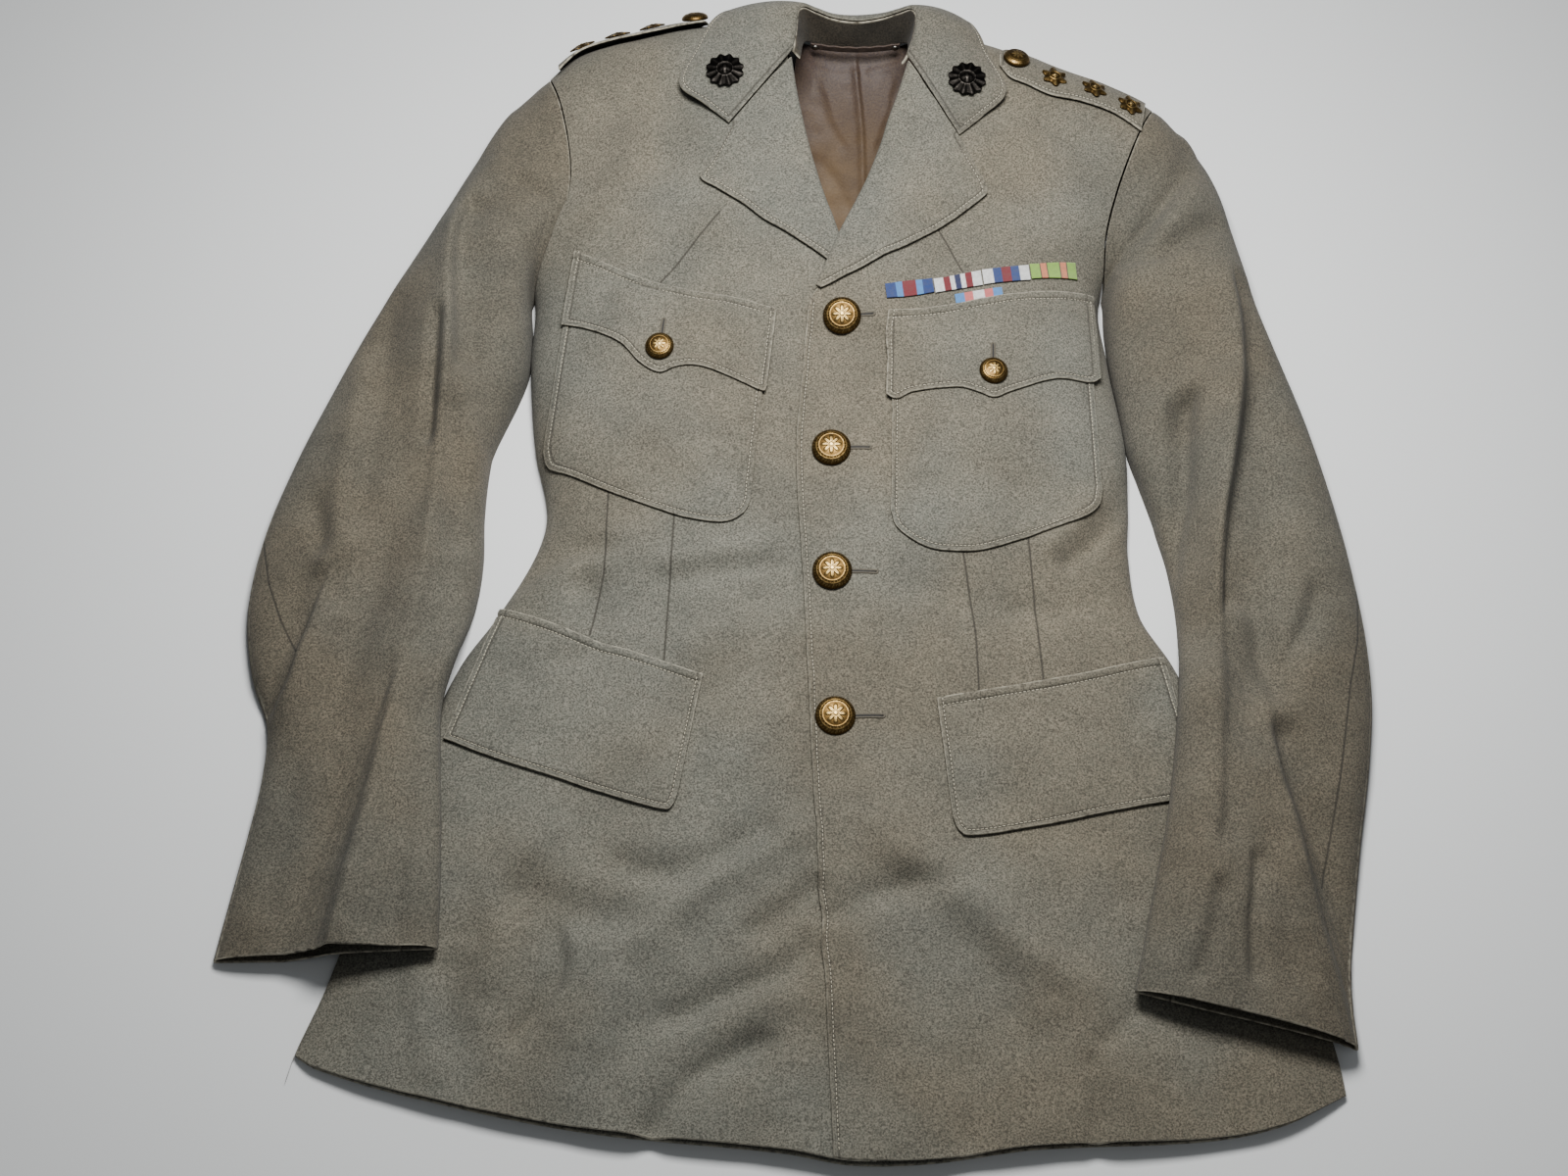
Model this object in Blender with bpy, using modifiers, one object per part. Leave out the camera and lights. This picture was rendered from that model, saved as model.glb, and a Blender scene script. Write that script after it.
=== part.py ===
"""An officer's service dress jacket in wool barathea, fastened and laid flat, face up.

Sizes are in centimetres, as a tailor measures, and become metres in the meshes.
+X points to the wearer's left, +Y from the hem to the collar and +Z up from the
surface that the jacket rests on. The back lies flat. The fronts are domed over it
and come down to it at the sides and shoulders. The sleeves are flattened tubes that
start on the armhole seams and ride over the sides of the skirt.
"""
import math
from collections import namedtuple

import bmesh
import bpy
from mathutils import Matrix, Vector

CM = 0.01
SHIFT_X = -1.37
SHIFT_Y = -5.27

# Cloth and the gaps that part one piece from the next
WALL = 0.24
THIN_WALL = 0.15
LINING_WALL = 0.12
SEAM_GAP = 0.03
LAY_GAP = 0.06
LAPEL_GAP = 0.115
BACK_TOP = 0.22
FRONT_BASE = BACK_TOP + SEAM_GAP

# Sections of the body, from hem to shoulders: edges in plan and height of the crown
Section = namedtuple("Section", "y right_edge left_edge crown")
BODY = [
    Section(-37.5, -30.6, 33.6, 1.3),
    Section(-31.0, -29.5, 33.2, 1.4),
    Section(-26.0, -27.7, 32.0, 1.6),
    Section(-18.0, -25.4, 29.9, 2.0),
    Section(-10.0, -22.9, 27.2, 2.5),
    Section(-4.6, -20.8, 25.0, 2.9),
    Section(-1.1, -18.6, 23.1, 3.1),
    Section(3.4, -16.3, 22.6, 3.5),
    Section(6.5, -15.7, 22.8, 3.8),
    Section(11.5, -16.7, 22.9, 4.2),
    Section(18.0, -17.3, 22.1, 4.7),
    Section(23.5, -17.3, 21.9, 5.0),
    Section(28.0, -19.2, 25.2, 5.3),
    Section(33.0, -21.0, 28.4, 5.6),
    Section(38.0, -22.5, 30.6, 5.9),
    Section(43.0, -23.0, 31.5, 6.0),
]
SIDE_ROUNDNESS = 3.4
SHOULDER_ROUNDNESS = 2.2
SHOULDER_FALL = 5.5
UNDERARM_Y = 23.5
RIM_STEP = 0.3
RIM_SHARE = 0.05
SLOPE_STEP = 0.12

# Plan curves
Point = namedtuple("Point", "x y")
HEM = [
    Point(-29.3, -30.2), Point(-28.0, -31.0), Point(-22.7, -32.6), Point(-12.2, -34.8),
    Point(0.0, -36.1), Point(4.0, -36.8), Point(8.7, -36.7), Point(14.6, -35.9),
    Point(24.8, -35.4), Point(29.4, -34.5), Point(33.2, -32.7),
]
SHOULDER = [
    Point(-19.0, 39.2), Point(-17.0, 41.2), Point(-15.0, 43.2), Point(-12.7, 44.2),
    Point(-9.8, 44.9), Point(-6.2, 45.7), Point(0.0, 46.2), Point(5.0, 46.3),
    Point(10.0, 45.4), Point(15.2, 43.8), Point(19.0, 42.1), Point(23.0, 40.6),
    Point(26.5, 38.8), Point(28.0, 37.0),
]
ARMHOLE_RIGHT = [
    Point(-17.3, 23.5), Point(-16.9, 24.9), Point(-16.3, 26.3), Point(-15.7, 27.8),
    Point(-14.9, 29.8), Point(-14.9, 33.0), Point(-15.6, 36.7), Point(-16.4, 39.2),
    Point(-16.9, 41.2),
]
ARMHOLE_LEFT = [
    Point(21.9, 23.5), Point(22.1, 24.8), Point(22.2, 26.9), Point(22.9, 29.7),
    Point(23.8, 32.3), Point(25.0, 35.3), Point(25.9, 37.3), Point(26.5, 38.75),
]

BACK_NECK = [Point(9.3, 44.2), Point(0.6, 44.2)]
BODY_MIDDLE = Point(3.0, 15.0)

# Inner edges of the fronts: the fastened edge, then the roll line, then the neck
Edge = namedtuple("Edge", "y x")
FRONT_LEFT_EDGE = [
    Edge(-37.0, 2.9), Edge(-26.6, 2.5), Edge(-17.0, 2.0), Edge(-9.0, 1.6), Edge(0.0, 1.25),
    Edge(9.0, 0.8), Edge(15.0, 1.2), Edge(20.8, 1.8), Edge(25.6, 3.9), Edge(29.0, 5.3),
    Edge(33.0, 6.7), Edge(37.0, 8.0), Edge(40.0, 9.3), Edge(42.0, 10.0), Edge(45.6, 10.4),
]
FRONT_RIGHT_EDGE = [
    Edge(-37.0, 5.4), Edge(0.0, 5.4), Edge(18.0, 5.4), Edge(22.0, 4.9), Edge(25.4, 3.9),
    Edge(29.6, 2.6), Edge(33.8, 1.6), Edge(36.4, 1.0), Edge(40.4, 0.6), Edge(46.2, 0.3),
]
OVERLAP_END = 5.8
OVERLAP_FADE = 9.5
OVERLAP_TOP = 29.0
CROSSING = Point(3.2, 24.0)
CROSSING_LIFT = 0.32
CROSSING_CORE = 3.2
CROSSING_REACH = 7.0

# The largest soft folds: a line, its height and how far it spreads to each side in X
Fold = namedtuple("Fold", "x0 y0 x1 y1 height low_side high_side")
FOLD_FADE = 3.0
BODY_FOLDS = [
    Fold(-14.5, 2.5, -7.5, -3.0, -0.25, 1.6, 1.8),
    Fold(-15.0, 6.0, -6.0, 1.5, 0.16, 1.4, 1.2),
    Fold(-13.0, -18.0, -10.0, -30.0, 0.25, 2.6, 2.2),
    Fold(-4.5, -10.0, -3.0, -33.0, -0.22, 2.6, 2.8),
    Fold(6.5, 1.0, 14.5, -2.5, -0.22, 1.5, 1.6),
    Fold(13.0, -19.0, 17.0, -33.0, 0.25, 2.8, 2.4),
    Fold(21.0, -20.0, 25.5, -32.0, -0.2, 2.2, 2.0),
    Fold(-16.5, 31.0, -9.0, 38.0, -0.22, 1.8, 2.0),
    Fold(23.5, 29.0, 18.0, 35.5, -0.22, 1.8, 1.8),
]

# Sleeves: a rung of the flattened tube from its inner to its outer edge, the height of
# its crown, how far it follows the shape of the body, and how far it rides on the skirt
Rung = namedtuple("Rung", "inner_x inner_y outer_x outer_y crown bow shaped ride")
SLEEVE_RIGHT = [
    Rung(-17.45, 23.4, -16.9, 41.2, 5.0, 1.0, 1.0, 0.0),
    Rung(-17.95, 22.5, -18.7, 39.6, 5.0, 0.8, 0.55, 0.0),
    Rung(-18.15, 21.5, -20.4, 37.2, 4.8, 0.55, 0.2, 0.0),
    Rung(-18.25, 20.2, -22.5, 33.0, 4.4, 0.3, 0.0, 0.0),
    Rung(-18.35, 17.4, -24.8, 28.0, 4.0, 0.1, 0.0, 0.0),
    Rung(-18.9, 14.0, -27.8, 22.2, 3.7, 0.0, 0.0, 0.0),
    Rung(-19.6, 10.3, -30.4, 16.0, 3.4, 0.0, 0.0, 0.0),
    Rung(-19.8, 6.5, -32.6, 10.2, 3.2, 0.0, 0.0, 0.0),
    Rung(-19.7, 3.0, -34.2, 4.6, 3.0, 0.0, 0.0, 0.0),
    Rung(-20.0, -0.5, -34.8, -0.8, 2.9, 0.0, 0.0, 0.4),
    Rung(-20.8, -4.6, -34.1, -5.4, 2.7, 0.0, 0.0, 1.0),
    Rung(-21.5, -8.0, -32.8, -9.0, 2.5, 0.0, 0.0, 1.0),
    Rung(-21.4, -11.6, -32.8, -12.4, 2.3, 0.0, 0.0, 1.0),
    Rung(-21.1, -15.6, -33.3, -16.0, 2.1, 0.0, 0.0, 1.0),
    Rung(-20.9, -20.0, -34.0, -20.2, 1.9, 0.0, 0.0, 1.0),
    Rung(-20.8, -24.2, -34.7, -24.4, 1.7, 0.0, 0.0, 1.0),
]
SLEEVE_LEFT = [
    Rung(22.05, 23.4, 26.5, 38.75, 5.0, 1.0, 1.0, 0.0),
    Rung(22.2, 22.4, 28.4, 36.9, 4.9, 0.8, 0.55, 0.0),
    Rung(22.3, 21.2, 29.8, 34.2, 4.7, 0.55, 0.2, 0.0),
    Rung(22.45, 19.6, 30.8, 31.0, 4.4, 0.3, 0.0, 0.0),
    Rung(22.7, 17.4, 31.6, 27.0, 4.1, 0.1, 0.0, 0.0),
    Rung(23.1, 15.0, 32.6, 22.4, 3.9, 0.0, 0.0, 0.0),
    Rung(23.4, 12.0, 33.9, 17.6, 3.7, 0.0, 0.0, 0.0),
    Rung(23.9, 8.8, 35.2, 12.8, 3.5, 0.0, 0.0, 0.0),
    Rung(24.4, 5.6, 36.2, 8.0, 3.3, 0.0, 0.0, 0.0),
    Rung(25.1, 2.2, 37.0, 3.0, 3.2, 0.0, 0.0, 0.0),
    Rung(25.4, -1.8, 37.5, -2.4, 3.1, 0.0, 0.0, 0.4),
    Rung(25.0, -6.0, 37.5, -7.0, 2.9, 0.0, 0.0, 1.0),
    Rung(24.4, -10.8, 36.8, -12.0, 2.7, 0.0, 0.0, 1.0),
    Rung(23.6, -15.6, 35.8, -16.9, 2.4, 0.0, 0.0, 1.0),
    Rung(22.5, -20.2, 34.9, -21.9, 2.1, 0.0, 0.0, 1.0),
    Rung(21.7, -23.6, 34.3, -26.0, 1.9, 0.0, 0.0, 1.0),
    Rung(20.9, -26.9, 34.2, -30.1, 1.7, 0.0, 0.0, 1.0),
]
RIDE_CLEARANCE = 0.5
BRIDGE_REACH = [-1.6, -0.8, 0.0, 0.8, 1.6]
BRIDGE_BLUR = [-1.2, -0.6, 0.0, 0.6, 1.2]
ARMHOLE_GAP = 0.045
SLEEVE_ROUNDNESS = 0.75
INNER_SEAM_ANGLE = -45.0
HIND_SEAM_ANGLE = 165.0
ARMHOLE_STEP = 15.0
HIND_GAP_ANGLE = 1.5
INNER_GAP_ANGLE = 1.2

# The largest folds of the sleeves, as ridges (+) and troughs (-)
SLEEVE_RIGHT_FOLDS = [
    Fold(-22.5, 30.0, -22.8, 18.0, 0.9, 2.6, 1.4),
    Fold(-22.8, 18.5, -19.9, 8.5, 0.8, 2.0, 0.9),
    Fold(-26.6, 22.0, -25.4, 8.5, -0.55, 1.6, 1.6),
    Fold(-22.3, 8.5, -23.8, -2.5, 0.8, 1.5, 1.6),
    Fold(-23.8, -1.5, -27.2, -24.6, 0.8, 1.8, 1.8),
    Fold(-25.8, 4.5, -28.4, -8.0, -0.7, 1.2, 1.5),
    Fold(-28.9, 4.2, -32.1, -9.5, 0.9, 0.8, 1.9),
    Fold(-22.6, -9.0, -23.4, -25.0, -0.4, 1.0, 1.0),
]
SLEEVE_LEFT_FOLDS = [
    Fold(30.9, 26.0, 30.3, 14.0, 0.8, 2.2, 1.2),
    Fold(30.3, 15.0, 28.2, 3.5, 0.85, 1.8, 1.2),
    Fold(26.6, 16.0, 26.0, 5.0, -0.45, 1.3, 1.4),
    Fold(28.2, 4.5, 27.2, -8.5, 0.85, 1.6, 1.5),
    Fold(27.2, -7.5, 24.4, -26.5, 0.6, 1.8, 1.8),
    Fold(32.4, 11.0, 30.2, -6.5, -0.8, 1.3, 1.4),
    Fold(30.2, -8.5, 33.4, -27.5, 0.75, 1.7, 0.8),
]

# Pieces that lie on the fronts: a rung from the top edge to the bottom edge
Strip = namedtuple("Strip", "top_x top_y end_x end_y")
BREAST_POCKET_RIGHT = [
    Strip(-14.4, 23.6, -15.9, 10.6), Strip(-14.1, 23.4, -15.5, 9.3), Strip(-13.2, 23.0, -14.1, 8.4),
    Strip(-10.6, 21.9, -11.2, 6.7), Strip(-7.0, 20.4, -7.0, 4.8), Strip(-3.6, 19.3, -4.3, 4.2),
    Strip(-2.0, 18.9, -2.9, 4.6), Strip(-1.2, 18.7, -2.25, 5.5), Strip(-0.9, 18.6, -2.1, 7.0),
]
BREAST_POCKET_LEFT = [
    Strip(7.3, 17.6, 6.9, 4.9), Strip(7.6, 17.7, 7.4, 3.7), Strip(8.6, 17.9, 9.0, 2.6),
    Strip(10.6, 18.3, 10.6, 2.2), Strip(12.8, 18.8, 12.8, 2.3), Strip(16.4, 19.5, 16.3, 3.5),
    Strip(19.0, 20.0, 19.0, 4.7), Strip(20.2, 20.2, 20.4, 5.9), Strip(20.6, 20.3, 20.8, 7.2),
]
BREAST_FLAP_RIGHT = [
    Strip(-14.2, 25.2, -14.9, 19.6), Strip(-12.9, 24.4, -13.3, 18.9), Strip(-10.9, 23.1, -10.9, 17.5),
    Strip(-9.6, 22.4, -9.6, 15.9), Strip(-8.4, 21.9, -8.3, 15.1), Strip(-7.2, 21.5, -7.1, 15.5),
    Strip(-5.7, 21.1, -5.7, 15.5), Strip(-3.6, 20.6, -3.7, 14.7), Strip(-1.6, 20.0, -1.5, 13.5),
    Strip(-0.5, 19.7, -1.1, 13.8),
]
BREAST_FLAP_LEFT = [
    Strip(7.0, 19.4, 6.8, 13.2), Strip(7.9, 19.5, 7.5, 12.9), Strip(9.0, 19.7, 8.7, 13.5),
    Strip(11.4, 20.2, 11.4, 13.9), Strip(12.8, 20.6, 12.8, 13.6), Strip(14.0, 20.9, 13.9, 13.2),
    Strip(15.2, 21.2, 15.1, 13.8), Strip(18.0, 21.9, 18.0, 15.0), Strip(20.2, 22.4, 20.3, 15.2),
    Strip(21.0, 22.6, 21.1, 15.8),
]
HIP_FLAP_RIGHT = [
    Strip(-18.2, -0.9, -21.4, -10.1), Strip(-15.4, -2.2, -18.0, -11.7), Strip(-11.8, -3.9, -12.6, -13.6),
    Strip(-8.4, -5.1, -9.4, -14.7), Strip(-6.4, -5.8, -7.4, -15.2), Strip(-5.5, -6.1, -6.9, -14.9),
    Strip(-5.1, -6.2, -6.6, -14.1),
]
HIP_FLAP_LEFT = [
    Strip(9.6, -7.9, 10.4, -15.7), Strip(10.1, -7.8, 10.8, -16.6), Strip(10.9, -7.6, 11.7, -16.9),
    Strip(15.0, -6.9, 15.6, -16.3), Strip(19.4, -5.9, 20.4, -15.2), Strip(24.2, -4.4, 26.2, -14.0),
]
# Lapels: a rung from the roll line to the outer edge
LAPEL_RIGHT = [
    Strip(0.55, 40.1, -3.8, 34.3), Strip(0.95, 36.9, -4.9, 31.8), Strip(1.3, 34.9, -5.75, 30.2),
    Strip(1.7, 33.0, -4.6, 29.2), Strip(2.3, 30.6, -2.8, 27.9), Strip(2.9, 28.4, -1.2, 26.6),
    Strip(3.4, 26.9, 0.6, 25.4), Strip(3.9, 25.3, 2.0, 24.4), Strip(4.4, 23.9, 3.2, 23.4),
]
LAPEL_LEFT = [
    Strip(8.7, 39.65, 12.1, 33.3), Strip(7.8, 36.6, 13.1, 31.2), Strip(7.2, 34.8, 13.9, 29.4),
    Strip(6.7, 33.0, 13.5, 28.6), Strip(6.1, 31.2, 12.2, 27.4), Strip(5.3, 29.0, 10.7, 26.2),
    Strip(4.6, 27.2, 8.8, 24.9), Strip(3.9, 25.6, 7.3, 23.9), Strip(3.0, 23.5, 4.9, 22.4),
    Strip(2.1, 21.4, 2.5, 21.1),
]
# Shoulder straps: a rung from the front edge to the rear edge
STRAP_LEFT = [
    Strip(15.1, 39.4, 15.2, 41.0), Strip(15.8, 38.4, 16.0, 41.7), Strip(16.9, 37.9, 17.3, 41.4),
    Strip(18.6, 37.1, 19.1, 40.6), Strip(21.0, 36.7, 21.5, 39.8), Strip(23.2, 36.0, 23.6, 39.1),
    Strip(24.9, 35.0, 25.6, 38.3),
]
STRAP_RIGHT = [
    Strip(-5.6, 43.3, -5.4, 44.6), Strip(-6.6, 43.1, -6.4, 45.1), Strip(-8.6, 42.7, -8.5, 44.8),
    Strip(-10.6, 42.4, -10.5, 44.5), Strip(-12.4, 42.1, -12.4, 44.0), Strip(-14.2, 41.4, -14.3, 43.2),
    Strip(-15.6, 39.6, -16.0, 41.9),
]

STRAP_CURL_LEFT = 0.15
STRAP_CURL_RIGHT = 0.45

# Collar: a rung gives the fold along its top, the outer edge of the fall and the neck seam
Collar = namedtuple("Collar", "x y z fall_x fall_y fall_z seam_x seam_y seam_z")
COLLAR = [
    Collar(0.55, 40.3, 6.50, -3.8, 34.45, 6.00, 1.00, 40.0, 5.9),
    Collar(0.60, 41.0, 6.70, -5.6, 36.0, 6.15, 1.05, 40.8, 5.6),
    Collar(0.65, 41.7, 6.90, -7.3, 37.6, 6.20, 1.10, 41.6, 5.2),
    Collar(0.70, 42.7, 7.05, -6.4, 40.6, 6.20, 1.20, 42.4, 4.6),
    Collar(0.80, 43.6, 7.20, -5.2, 43.3, 6.00, 1.40, 43.1, 4.0),
    Collar(1.30, 44.3, 6.80, -3.6, 45.4, 4.60, 1.80, 43.6, 3.4),
    Collar(2.30, 44.6, 5.90, -0.8, 46.7, 2.40, 2.60, 43.9, 2.8),
    Collar(3.60, 44.7, 5.10, 2.2, 47.2, 1.00, 3.80, 44.0, 2.4),
    Collar(5.20, 44.7, 4.80, 5.2, 47.4, 0.60, 5.20, 44.05, 2.3),
    Collar(6.80, 44.7, 5.10, 8.2, 47.2, 1.00, 6.60, 44.0, 2.4),
    Collar(8.10, 44.5, 5.90, 11.1, 46.3, 2.40, 7.80, 43.8, 2.8),
    Collar(9.10, 44.1, 6.80, 13.2, 44.6, 4.40, 8.60, 43.5, 3.4),
    Collar(9.55, 43.3, 7.20, 13.9, 42.3, 5.80, 9.00, 42.9, 4.0),
    Collar(9.50, 42.3, 7.05, 14.4, 40.3, 6.15, 9.00, 42.0, 4.6),
    Collar(9.30, 41.3, 6.90, 15.5, 37.0, 6.15, 8.90, 41.0, 5.2),
    Collar(9.00, 40.5, 6.70, 13.9, 35.1, 6.05, 8.70, 40.2, 5.6),
    Collar(8.70, 39.8, 6.50, 12.1, 33.45, 5.95, 8.40, 39.5, 5.9),
]
FALL_BULGE = 0.35
COLLAR_STEP = 0.01
NECK_CENTRE = Point(5.1, 41.5)

# Lining of the back: across it at each height of the neck
LiningRow = namedtuple("LiningRow", "y low_x high_x z rim")
BACK_LINING = [
    LiningRow(24.5, -1.0, 9.0, 0.32, 0.0),
    LiningRow(30.0, -1.5, 11.0, 0.32, 0.0),
    LiningRow(35.0, -1.0, 10.8, 0.36, 0.1),
    LiningRow(38.5, 0.0, 10.0, 0.50, 0.5),
    LiningRow(41.0, 0.6, 9.6, 0.85, 1.0),
    LiningRow(42.8, 0.9, 9.4, 1.40, 1.2),
    LiningRow(43.8, 1.3, 9.1, 2.10, 0.8),
]
LOOP_START = Vector((1.9, 43.2, 3.1))
LOOP_END = Vector((8.3, 43.15, 3.1))
LOOP_HEIGHT = 0.55
LOOP_SAG = 0.25
LOOP_DROOP = 0.6
STUD_RADIUS = 0.24
STUD_HEIGHT = 0.14
STUD_INSET = 0.34

# Metal: places in plan and sizes
BUTTON_SPOTS = [Point(3.9, 19.2), Point(3.1, 9.4), Point(3.1, 0.75), Point(3.2, -9.1)]
POCKET_BUTTON_RIGHT = Point(-8.25, 16.9)
POCKET_BUTTON_LEFT = Point(13.85, 15.1)
STRAP_BUTTON_LEFT = Point(16.3, 40.0)
STRAP_BUTTON_RIGHT = Point(-6.3, 43.9)
PIPS_LEFT = [Point(18.9, 38.6), Point(21.7, 38.0), Point(24.2, 37.0)]
PIPS_RIGHT = [Point(-9.3, 43.8), Point(-11.8, 43.3), Point(-14.2, 42.3)]
BUTTON_RADIUS = 1.27
BUTTON_HEIGHT = 0.62
SMALL_BUTTON_RADIUS = 0.95
SMALL_BUTTON_HEIGHT = 0.5
Rosette = namedtuple("Rosette", "radius height points notch")
PIP_SIZE = Rosette(0.95, 0.28, 6, 0.72)
PIP_LIFT_LEFT = 0.12
PIP_LIFT_RIGHT = 0.3
STRAP_BUTTON_LIFT_LEFT = 0.1
STRAP_BUTTON_LIFT_RIGHT = 0.37
BADGE_SPOT_RIGHT = Point(-4.1, 38.3)
BADGE_SPOT_LEFT = Point(12.7, 37.6)
BADGE_SIZE = Rosette(1.35, 0.32, 12, 0.88)
BADGE_LIFT = 1.0
ROSETTE_TOP = 0.42
SEAT_STEP = 0.6
# The dome in shares of the button's radius and height, from its crown round to its back
DOME_PROFILE = [
    (0.0, 1.0), (0.45, 0.93), (0.78, 0.72), (0.95, 0.42), (1.0, 0.24), (0.94, 0.0), (0.0, 0.0),
]
MERGE = 0.00005

# Medal ribbons: the lower left corner of each and the direction of the bar
Ribbon = namedtuple("Ribbon", "name x y")
RIBBONS = [
    Ribbon("ribbon_1", 6.9, 20.4), Ribbon("ribbon_2", 10.2, 21.1), Ribbon("ribbon_3", 13.5, 21.9),
    Ribbon("ribbon_4", 16.8, 22.75), Ribbon("ribbon_5", 11.6, 19.95),
]
RIBBON_LENGTH = 3.22
RIBBON_WIDTH = 1.1
RIBBON_SLOPE = 0.235
RIBBON_WALL = 0.1

# Facets: how finely each piece is divided
FRONT_COLUMNS = 15
FRONT_ROWS = 20
FRONT_EASE = 0.9
BACK_SIDE_STEPS = 16
ARMHOLE_STEPS = 20
SHOULDER_STEPS = 8
SLEEVE_ROWS = 22
TOP_SLEEVE_COLUMNS = round((HIND_SEAM_ANGLE - INNER_SEAM_ANGLE) / ARMHOLE_STEP)
ARMHOLE_ROWS = round(180.0 / ARMHOLE_STEP)
UNDER_SLEEVE_COLUMNS = 8
LINING_COUNTS = (14, 10)
LOOP_COLUMNS = 8
BUTTON_STEPS = 14
COLLAR_ROWS = 32
FALL_COLUMNS = 6
STAND_COLUMNS = 2

Finish = namedtuple("Finish", "name color roughness metallic")
KHAKI = Finish("khaki_barathea", (0.155, 0.135, 0.095), 0.9, 0.0)
FACING = Finish("khaki_facing", (0.165, 0.145, 0.102), 0.9, 0.0)
STRAP_BACKING = Finish("strap_cloth", (0.150, 0.130, 0.092), 0.9, 0.0)
LINING = Finish("brown_lining", (0.16, 0.10, 0.065), 0.55, 0.0)
GILT = Finish("gilt_brass", (0.56, 0.38, 0.13), 0.35, 1.0)
BRONZE = Finish("dark_bronze", (0.035, 0.03, 0.028), 0.45, 1.0)
RIBBON_BLUE = Finish("ribbon_blue", (0.05, 0.12, 0.33), 0.7, 0.0)
RIBBON_WHITE = Finish("ribbon_white", (0.62, 0.60, 0.55), 0.7, 0.0)
RIBBON_RED = Finish("ribbon_red", (0.42, 0.05, 0.06), 0.7, 0.0)
RIBBON_GREEN = Finish("ribbon_green", (0.22, 0.42, 0.10), 0.7, 0.0)
PALE_METAL = Finish("pale_stud", (0.55, 0.52, 0.46), 0.4, 0.6)
RIBBON_PINK = Finish("ribbon_pink", (0.60, 0.30, 0.24), 0.7, 0.0)


def clear_scene():
    for item in list(bpy.data.objects):
        bpy.data.objects.remove(item, do_unlink=True)


def make_material(finish):
    found = bpy.data.materials.get(finish.name)
    if found:
        return found
    material = bpy.data.materials.new(finish.name)
    material.use_nodes = True
    shader = material.node_tree.nodes["Principled BSDF"]
    shader.inputs["Base Color"].default_value = (*finish.color, 1.0)
    shader.inputs["Roughness"].default_value = finish.roughness
    shader.inputs["Metallic"].default_value = finish.metallic
    material.diffuse_color = (*finish.color, 1.0)
    return material


def smoothstep(low, high, value):
    t = min(1.0, max(0.0, (value - low) / (high - low)))
    return t * t * (3.0 - 2.0 * t)


def cubic(keys, values, at):
    """A smooth curve through values at rising keys, read at one place."""
    if at <= keys[0]:
        return values[0]
    if at >= keys[-1]:
        return values[-1]
    last = len(keys) - 1
    i = 0
    while keys[i + 1] < at:
        i += 1
    span = keys[i + 1] - keys[i]
    t = (at - keys[i]) / span
    chord = (values[i + 1] - values[i]) / span
    start = chord
    end = chord
    if i > 0:
        start = (values[i + 1] - values[i - 1]) / (keys[i + 1] - keys[i - 1])
    if i + 1 < last:
        end = (values[i + 2] - values[i]) / (keys[i + 2] - keys[i])
    a = values[i] * (2 * t**3 - 3 * t**2 + 1)
    b = values[i + 1] * (3 * t**2 - 2 * t**3)
    c = start * span * (t**3 - 2 * t**2 + t)
    d = end * span * (t**3 - t**2)
    return a + b + c + d


def read_table(table, key, column, at):
    return cubic([getattr(row, key) for row in table], [getattr(row, column) for row in table], at)


def read_rows(table, at):
    """One smooth row between the rows of a table, at from 0 to 1 along it."""
    keys = [i / (len(table) - 1) for i in range(len(table))]
    columns = list(zip(*table))
    return type(table[0])(*[cubic(keys, column, at) for column in columns])


def along(points, at):
    """A place on a smooth curve through plan points, at from 0 to 1 of its length."""
    keys = [0.0]
    for a, b in zip(points, points[1:]):
        keys.append(keys[-1] + math.hypot(b.x - a.x, b.y - a.y))
    place = at * keys[-1]
    return Point(cubic(keys, [p.x for p in points], place), cubic(keys, [p.y for p in points], place))


def line_fold(x, y, fold):
    """Height that one soft fold adds at a place in plan."""
    dx = fold.x1 - fold.x0
    dy = fold.y1 - fold.y0
    length = math.hypot(dx, dy)
    run = ((x - fold.x0) * dx + (y - fold.y0) * dy) / length
    off = ((x - fold.x0) * dy - (y - fold.y0) * dx) / length
    fade = smoothstep(-FOLD_FADE, FOLD_FADE, run) * smoothstep(-FOLD_FADE, FOLD_FADE, length - run)
    width = fold.low_side if off * dy < 0.0 else fold.high_side
    return fold.height * fade * math.exp(-((off / width) ** 2))


def body_share(x, y):
    """Share of the crown's height at a place: 1 in the middle and 0 at the edges."""
    right = read_table(BODY, "y", "right_edge", y)
    left = read_table(BODY, "y", "left_edge", y)
    across = min(1.0, abs(x - (left + right) / 2) / ((left - right) / 2))
    share = math.sqrt(1.0 - across**SIDE_ROUNDNESS)
    line = read_table(SHOULDER, "x", "y", x)
    fall = (y - (line - SHOULDER_FALL)) / SHOULDER_FALL
    if fall > 0.0:
        share *= math.sqrt(1.0 - min(1.0, fall) ** SHOULDER_ROUNDNESS)
    return share


def body_height(x, y):
    """Height of the fronts' face over a place in plan."""
    share = body_share(x, y)
    crown = read_table(BODY, "y", "crown", y)
    folds = sum(line_fold(x, y, fold) for fold in BODY_FOLDS)
    return FRONT_BASE + (crown - FRONT_BASE + folds) * share


def body_normal(x, y):
    """Outward direction of the fronts' face, level where it meets the back."""
    at_rim = body_share(x, y) < RIM_SHARE
    if at_rim:
        inward = (Vector((BODY_MIDDLE.x, BODY_MIDDLE.y)) - Vector((x, y))).normalized() * RIM_STEP
        x += inward.x
        y += inward.y
    step = SLOPE_STEP
    slope_x = (body_height(x + step, y) - body_height(x - step, y)) / (2 * step)
    slope_y = (body_height(x, y + step) - body_height(x, y - step)) / (2 * step)
    rise = 0.0 if at_rim else 1.0
    return Vector((-slope_x, -slope_y, rise)).normalized()


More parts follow.
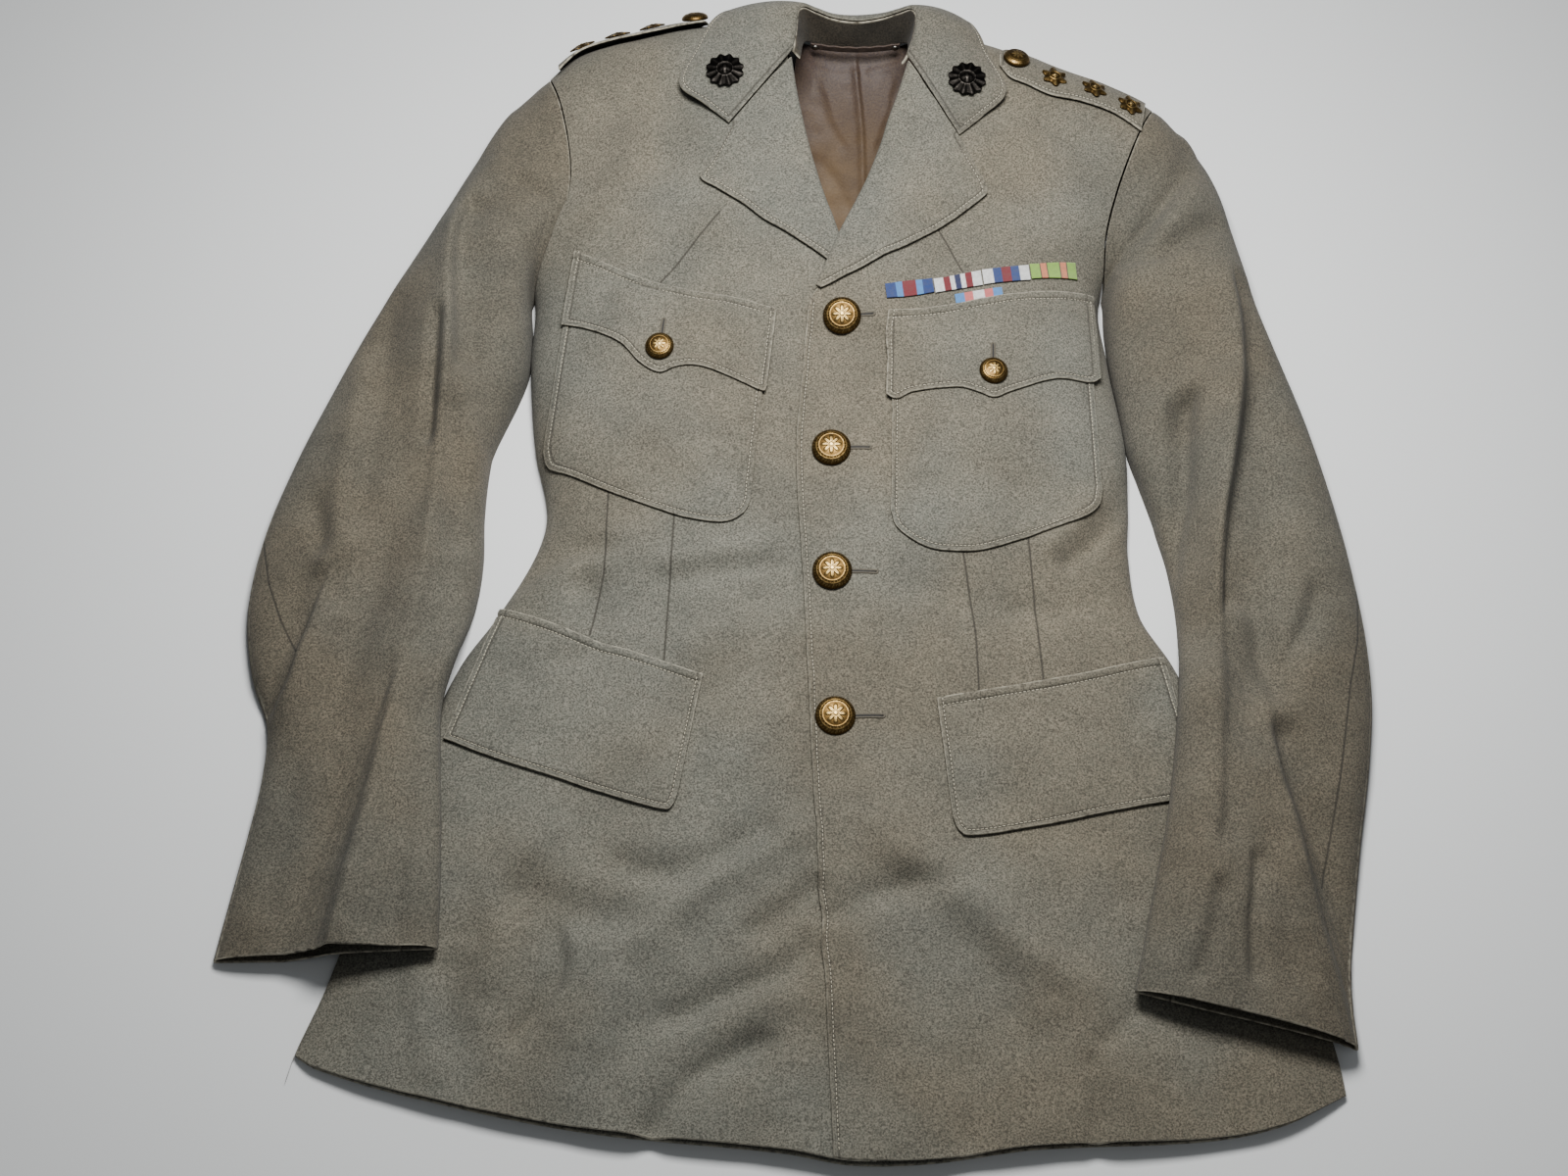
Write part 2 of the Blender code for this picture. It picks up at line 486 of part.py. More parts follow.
def overlap_lift(x, y):
    """How far the wearer's left front stands off where it lies over the right one."""
    upper = 1.0 - smoothstep(OVERLAP_TOP - 2.0, OVERLAP_TOP + 2.0, y)
    lift = (WALL + LAY_GAP) * (1.0 - smoothstep(OVERLAP_END, OVERLAP_FADE, x)) * upper
    distance = math.hypot(x - CROSSING.x, y - CROSSING.y)
    return lift + CROSSING_LIFT * (1.0 - smoothstep(CROSSING_CORE, CROSSING_REACH, distance))


def panel_point(x, y, lift):
    """A point moved out from the fronts' face."""
    point = Vector((x, y, body_height(x, y))) + body_normal(x, y) * lift
    point.z = max(point.z, FRONT_BASE)
    return point


def to_frame(point):
    """A point in the jacket's own centimetres, moved over the frame's origin and in metres."""
    return (point + Vector((SHIFT_X, SHIFT_Y, 0.0))) * CM


def shell(name, outer, inner, finish, parent, collection):
    """A closed wall between two grids of points, with a rim round its four edges."""
    rows = len(outer)
    columns = len(outer[0])
    mesh = bmesh.new()
    skins = []
    for grid in (outer, inner):
        skins.append([[mesh.verts.new(to_frame(p)) for p in row] for row in grid])
    for skin in skins:
        for i in range(rows - 1):
            for j in range(columns - 1):
                mesh.faces.new((skin[i][j], skin[i][j + 1], skin[i + 1][j + 1], skin[i + 1][j]))
    border = [(0, j) for j in range(columns)]
    border += [(i, columns - 1) for i in range(1, rows)]
    border += [(rows - 1, j) for j in range(columns - 2, -1, -1)]
    border += [(i, 0) for i in range(rows - 2, 0, -1)]
    face, back = skins
    for (i, j), (k, m) in zip(border, border[1:] + border[:1]):
        mesh.faces.new((face[i][j], face[k][m], back[k][m], back[i][j]))
    bmesh.ops.triangulate(mesh, faces=mesh.faces[:])
    bmesh.ops.recalc_face_normals(mesh, faces=mesh.faces[:])
    finish_object(name, mesh, finish, parent, collection)


def finish_object(name, mesh, finish, parent, collection, sharp_angle=40.0):
    data = bpy.data.meshes.new(name)
    mesh.to_mesh(data)
    mesh.free()
    data.shade_smooth()
    data.set_sharp_from_angle(angle=math.radians(sharp_angle))
    data.materials.append(make_material(finish))
    item = bpy.data.objects.new(name, data)
    collection.objects.link(item)
    item.parent = parent
    return item


def round_share(angle):
    """Share of a flattened tube's width at an angle round it from its inner edge."""
    return (1.0 - math.cos(math.radians(angle))) / 2.0


def spread(count, ease):
    """Places from 0 to 1, closer together towards 1 by the given ease."""
    even = [i / count for i in range(count + 1)]
    return [(1.0 - ease) * t + ease * math.sin(t * math.pi / 2) for t in even]


def front_plan(edge, side_column, armhole):
    """Rows of plan places over one front, from its inner edge out to its side."""
    side_low = HEM[0] if side_column == "right_edge" else HEM[-1]
    inner_low_x = edge[0].x
    inner_low_y = read_table(HEM, "x", "y", inner_low_x)
    rows = []
    across = spread(FRONT_COLUMNS, FRONT_EASE)
    for k in range(FRONT_ROWS + 1):
        v = k / FRONT_ROWS
        inner_y = inner_low_y + (UNDERARM_Y - inner_low_y) * v
        side_y = side_low.y + (UNDERARM_Y - side_low.y) * v
        inner = Point(read_table(edge, "y", "x", inner_y), inner_y)
        side_x = read_table(BODY, "y", side_column, side_y) if k else side_low.x
        row = []
        for u in across:
            hem_x = inner_low_x + (side_low.x - inner_low_x) * u
            hem_bend = read_table(HEM, "x", "y", hem_x) - (inner_low_y + (side_low.y - inner_low_y) * u)
            x = inner.x + (side_x - inner.x) * u
            y = inner_y + (side_y - inner_y) * u + hem_bend * (1.0 - v)
            row.append(Point(x, y))
        rows.append(row)
    top_inner_x = edge[-1].x
    top_inner_y = read_table(SHOULDER, "x", "y", top_inner_x)
    end = armhole[-1]
    for k in range(1, ARMHOLE_ROWS + 1):
        v = round_share(ARMHOLE_STEP * k)
        inner_y = UNDERARM_Y + (top_inner_y - UNDERARM_Y) * v
        inner = Point(read_table(edge, "y", "x", inner_y), inner_y)
        side = along(armhole, v)
        row = []
        for u in across:
            top_x = top_inner_x + (end.x - top_inner_x) * u
            bend = read_table(SHOULDER, "x", "y", top_x) - (top_inner_y + (end.y - top_inner_y) * u)
            x = inner.x + (side.x - inner.x) * u
            y = inner_y + (side.y - inner_y) * u + bend * v
            row.append(Point(x, y))
        rows.append(row)
    return rows


def build_front(name, edge, side_column, armhole, over, parent, collection):
    plan = front_plan(edge, side_column, armhole)
    outer = []
    inner = []
    for row in plan:
        lifts = [overlap_lift(p.x, p.y) if over else 0.0 for p in row]
        outer.append([panel_point(p.x, p.y, lift) for p, lift in zip(row, lifts)])
        inner.append([panel_point(p.x, p.y, lift - WALL) for p, lift in zip(row, lifts)])
    shell(name, outer, inner, KHAKI, parent, collection)


def back_outline():
    """The back panel in plan, going round from the hem's right corner."""
    right = HEM[0]
    left = HEM[-1]
    points = []
    for x in spread_between(right.x, left.x, BACK_SIDE_STEPS):
        points.append(Point(x, read_table(HEM, "x", "y", x)))
    for y in spread_between(left.y, UNDERARM_Y, BACK_SIDE_STEPS)[1:]:
        points.append(Point(read_table(BODY, "y", "left_edge", y), y))
    points += [along(ARMHOLE_LEFT, t) for t in spread_between(0.0, 1.0, ARMHOLE_STEPS)[1:]]
    for x in spread_between(ARMHOLE_LEFT[-1].x, FRONT_LEFT_EDGE[-1].x, SHOULDER_STEPS)[1:]:
        points.append(Point(x, read_table(SHOULDER, "x", "y", x)))
    points += BACK_NECK
    for x in spread_between(FRONT_RIGHT_EDGE[-1].x, ARMHOLE_RIGHT[-1].x, SHOULDER_STEPS):
        points.append(Point(x, read_table(SHOULDER, "x", "y", x)))
    points += [along(ARMHOLE_RIGHT, t) for t in spread_between(1.0, 0.0, ARMHOLE_STEPS)[1:]]
    for y in spread_between(UNDERARM_Y, right.y, BACK_SIDE_STEPS)[1:-1]:
        points.append(Point(read_table(BODY, "y", "right_edge", y), y))
    return points


def spread_between(start, end, count):
    return [start + (end - start) * i / count for i in range(count + 1)]


def build_back(parent, collection):
    curve = bpy.data.curves.new("back", "CURVE")
    curve.dimensions = "2D"
    curve.fill_mode = "BOTH"
    curve.extrude = BACK_TOP / 2 * CM
    points = back_outline()
    spline = curve.splines.new("POLY")
    spline.points.add(len(points) - 1)
    for slot, p in zip(spline.points, points):
        slot.co = (*to_frame(Vector((p.x, p.y, 0.0))), 1.0)
    spline.use_cyclic_u = True
    curve.materials.append(make_material(KHAKI))
    item = bpy.data.objects.new("back", curve)
    item.location.z = BACK_TOP / 2 * CM
    collection.objects.link(item)
    item.parent = parent


def sleeve_support(x, y):
    """Height that the skirt holds the sleeve at, widened so the sleeve bridges its edge."""
    total = 0.0
    for shift in BRIDGE_BLUR:
        tops = []
        for extra in BRIDGE_REACH:
            place = x + shift + extra
            inside = read_table(BODY, "y", "right_edge", y) < place < read_table(BODY, "y", "left_edge", y)
            tops.append(body_height(place, y) + RIDE_CLEARANCE if inside else 0.0)
        total += max(tops)
    return total / len(BRIDGE_BLUR)


def sleeve_plan(rung, armhole, outward, share):
    """A place in plan across the sleeve, from 0 at its inner edge to 1 at its outer edge."""
    place = Vector((rung.inner_x, rung.inner_y)).lerp(Vector((rung.outer_x, rung.outer_y)), share)
    chord = Vector(armhole[0]).lerp(Vector(armhole[-1]), share)
    place += (Vector(along(armhole, share)) - chord) * rung.bow
    place.x += outward * ARMHOLE_GAP
    return place


def sleeve_point(rungs, armhole, folds, outward, at, angle, inset):
    """A point of the sleeve: at runs from armhole to cuff, angle goes round the tube."""
    rung = read_rows(rungs, at)
    width = math.hypot(rung.outer_x - rung.inner_x, rung.outer_y - rung.inner_y)
    share = round_share(angle)
    face = sleeve_plan(rung, armhole, outward, share)
    place = sleeve_plan(rung, armhole, outward, (inset + (width - 2.0 * inset) * share) / width)
    base = sleeve_support(face.x, face.y) * rung.ride if rung.ride > 0.0 else 0.0
    bottom = base + inset
    rise = math.sin(math.radians(angle))
    if rise <= 0.0:
        return Vector((place.x, place.y, bottom))
    swell = rise ** SLEEVE_ROUNDNESS
    own = base + rung.crown * swell
    own += sum(line_fold(face.x, face.y, fold) for fold in folds) * swell
    shaped = body_height(face.x, face.y) * min(1.0, rise * 3.0)
    top = own + (shaped - own) * rung.shaped
    top -= inset * (2.0 * swell - 1.0)
    return Vector((place.x, place.y, max(top, bottom)))


def build_sleeve(side, rungs, armhole, folds, outward, parent, collection):
    low = INNER_SEAM_ANGLE
    high = HIND_SEAM_ANGLE
    spans = [
        ("top_sleeve_" + side, low, high, TOP_SLEEVE_COLUMNS),
        ("under_sleeve_" + side, high + HIND_GAP_ANGLE, 360.0 + low - INNER_GAP_ANGLE, UNDER_SLEEVE_COLUMNS),
    ]
    for name, first, last, columns in spans:
        grids = []
        for inset in (0.0, WALL):
            grid = []
            for i in range(SLEEVE_ROWS + 1):
                at = i / SLEEVE_ROWS
                angles = spread_between(first, last, columns)
                grid.append([sleeve_point(rungs, armhole, folds, outward, at, a, inset) for a in angles])
            grids.append(grid)
        shell(name, grids[0], grids[1], KHAKI, parent, collection)


def build_laid(name, strips, lift, wall, counts, over, finish, parent, collection, curl=0.0):
    """A flat piece laid on the fronts, from a table of rungs. Its first edge may curl up."""
    rows, columns = counts
    outer = []
    inner = []
    for i in range(rows + 1):
        strip = read_rows(strips, i / rows)
        face = []
        back = []
        for j in range(columns + 1):
            t = j / columns
            x = strip.top_x + (strip.end_x - strip.top_x) * t
            y = strip.top_y + (strip.end_y - strip.top_y) * t
            under = lift + curl * (1.0 - t)
            face.append(cloth_point(x, y, under + wall, over))
            back.append(cloth_point(x, y, under, over))
        outer.append(face)
        inner.append(back)
    shell(name, outer, inner, finish, parent, collection)


def build_collar(parent, collection):
    fall_faces = []
    fall_backs = []
    stand_faces = []
    stand_backs = []
    for i in range(COLLAR_ROWS + 1):
        at = i / COLLAR_ROWS
        rung = read_rows(COLLAR, at)
        fold = Vector((rung.x, rung.y, rung.z))
        edge = Vector((rung.fall_x, rung.fall_y, rung.fall_z))
        seam = Vector((rung.seam_x, rung.seam_y, rung.seam_z))
        run = edge - fold
        ahead = read_rows(COLLAR, min(1.0, at + COLLAR_STEP))
        behind = read_rows(COLLAR, max(0.0, at - COLLAR_STEP))
        tangent = Vector((ahead.x - behind.x, ahead.y - behind.y, ahead.z - behind.z)).normalized()
        normal = run.cross(tangent).normalized()
        if normal.z < 0.0:
            normal = -normal
        face = []
        back = []
        for j in range(FALL_COLUMNS + 1):
            t = j / FALL_COLUMNS
            point = fold + run * t + normal * FALL_BULGE * 4.0 * t * (1.0 - t)
            face.append(point)
            back.append(point - normal * WALL)
        fall_faces.append(face)
        fall_backs.append(back)
        drop = (seam - fold).normalized()
        side = drop.cross(tangent).normalized()
        centre = Vector((*NECK_CENTRE, fold.z))
        if side.dot(centre - fold) < 0.0:
            side = -side
        top = fold - normal * (WALL + SEAM_GAP * 2) + side * SEAM_GAP
        stand_face = []
        stand_back = []
        for j in range(STAND_COLUMNS + 1):
            t = j / STAND_COLUMNS
            point = top.lerp(seam, t)
            stand_face.append(point + side * WALL)
            stand_back.append(point)
        stand_faces.append(stand_face)
        stand_backs.append(stand_back)
    shell("collar_fall", fall_faces, fall_backs, KHAKI, parent, collection)
    shell("collar_stand", stand_faces, stand_backs, KHAKI, parent, collection)


def build_lining(parent, collection):
    rows, columns = LINING_COUNTS
    outer = []
    inner = []
    for i in range(rows + 1):
        row = read_rows(BACK_LINING, i / rows)
        face = []
        for j in range(columns + 1):
            t = j / columns
            x = row.low_x + (row.high_x - row.low_x) * t
            z = row.z + row.rim * abs(2.0 * t - 1.0) ** 3
            face.append(Vector((x, row.y, z + LINING_WALL)))
        outer.append(face)
        inner.append([p - Vector((0.0, 0.0, LINING_WALL)) for p in face])
    shell("back_lining", outer, inner, LINING, parent, collection)


def build_loop(parent, collection):
    grids = []
    for push in (0.0, THIN_WALL):
        grid = []
        for edge in (0.0, 1.0):
            row = []
            for i in range(LOOP_COLUMNS + 1):
                t = i / LOOP_COLUMNS
                point = LOOP_START.lerp(LOOP_END, t)
                bow = LOOP_SAG * 4.0 * t * (1.0 - t)
                row.append(point + Vector((0.0, push - bow, edge * LOOP_HEIGHT - bow * LOOP_DROOP)))
            grid.append(row)
        grids.append(grid)
    shell("hanger_loop", grids[0], grids[1], LINING, parent, collection)
    length = (LOOP_END - LOOP_START).length
    for number, along_loop in enumerate((STUD_INSET, length - STUD_INSET), 1):
        t = along_loop / length
        bow = LOOP_SAG * 4.0 * t * (1.0 - t)
        out = Vector((0.0, -bow - SEAM_GAP * 2, LOOP_HEIGHT / 2 - bow * LOOP_DROOP))
        stud = turned("loop_stud_" + str(number), STUD_RADIUS, STUD_HEIGHT, PALE_METAL, parent, collection)
        stud.location = to_frame(LOOP_START.lerp(LOOP_END, t) + out)
        stud.rotation_euler.x = math.pi / 2


def turned(name, radius, height, finish, parent, collection):
    """A domed button or stud turned about its own axis."""
    data = bpy.data.meshes.new(name)
    verts = [(x * radius * CM, 0.0, z * height * CM) for x, z in DOME_PROFILE]
    data.from_pydata(verts, [(i, i + 1) for i in range(len(verts) - 1)], [])
    data.materials.append(make_material(finish))
    item = bpy.data.objects.new(name, data)
    collection.objects.link(item)
    item.parent = parent
    screw = item.modifiers.new("turn", "SCREW")
    screw.axis = "Z"
    screw.steps = BUTTON_STEPS
    screw.render_steps = BUTTON_STEPS
    screw.use_merge_vertices = True
    screw.merge_threshold = MERGE
    screw.use_smooth_shade = True
    return item


def build_button(name, radius, height, spot, lift, over, parent, collection):
    item = turned(name, radius, height, GILT, parent, collection)
    set_on_cloth(item, spot, lift, over)


def cloth_point(x, y, lift, over):
    return panel_point(x, y, lift + (overlap_lift(x, y) if over else 0.0))


def set_on_cloth(item, spot, lift, over):
    """Place a piece on the fronts' face, level with the cloth round it."""
    step = SEAT_STEP
    place = cloth_point(spot.x, spot.y, lift, over)
    across = cloth_point(spot.x + step, spot.y, lift, over) - cloth_point(spot.x - step, spot.y, lift, over)
    upward = cloth_point(spot.x, spot.y + step, lift, over) - cloth_point(spot.x, spot.y - step, lift, over)
    item.location = to_frame(place)
    item.rotation_mode = "QUATERNION"
    item.rotation_quaternion = Vector((0.0, 0.0, 1.0)).rotation_difference(across.cross(upward))


def star(name, size, finish, spot, lift, parent, collection):
    """A low rosette with a toothed outline and a raised centre."""
    mesh = bmesh.new()
    height = size.height * CM
    bmesh.ops.create_cone(
        mesh, cap_ends=True, cap_tris=False, segments=size.points * 2, radius1=size.radius * CM,
        radius2=size.radius * ROSETTE_TOP * CM, depth=height,
        matrix=Matrix.Translation((0.0, 0.0, height / 2)),
    )
    rim = sorted((v for v in mesh.verts if v.co.z < height / 2), key=lambda v: math.atan2(v.co.y, v.co.x))
    for vert in rim[1::2]:
        vert.co.x *= size.notch
        vert.co.y *= size.notch
    item = finish_object(name, mesh, finish, parent, collection, sharp_angle=25.0)
    set_on_cloth(item, spot, lift, False)


def build_ribbon(ribbon, finish, parent, collection):
    strips = []
    for run in (0.0, RIBBON_LENGTH / 2, RIBBON_LENGTH):
        x = ribbon.x + run
        y = ribbon.y + run * RIBBON_SLOPE
        strips.append(Strip(x - RIBBON_WIDTH * RIBBON_SLOPE / 2, y + RIBBON_WIDTH, x, y))
    build_laid(ribbon.name, strips, LAY_GAP, RIBBON_WALL, (4, 1), True, finish, parent, collection)


def build_jacket():
    clear_scene()
    collection = bpy.data.collections.new("service_dress_jacket")
    bpy.context.scene.collection.children.link(collection)
    root = bpy.data.objects.new("jacket_root", None)
    collection.objects.link(root)
    build_back(root, collection)
    build_front("front_right", FRONT_RIGHT_EDGE, "right_edge", ARMHOLE_RIGHT, False, root, collection)
    build_front("front_left", FRONT_LEFT_EDGE, "left_edge", ARMHOLE_LEFT, True, root, collection)
    build_sleeve("right", SLEEVE_RIGHT, ARMHOLE_RIGHT, SLEEVE_RIGHT_FOLDS, -1.0, root, collection)
    build_sleeve("left", SLEEVE_LEFT, ARMHOLE_LEFT, SLEEVE_LEFT_FOLDS, 1.0, root, collection)
    pocket_lift = LAY_GAP
    flap_lift = pocket_lift + THIN_WALL + LAY_GAP
    laid = [
        ("lapel_right", LAPEL_RIGHT, LAPEL_GAP, WALL, (20, 4), False, FACING),
        ("lapel_left", LAPEL_LEFT, LAPEL_GAP, WALL, (24, 6), True, FACING),
        ("breast_pocket_right", BREAST_POCKET_RIGHT, pocket_lift, THIN_WALL, (20, 6), False, KHAKI),
        ("breast_pocket_left", BREAST_POCKET_LEFT, pocket_lift, THIN_WALL, (20, 6), True, KHAKI),
        ("breast_flap_right", BREAST_FLAP_RIGHT, flap_lift, THIN_WALL, (18, 3), False, KHAKI),
        ("breast_flap_left", BREAST_FLAP_LEFT, flap_lift, THIN_WALL, (18, 3), True, KHAKI),
        ("hip_flap_right", HIP_FLAP_RIGHT, LAPEL_GAP, THIN_WALL, (20, 5), False, KHAKI),
        ("hip_flap_left", HIP_FLAP_LEFT, LAPEL_GAP, THIN_WALL, (20, 5), True, KHAKI),
    ]
    for name, strips, lift, wall, counts, over, finish in laid:
        build_laid(name, strips, lift, wall, counts, over, finish, root, collection)
    build_laid("shoulder_strap_left", STRAP_LEFT, LAY_GAP, THIN_WALL, (12, 5), False, STRAP_BACKING,
               root, collection, STRAP_CURL_LEFT)
    build_laid("shoulder_strap_right", STRAP_RIGHT, LAY_GAP, THIN_WALL, (12, 4), False, STRAP_BACKING,
               root, collection, STRAP_CURL_RIGHT)
    build_collar(root, collection)
    build_lining(root, collection)
    build_loop(root, collection)
    for number, spot in enumerate(BUTTON_SPOTS, 1):
        build_button("front_button_" + str(number), BUTTON_RADIUS, BUTTON_HEIGHT, spot, SEAM_GAP, True,
                     root, collection)
    on_flap = flap_lift + THIN_WALL + SEAM_GAP
    on_strap = LAY_GAP + THIN_WALL
    small = [
        ("pocket_button_right", POCKET_BUTTON_RIGHT, on_flap, False),
        ("pocket_button_left", POCKET_BUTTON_LEFT, on_flap, True),
        ("strap_button_left", STRAP_BUTTON_LEFT, on_strap + STRAP_BUTTON_LIFT_LEFT, False),
        ("strap_button_right", STRAP_BUTTON_RIGHT, on_strap + STRAP_BUTTON_LIFT_RIGHT, False),
    ]
    for name, spot, lift, over in small:
        build_button(name, SMALL_BUTTON_RADIUS, SMALL_BUTTON_HEIGHT, spot, lift, over, root, collection)
    for side, spots, rise in (("left", PIPS_LEFT, PIP_LIFT_LEFT), ("right", PIPS_RIGHT, PIP_LIFT_RIGHT)):
        for number, spot in enumerate(spots, 1):
            star("pip_" + side + "_" + str(number), PIP_SIZE, GILT, spot, on_strap + rise, root, collection)
    for side, spot in (("right", BADGE_SPOT_RIGHT), ("left", BADGE_SPOT_LEFT)):
        star("collar_badge_" + side, BADGE_SIZE, BRONZE, spot, BADGE_LIFT, root, collection)
    colours = [RIBBON_BLUE, RIBBON_WHITE, RIBBON_RED, RIBBON_GREEN, RIBBON_PINK]
    for ribbon, finish in zip(RIBBONS, colours):
        build_ribbon(ribbon, finish, root, collection)


build_jacket()
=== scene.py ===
"""Looks of the service dress jacket: cloth, thread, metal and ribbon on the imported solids.

Sizes are in centimetres, in the plan that the solids are drawn in: +X to the wearer's
left, +Y from the hem to the collar, +Z up. to_frame() moves them into the frame.
"""
import math
from collections import namedtuple

import bpy
import numpy as np
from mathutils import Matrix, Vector
from mathutils.geometry import delaunay_2d_cdt


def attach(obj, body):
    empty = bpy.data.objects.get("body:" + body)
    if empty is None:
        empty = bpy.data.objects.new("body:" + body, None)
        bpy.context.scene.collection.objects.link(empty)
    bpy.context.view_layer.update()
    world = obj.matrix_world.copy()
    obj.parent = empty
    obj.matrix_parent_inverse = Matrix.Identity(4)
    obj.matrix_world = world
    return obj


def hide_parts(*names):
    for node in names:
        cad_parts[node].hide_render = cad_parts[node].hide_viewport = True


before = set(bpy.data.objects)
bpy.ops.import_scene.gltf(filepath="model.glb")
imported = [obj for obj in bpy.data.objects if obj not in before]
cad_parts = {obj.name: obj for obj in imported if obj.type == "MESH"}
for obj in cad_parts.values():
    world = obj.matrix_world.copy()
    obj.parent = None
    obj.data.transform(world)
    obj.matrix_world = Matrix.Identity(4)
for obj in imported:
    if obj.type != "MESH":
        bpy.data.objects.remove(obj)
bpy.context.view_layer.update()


def table(kind, *rows):
    return [kind(*row) for row in rows]


def paint(red, green, blue):
    return (red, green, blue, 1.0)


CM = 0.01
SHIFT_X = -1.37
SHIFT_Y = -5.27

# Cloth and the gaps that part one piece from the next
WALL = 0.24
THIN_WALL = 0.15
LINING_WALL = 0.12
SEAM_GAP = 0.03
LAY_GAP = 0.06
LAPEL_GAP = 0.115
BACK_TOP = 0.22
FRONT_BASE = BACK_TOP + SEAM_GAP

# Sections of the body, from hem to shoulders: edges in plan and height of the crown
Section = namedtuple("Section", "y right_edge left_edge crown")
BODY = table(
    Section,
    (-37.5, -30.6, 33.6, 1.3), (-31.0, -29.5, 33.2, 1.4), (-26.0, -27.7, 32.0, 1.6),
    (-18.0, -25.4, 29.9, 2.0), (-10.0, -22.9, 27.2, 2.5), (-4.6, -20.8, 25.0, 2.9),
    (-1.1, -18.6, 23.1, 3.1), (3.4, -16.3, 22.6, 3.5), (6.5, -15.7, 22.8, 3.8), (11.5, -16.7, 22.9, 4.2),
    (18.0, -17.3, 22.1, 4.7), (23.5, -17.3, 21.9, 5.0), (28.0, -19.2, 25.2, 5.3),
    (33.0, -21.0, 28.4, 5.6), (38.0, -22.5, 30.6, 5.9), (43.0, -23.0, 31.5, 6.0),
)
SIDE_ROUNDNESS = 3.4
SHOULDER_ROUNDNESS = 2.2
SHOULDER_FALL = 5.5
UNDERARM_Y = 23.5
RIM_STEP = 0.3
RIM_SHARE = 0.05
SLOPE_STEP = 0.12

# Plan curves
Point = namedtuple("Point", "x y")
HEM = table(
    Point,
    (-29.3, -30.2), (-28.0, -31.0), (-22.7, -32.6), (-12.2, -34.8), (0.0, -36.1), (4.0, -36.8),
    (8.7, -36.7), (14.6, -35.9), (24.8, -35.4), (29.4, -34.5), (33.2, -32.7),
)
SHOULDER = table(
    Point,
    (-19.0, 39.2), (-17.0, 41.2), (-15.0, 43.2), (-12.7, 44.2), (-9.8, 44.9), (-6.2, 45.7), (0.0, 46.2),
    (5.0, 46.3), (10.0, 45.4), (15.2, 43.8), (19.0, 42.1), (23.0, 40.6), (26.5, 38.8), (28.0, 37.0),
)
ARMHOLE_RIGHT = table(
    Point,
    (-17.3, 23.5), (-16.9, 24.9), (-16.3, 26.3), (-15.7, 27.8), (-14.9, 29.8), (-14.9, 33.0),
    (-15.6, 36.7), (-16.4, 39.2), (-16.9, 41.2),
)
ARMHOLE_LEFT = table(
    Point,
    (21.9, 23.5), (22.1, 24.8), (22.2, 26.9), (22.9, 29.7), (23.8, 32.3), (25.0, 35.3), (25.9, 37.3),
    (26.5, 38.75),
)

BACK_NECK = [Point(9.3, 44.2), Point(0.6, 44.2)]
BODY_MIDDLE = Point(3.0, 15.0)

# Inner edges of the fronts: the fastened edge, then the roll line, then the neck
Edge = namedtuple("Edge", "y x")
FRONT_LEFT_EDGE = table(
    Edge,
    (-37.0, 2.9), (-26.6, 2.5), (-17.0, 2.0), (-9.0, 1.6), (0.0, 1.25), (9.0, 0.8), (15.0, 1.2),
    (20.8, 1.8), (25.6, 3.9), (29.0, 5.3), (33.0, 6.7), (37.0, 8.0), (40.0, 9.3), (42.0, 10.0),
    (45.6, 10.4),
)
FRONT_RIGHT_EDGE = table(
    Edge,
    (-37.0, 5.4), (0.0, 5.4), (18.0, 5.4), (22.0, 4.9), (25.4, 3.9), (29.6, 2.6), (33.8, 1.6),
    (36.4, 1.0), (40.4, 0.6), (46.2, 0.3),
)
OVERLAP_END = 5.8
OVERLAP_FADE = 9.5
OVERLAP_TOP = 29.0
CROSSING = Point(3.2, 24.0)
CROSSING_LIFT = 0.32
CROSSING_CORE = 3.2
CROSSING_REACH = 7.0

# The largest soft folds: a line, its height and how far it spreads to each side in X
Fold = namedtuple("Fold", "x0 y0 x1 y1 height low_side high_side")
FOLD_FADE = 3.0
BODY_FOLDS = table(
    Fold,
    (-14.5, 2.5, -7.5, -3.0, -0.25, 1.6, 1.8), (-15.0, 6.0, -6.0, 1.5, 0.16, 1.4, 1.2),
    (-13.0, -18.0, -10.0, -30.0, 0.25, 2.6, 2.2), (-4.5, -10.0, -3.0, -33.0, -0.22, 2.6, 2.8),
    (6.5, 1.0, 14.5, -2.5, -0.22, 1.5, 1.6), (13.0, -19.0, 17.0, -33.0, 0.25, 2.8, 2.4),
    (21.0, -20.0, 25.5, -32.0, -0.2, 2.2, 2.0), (-16.5, 31.0, -9.0, 38.0, -0.22, 1.8, 2.0),
    (23.5, 29.0, 18.0, 35.5, -0.22, 1.8, 1.8),
)

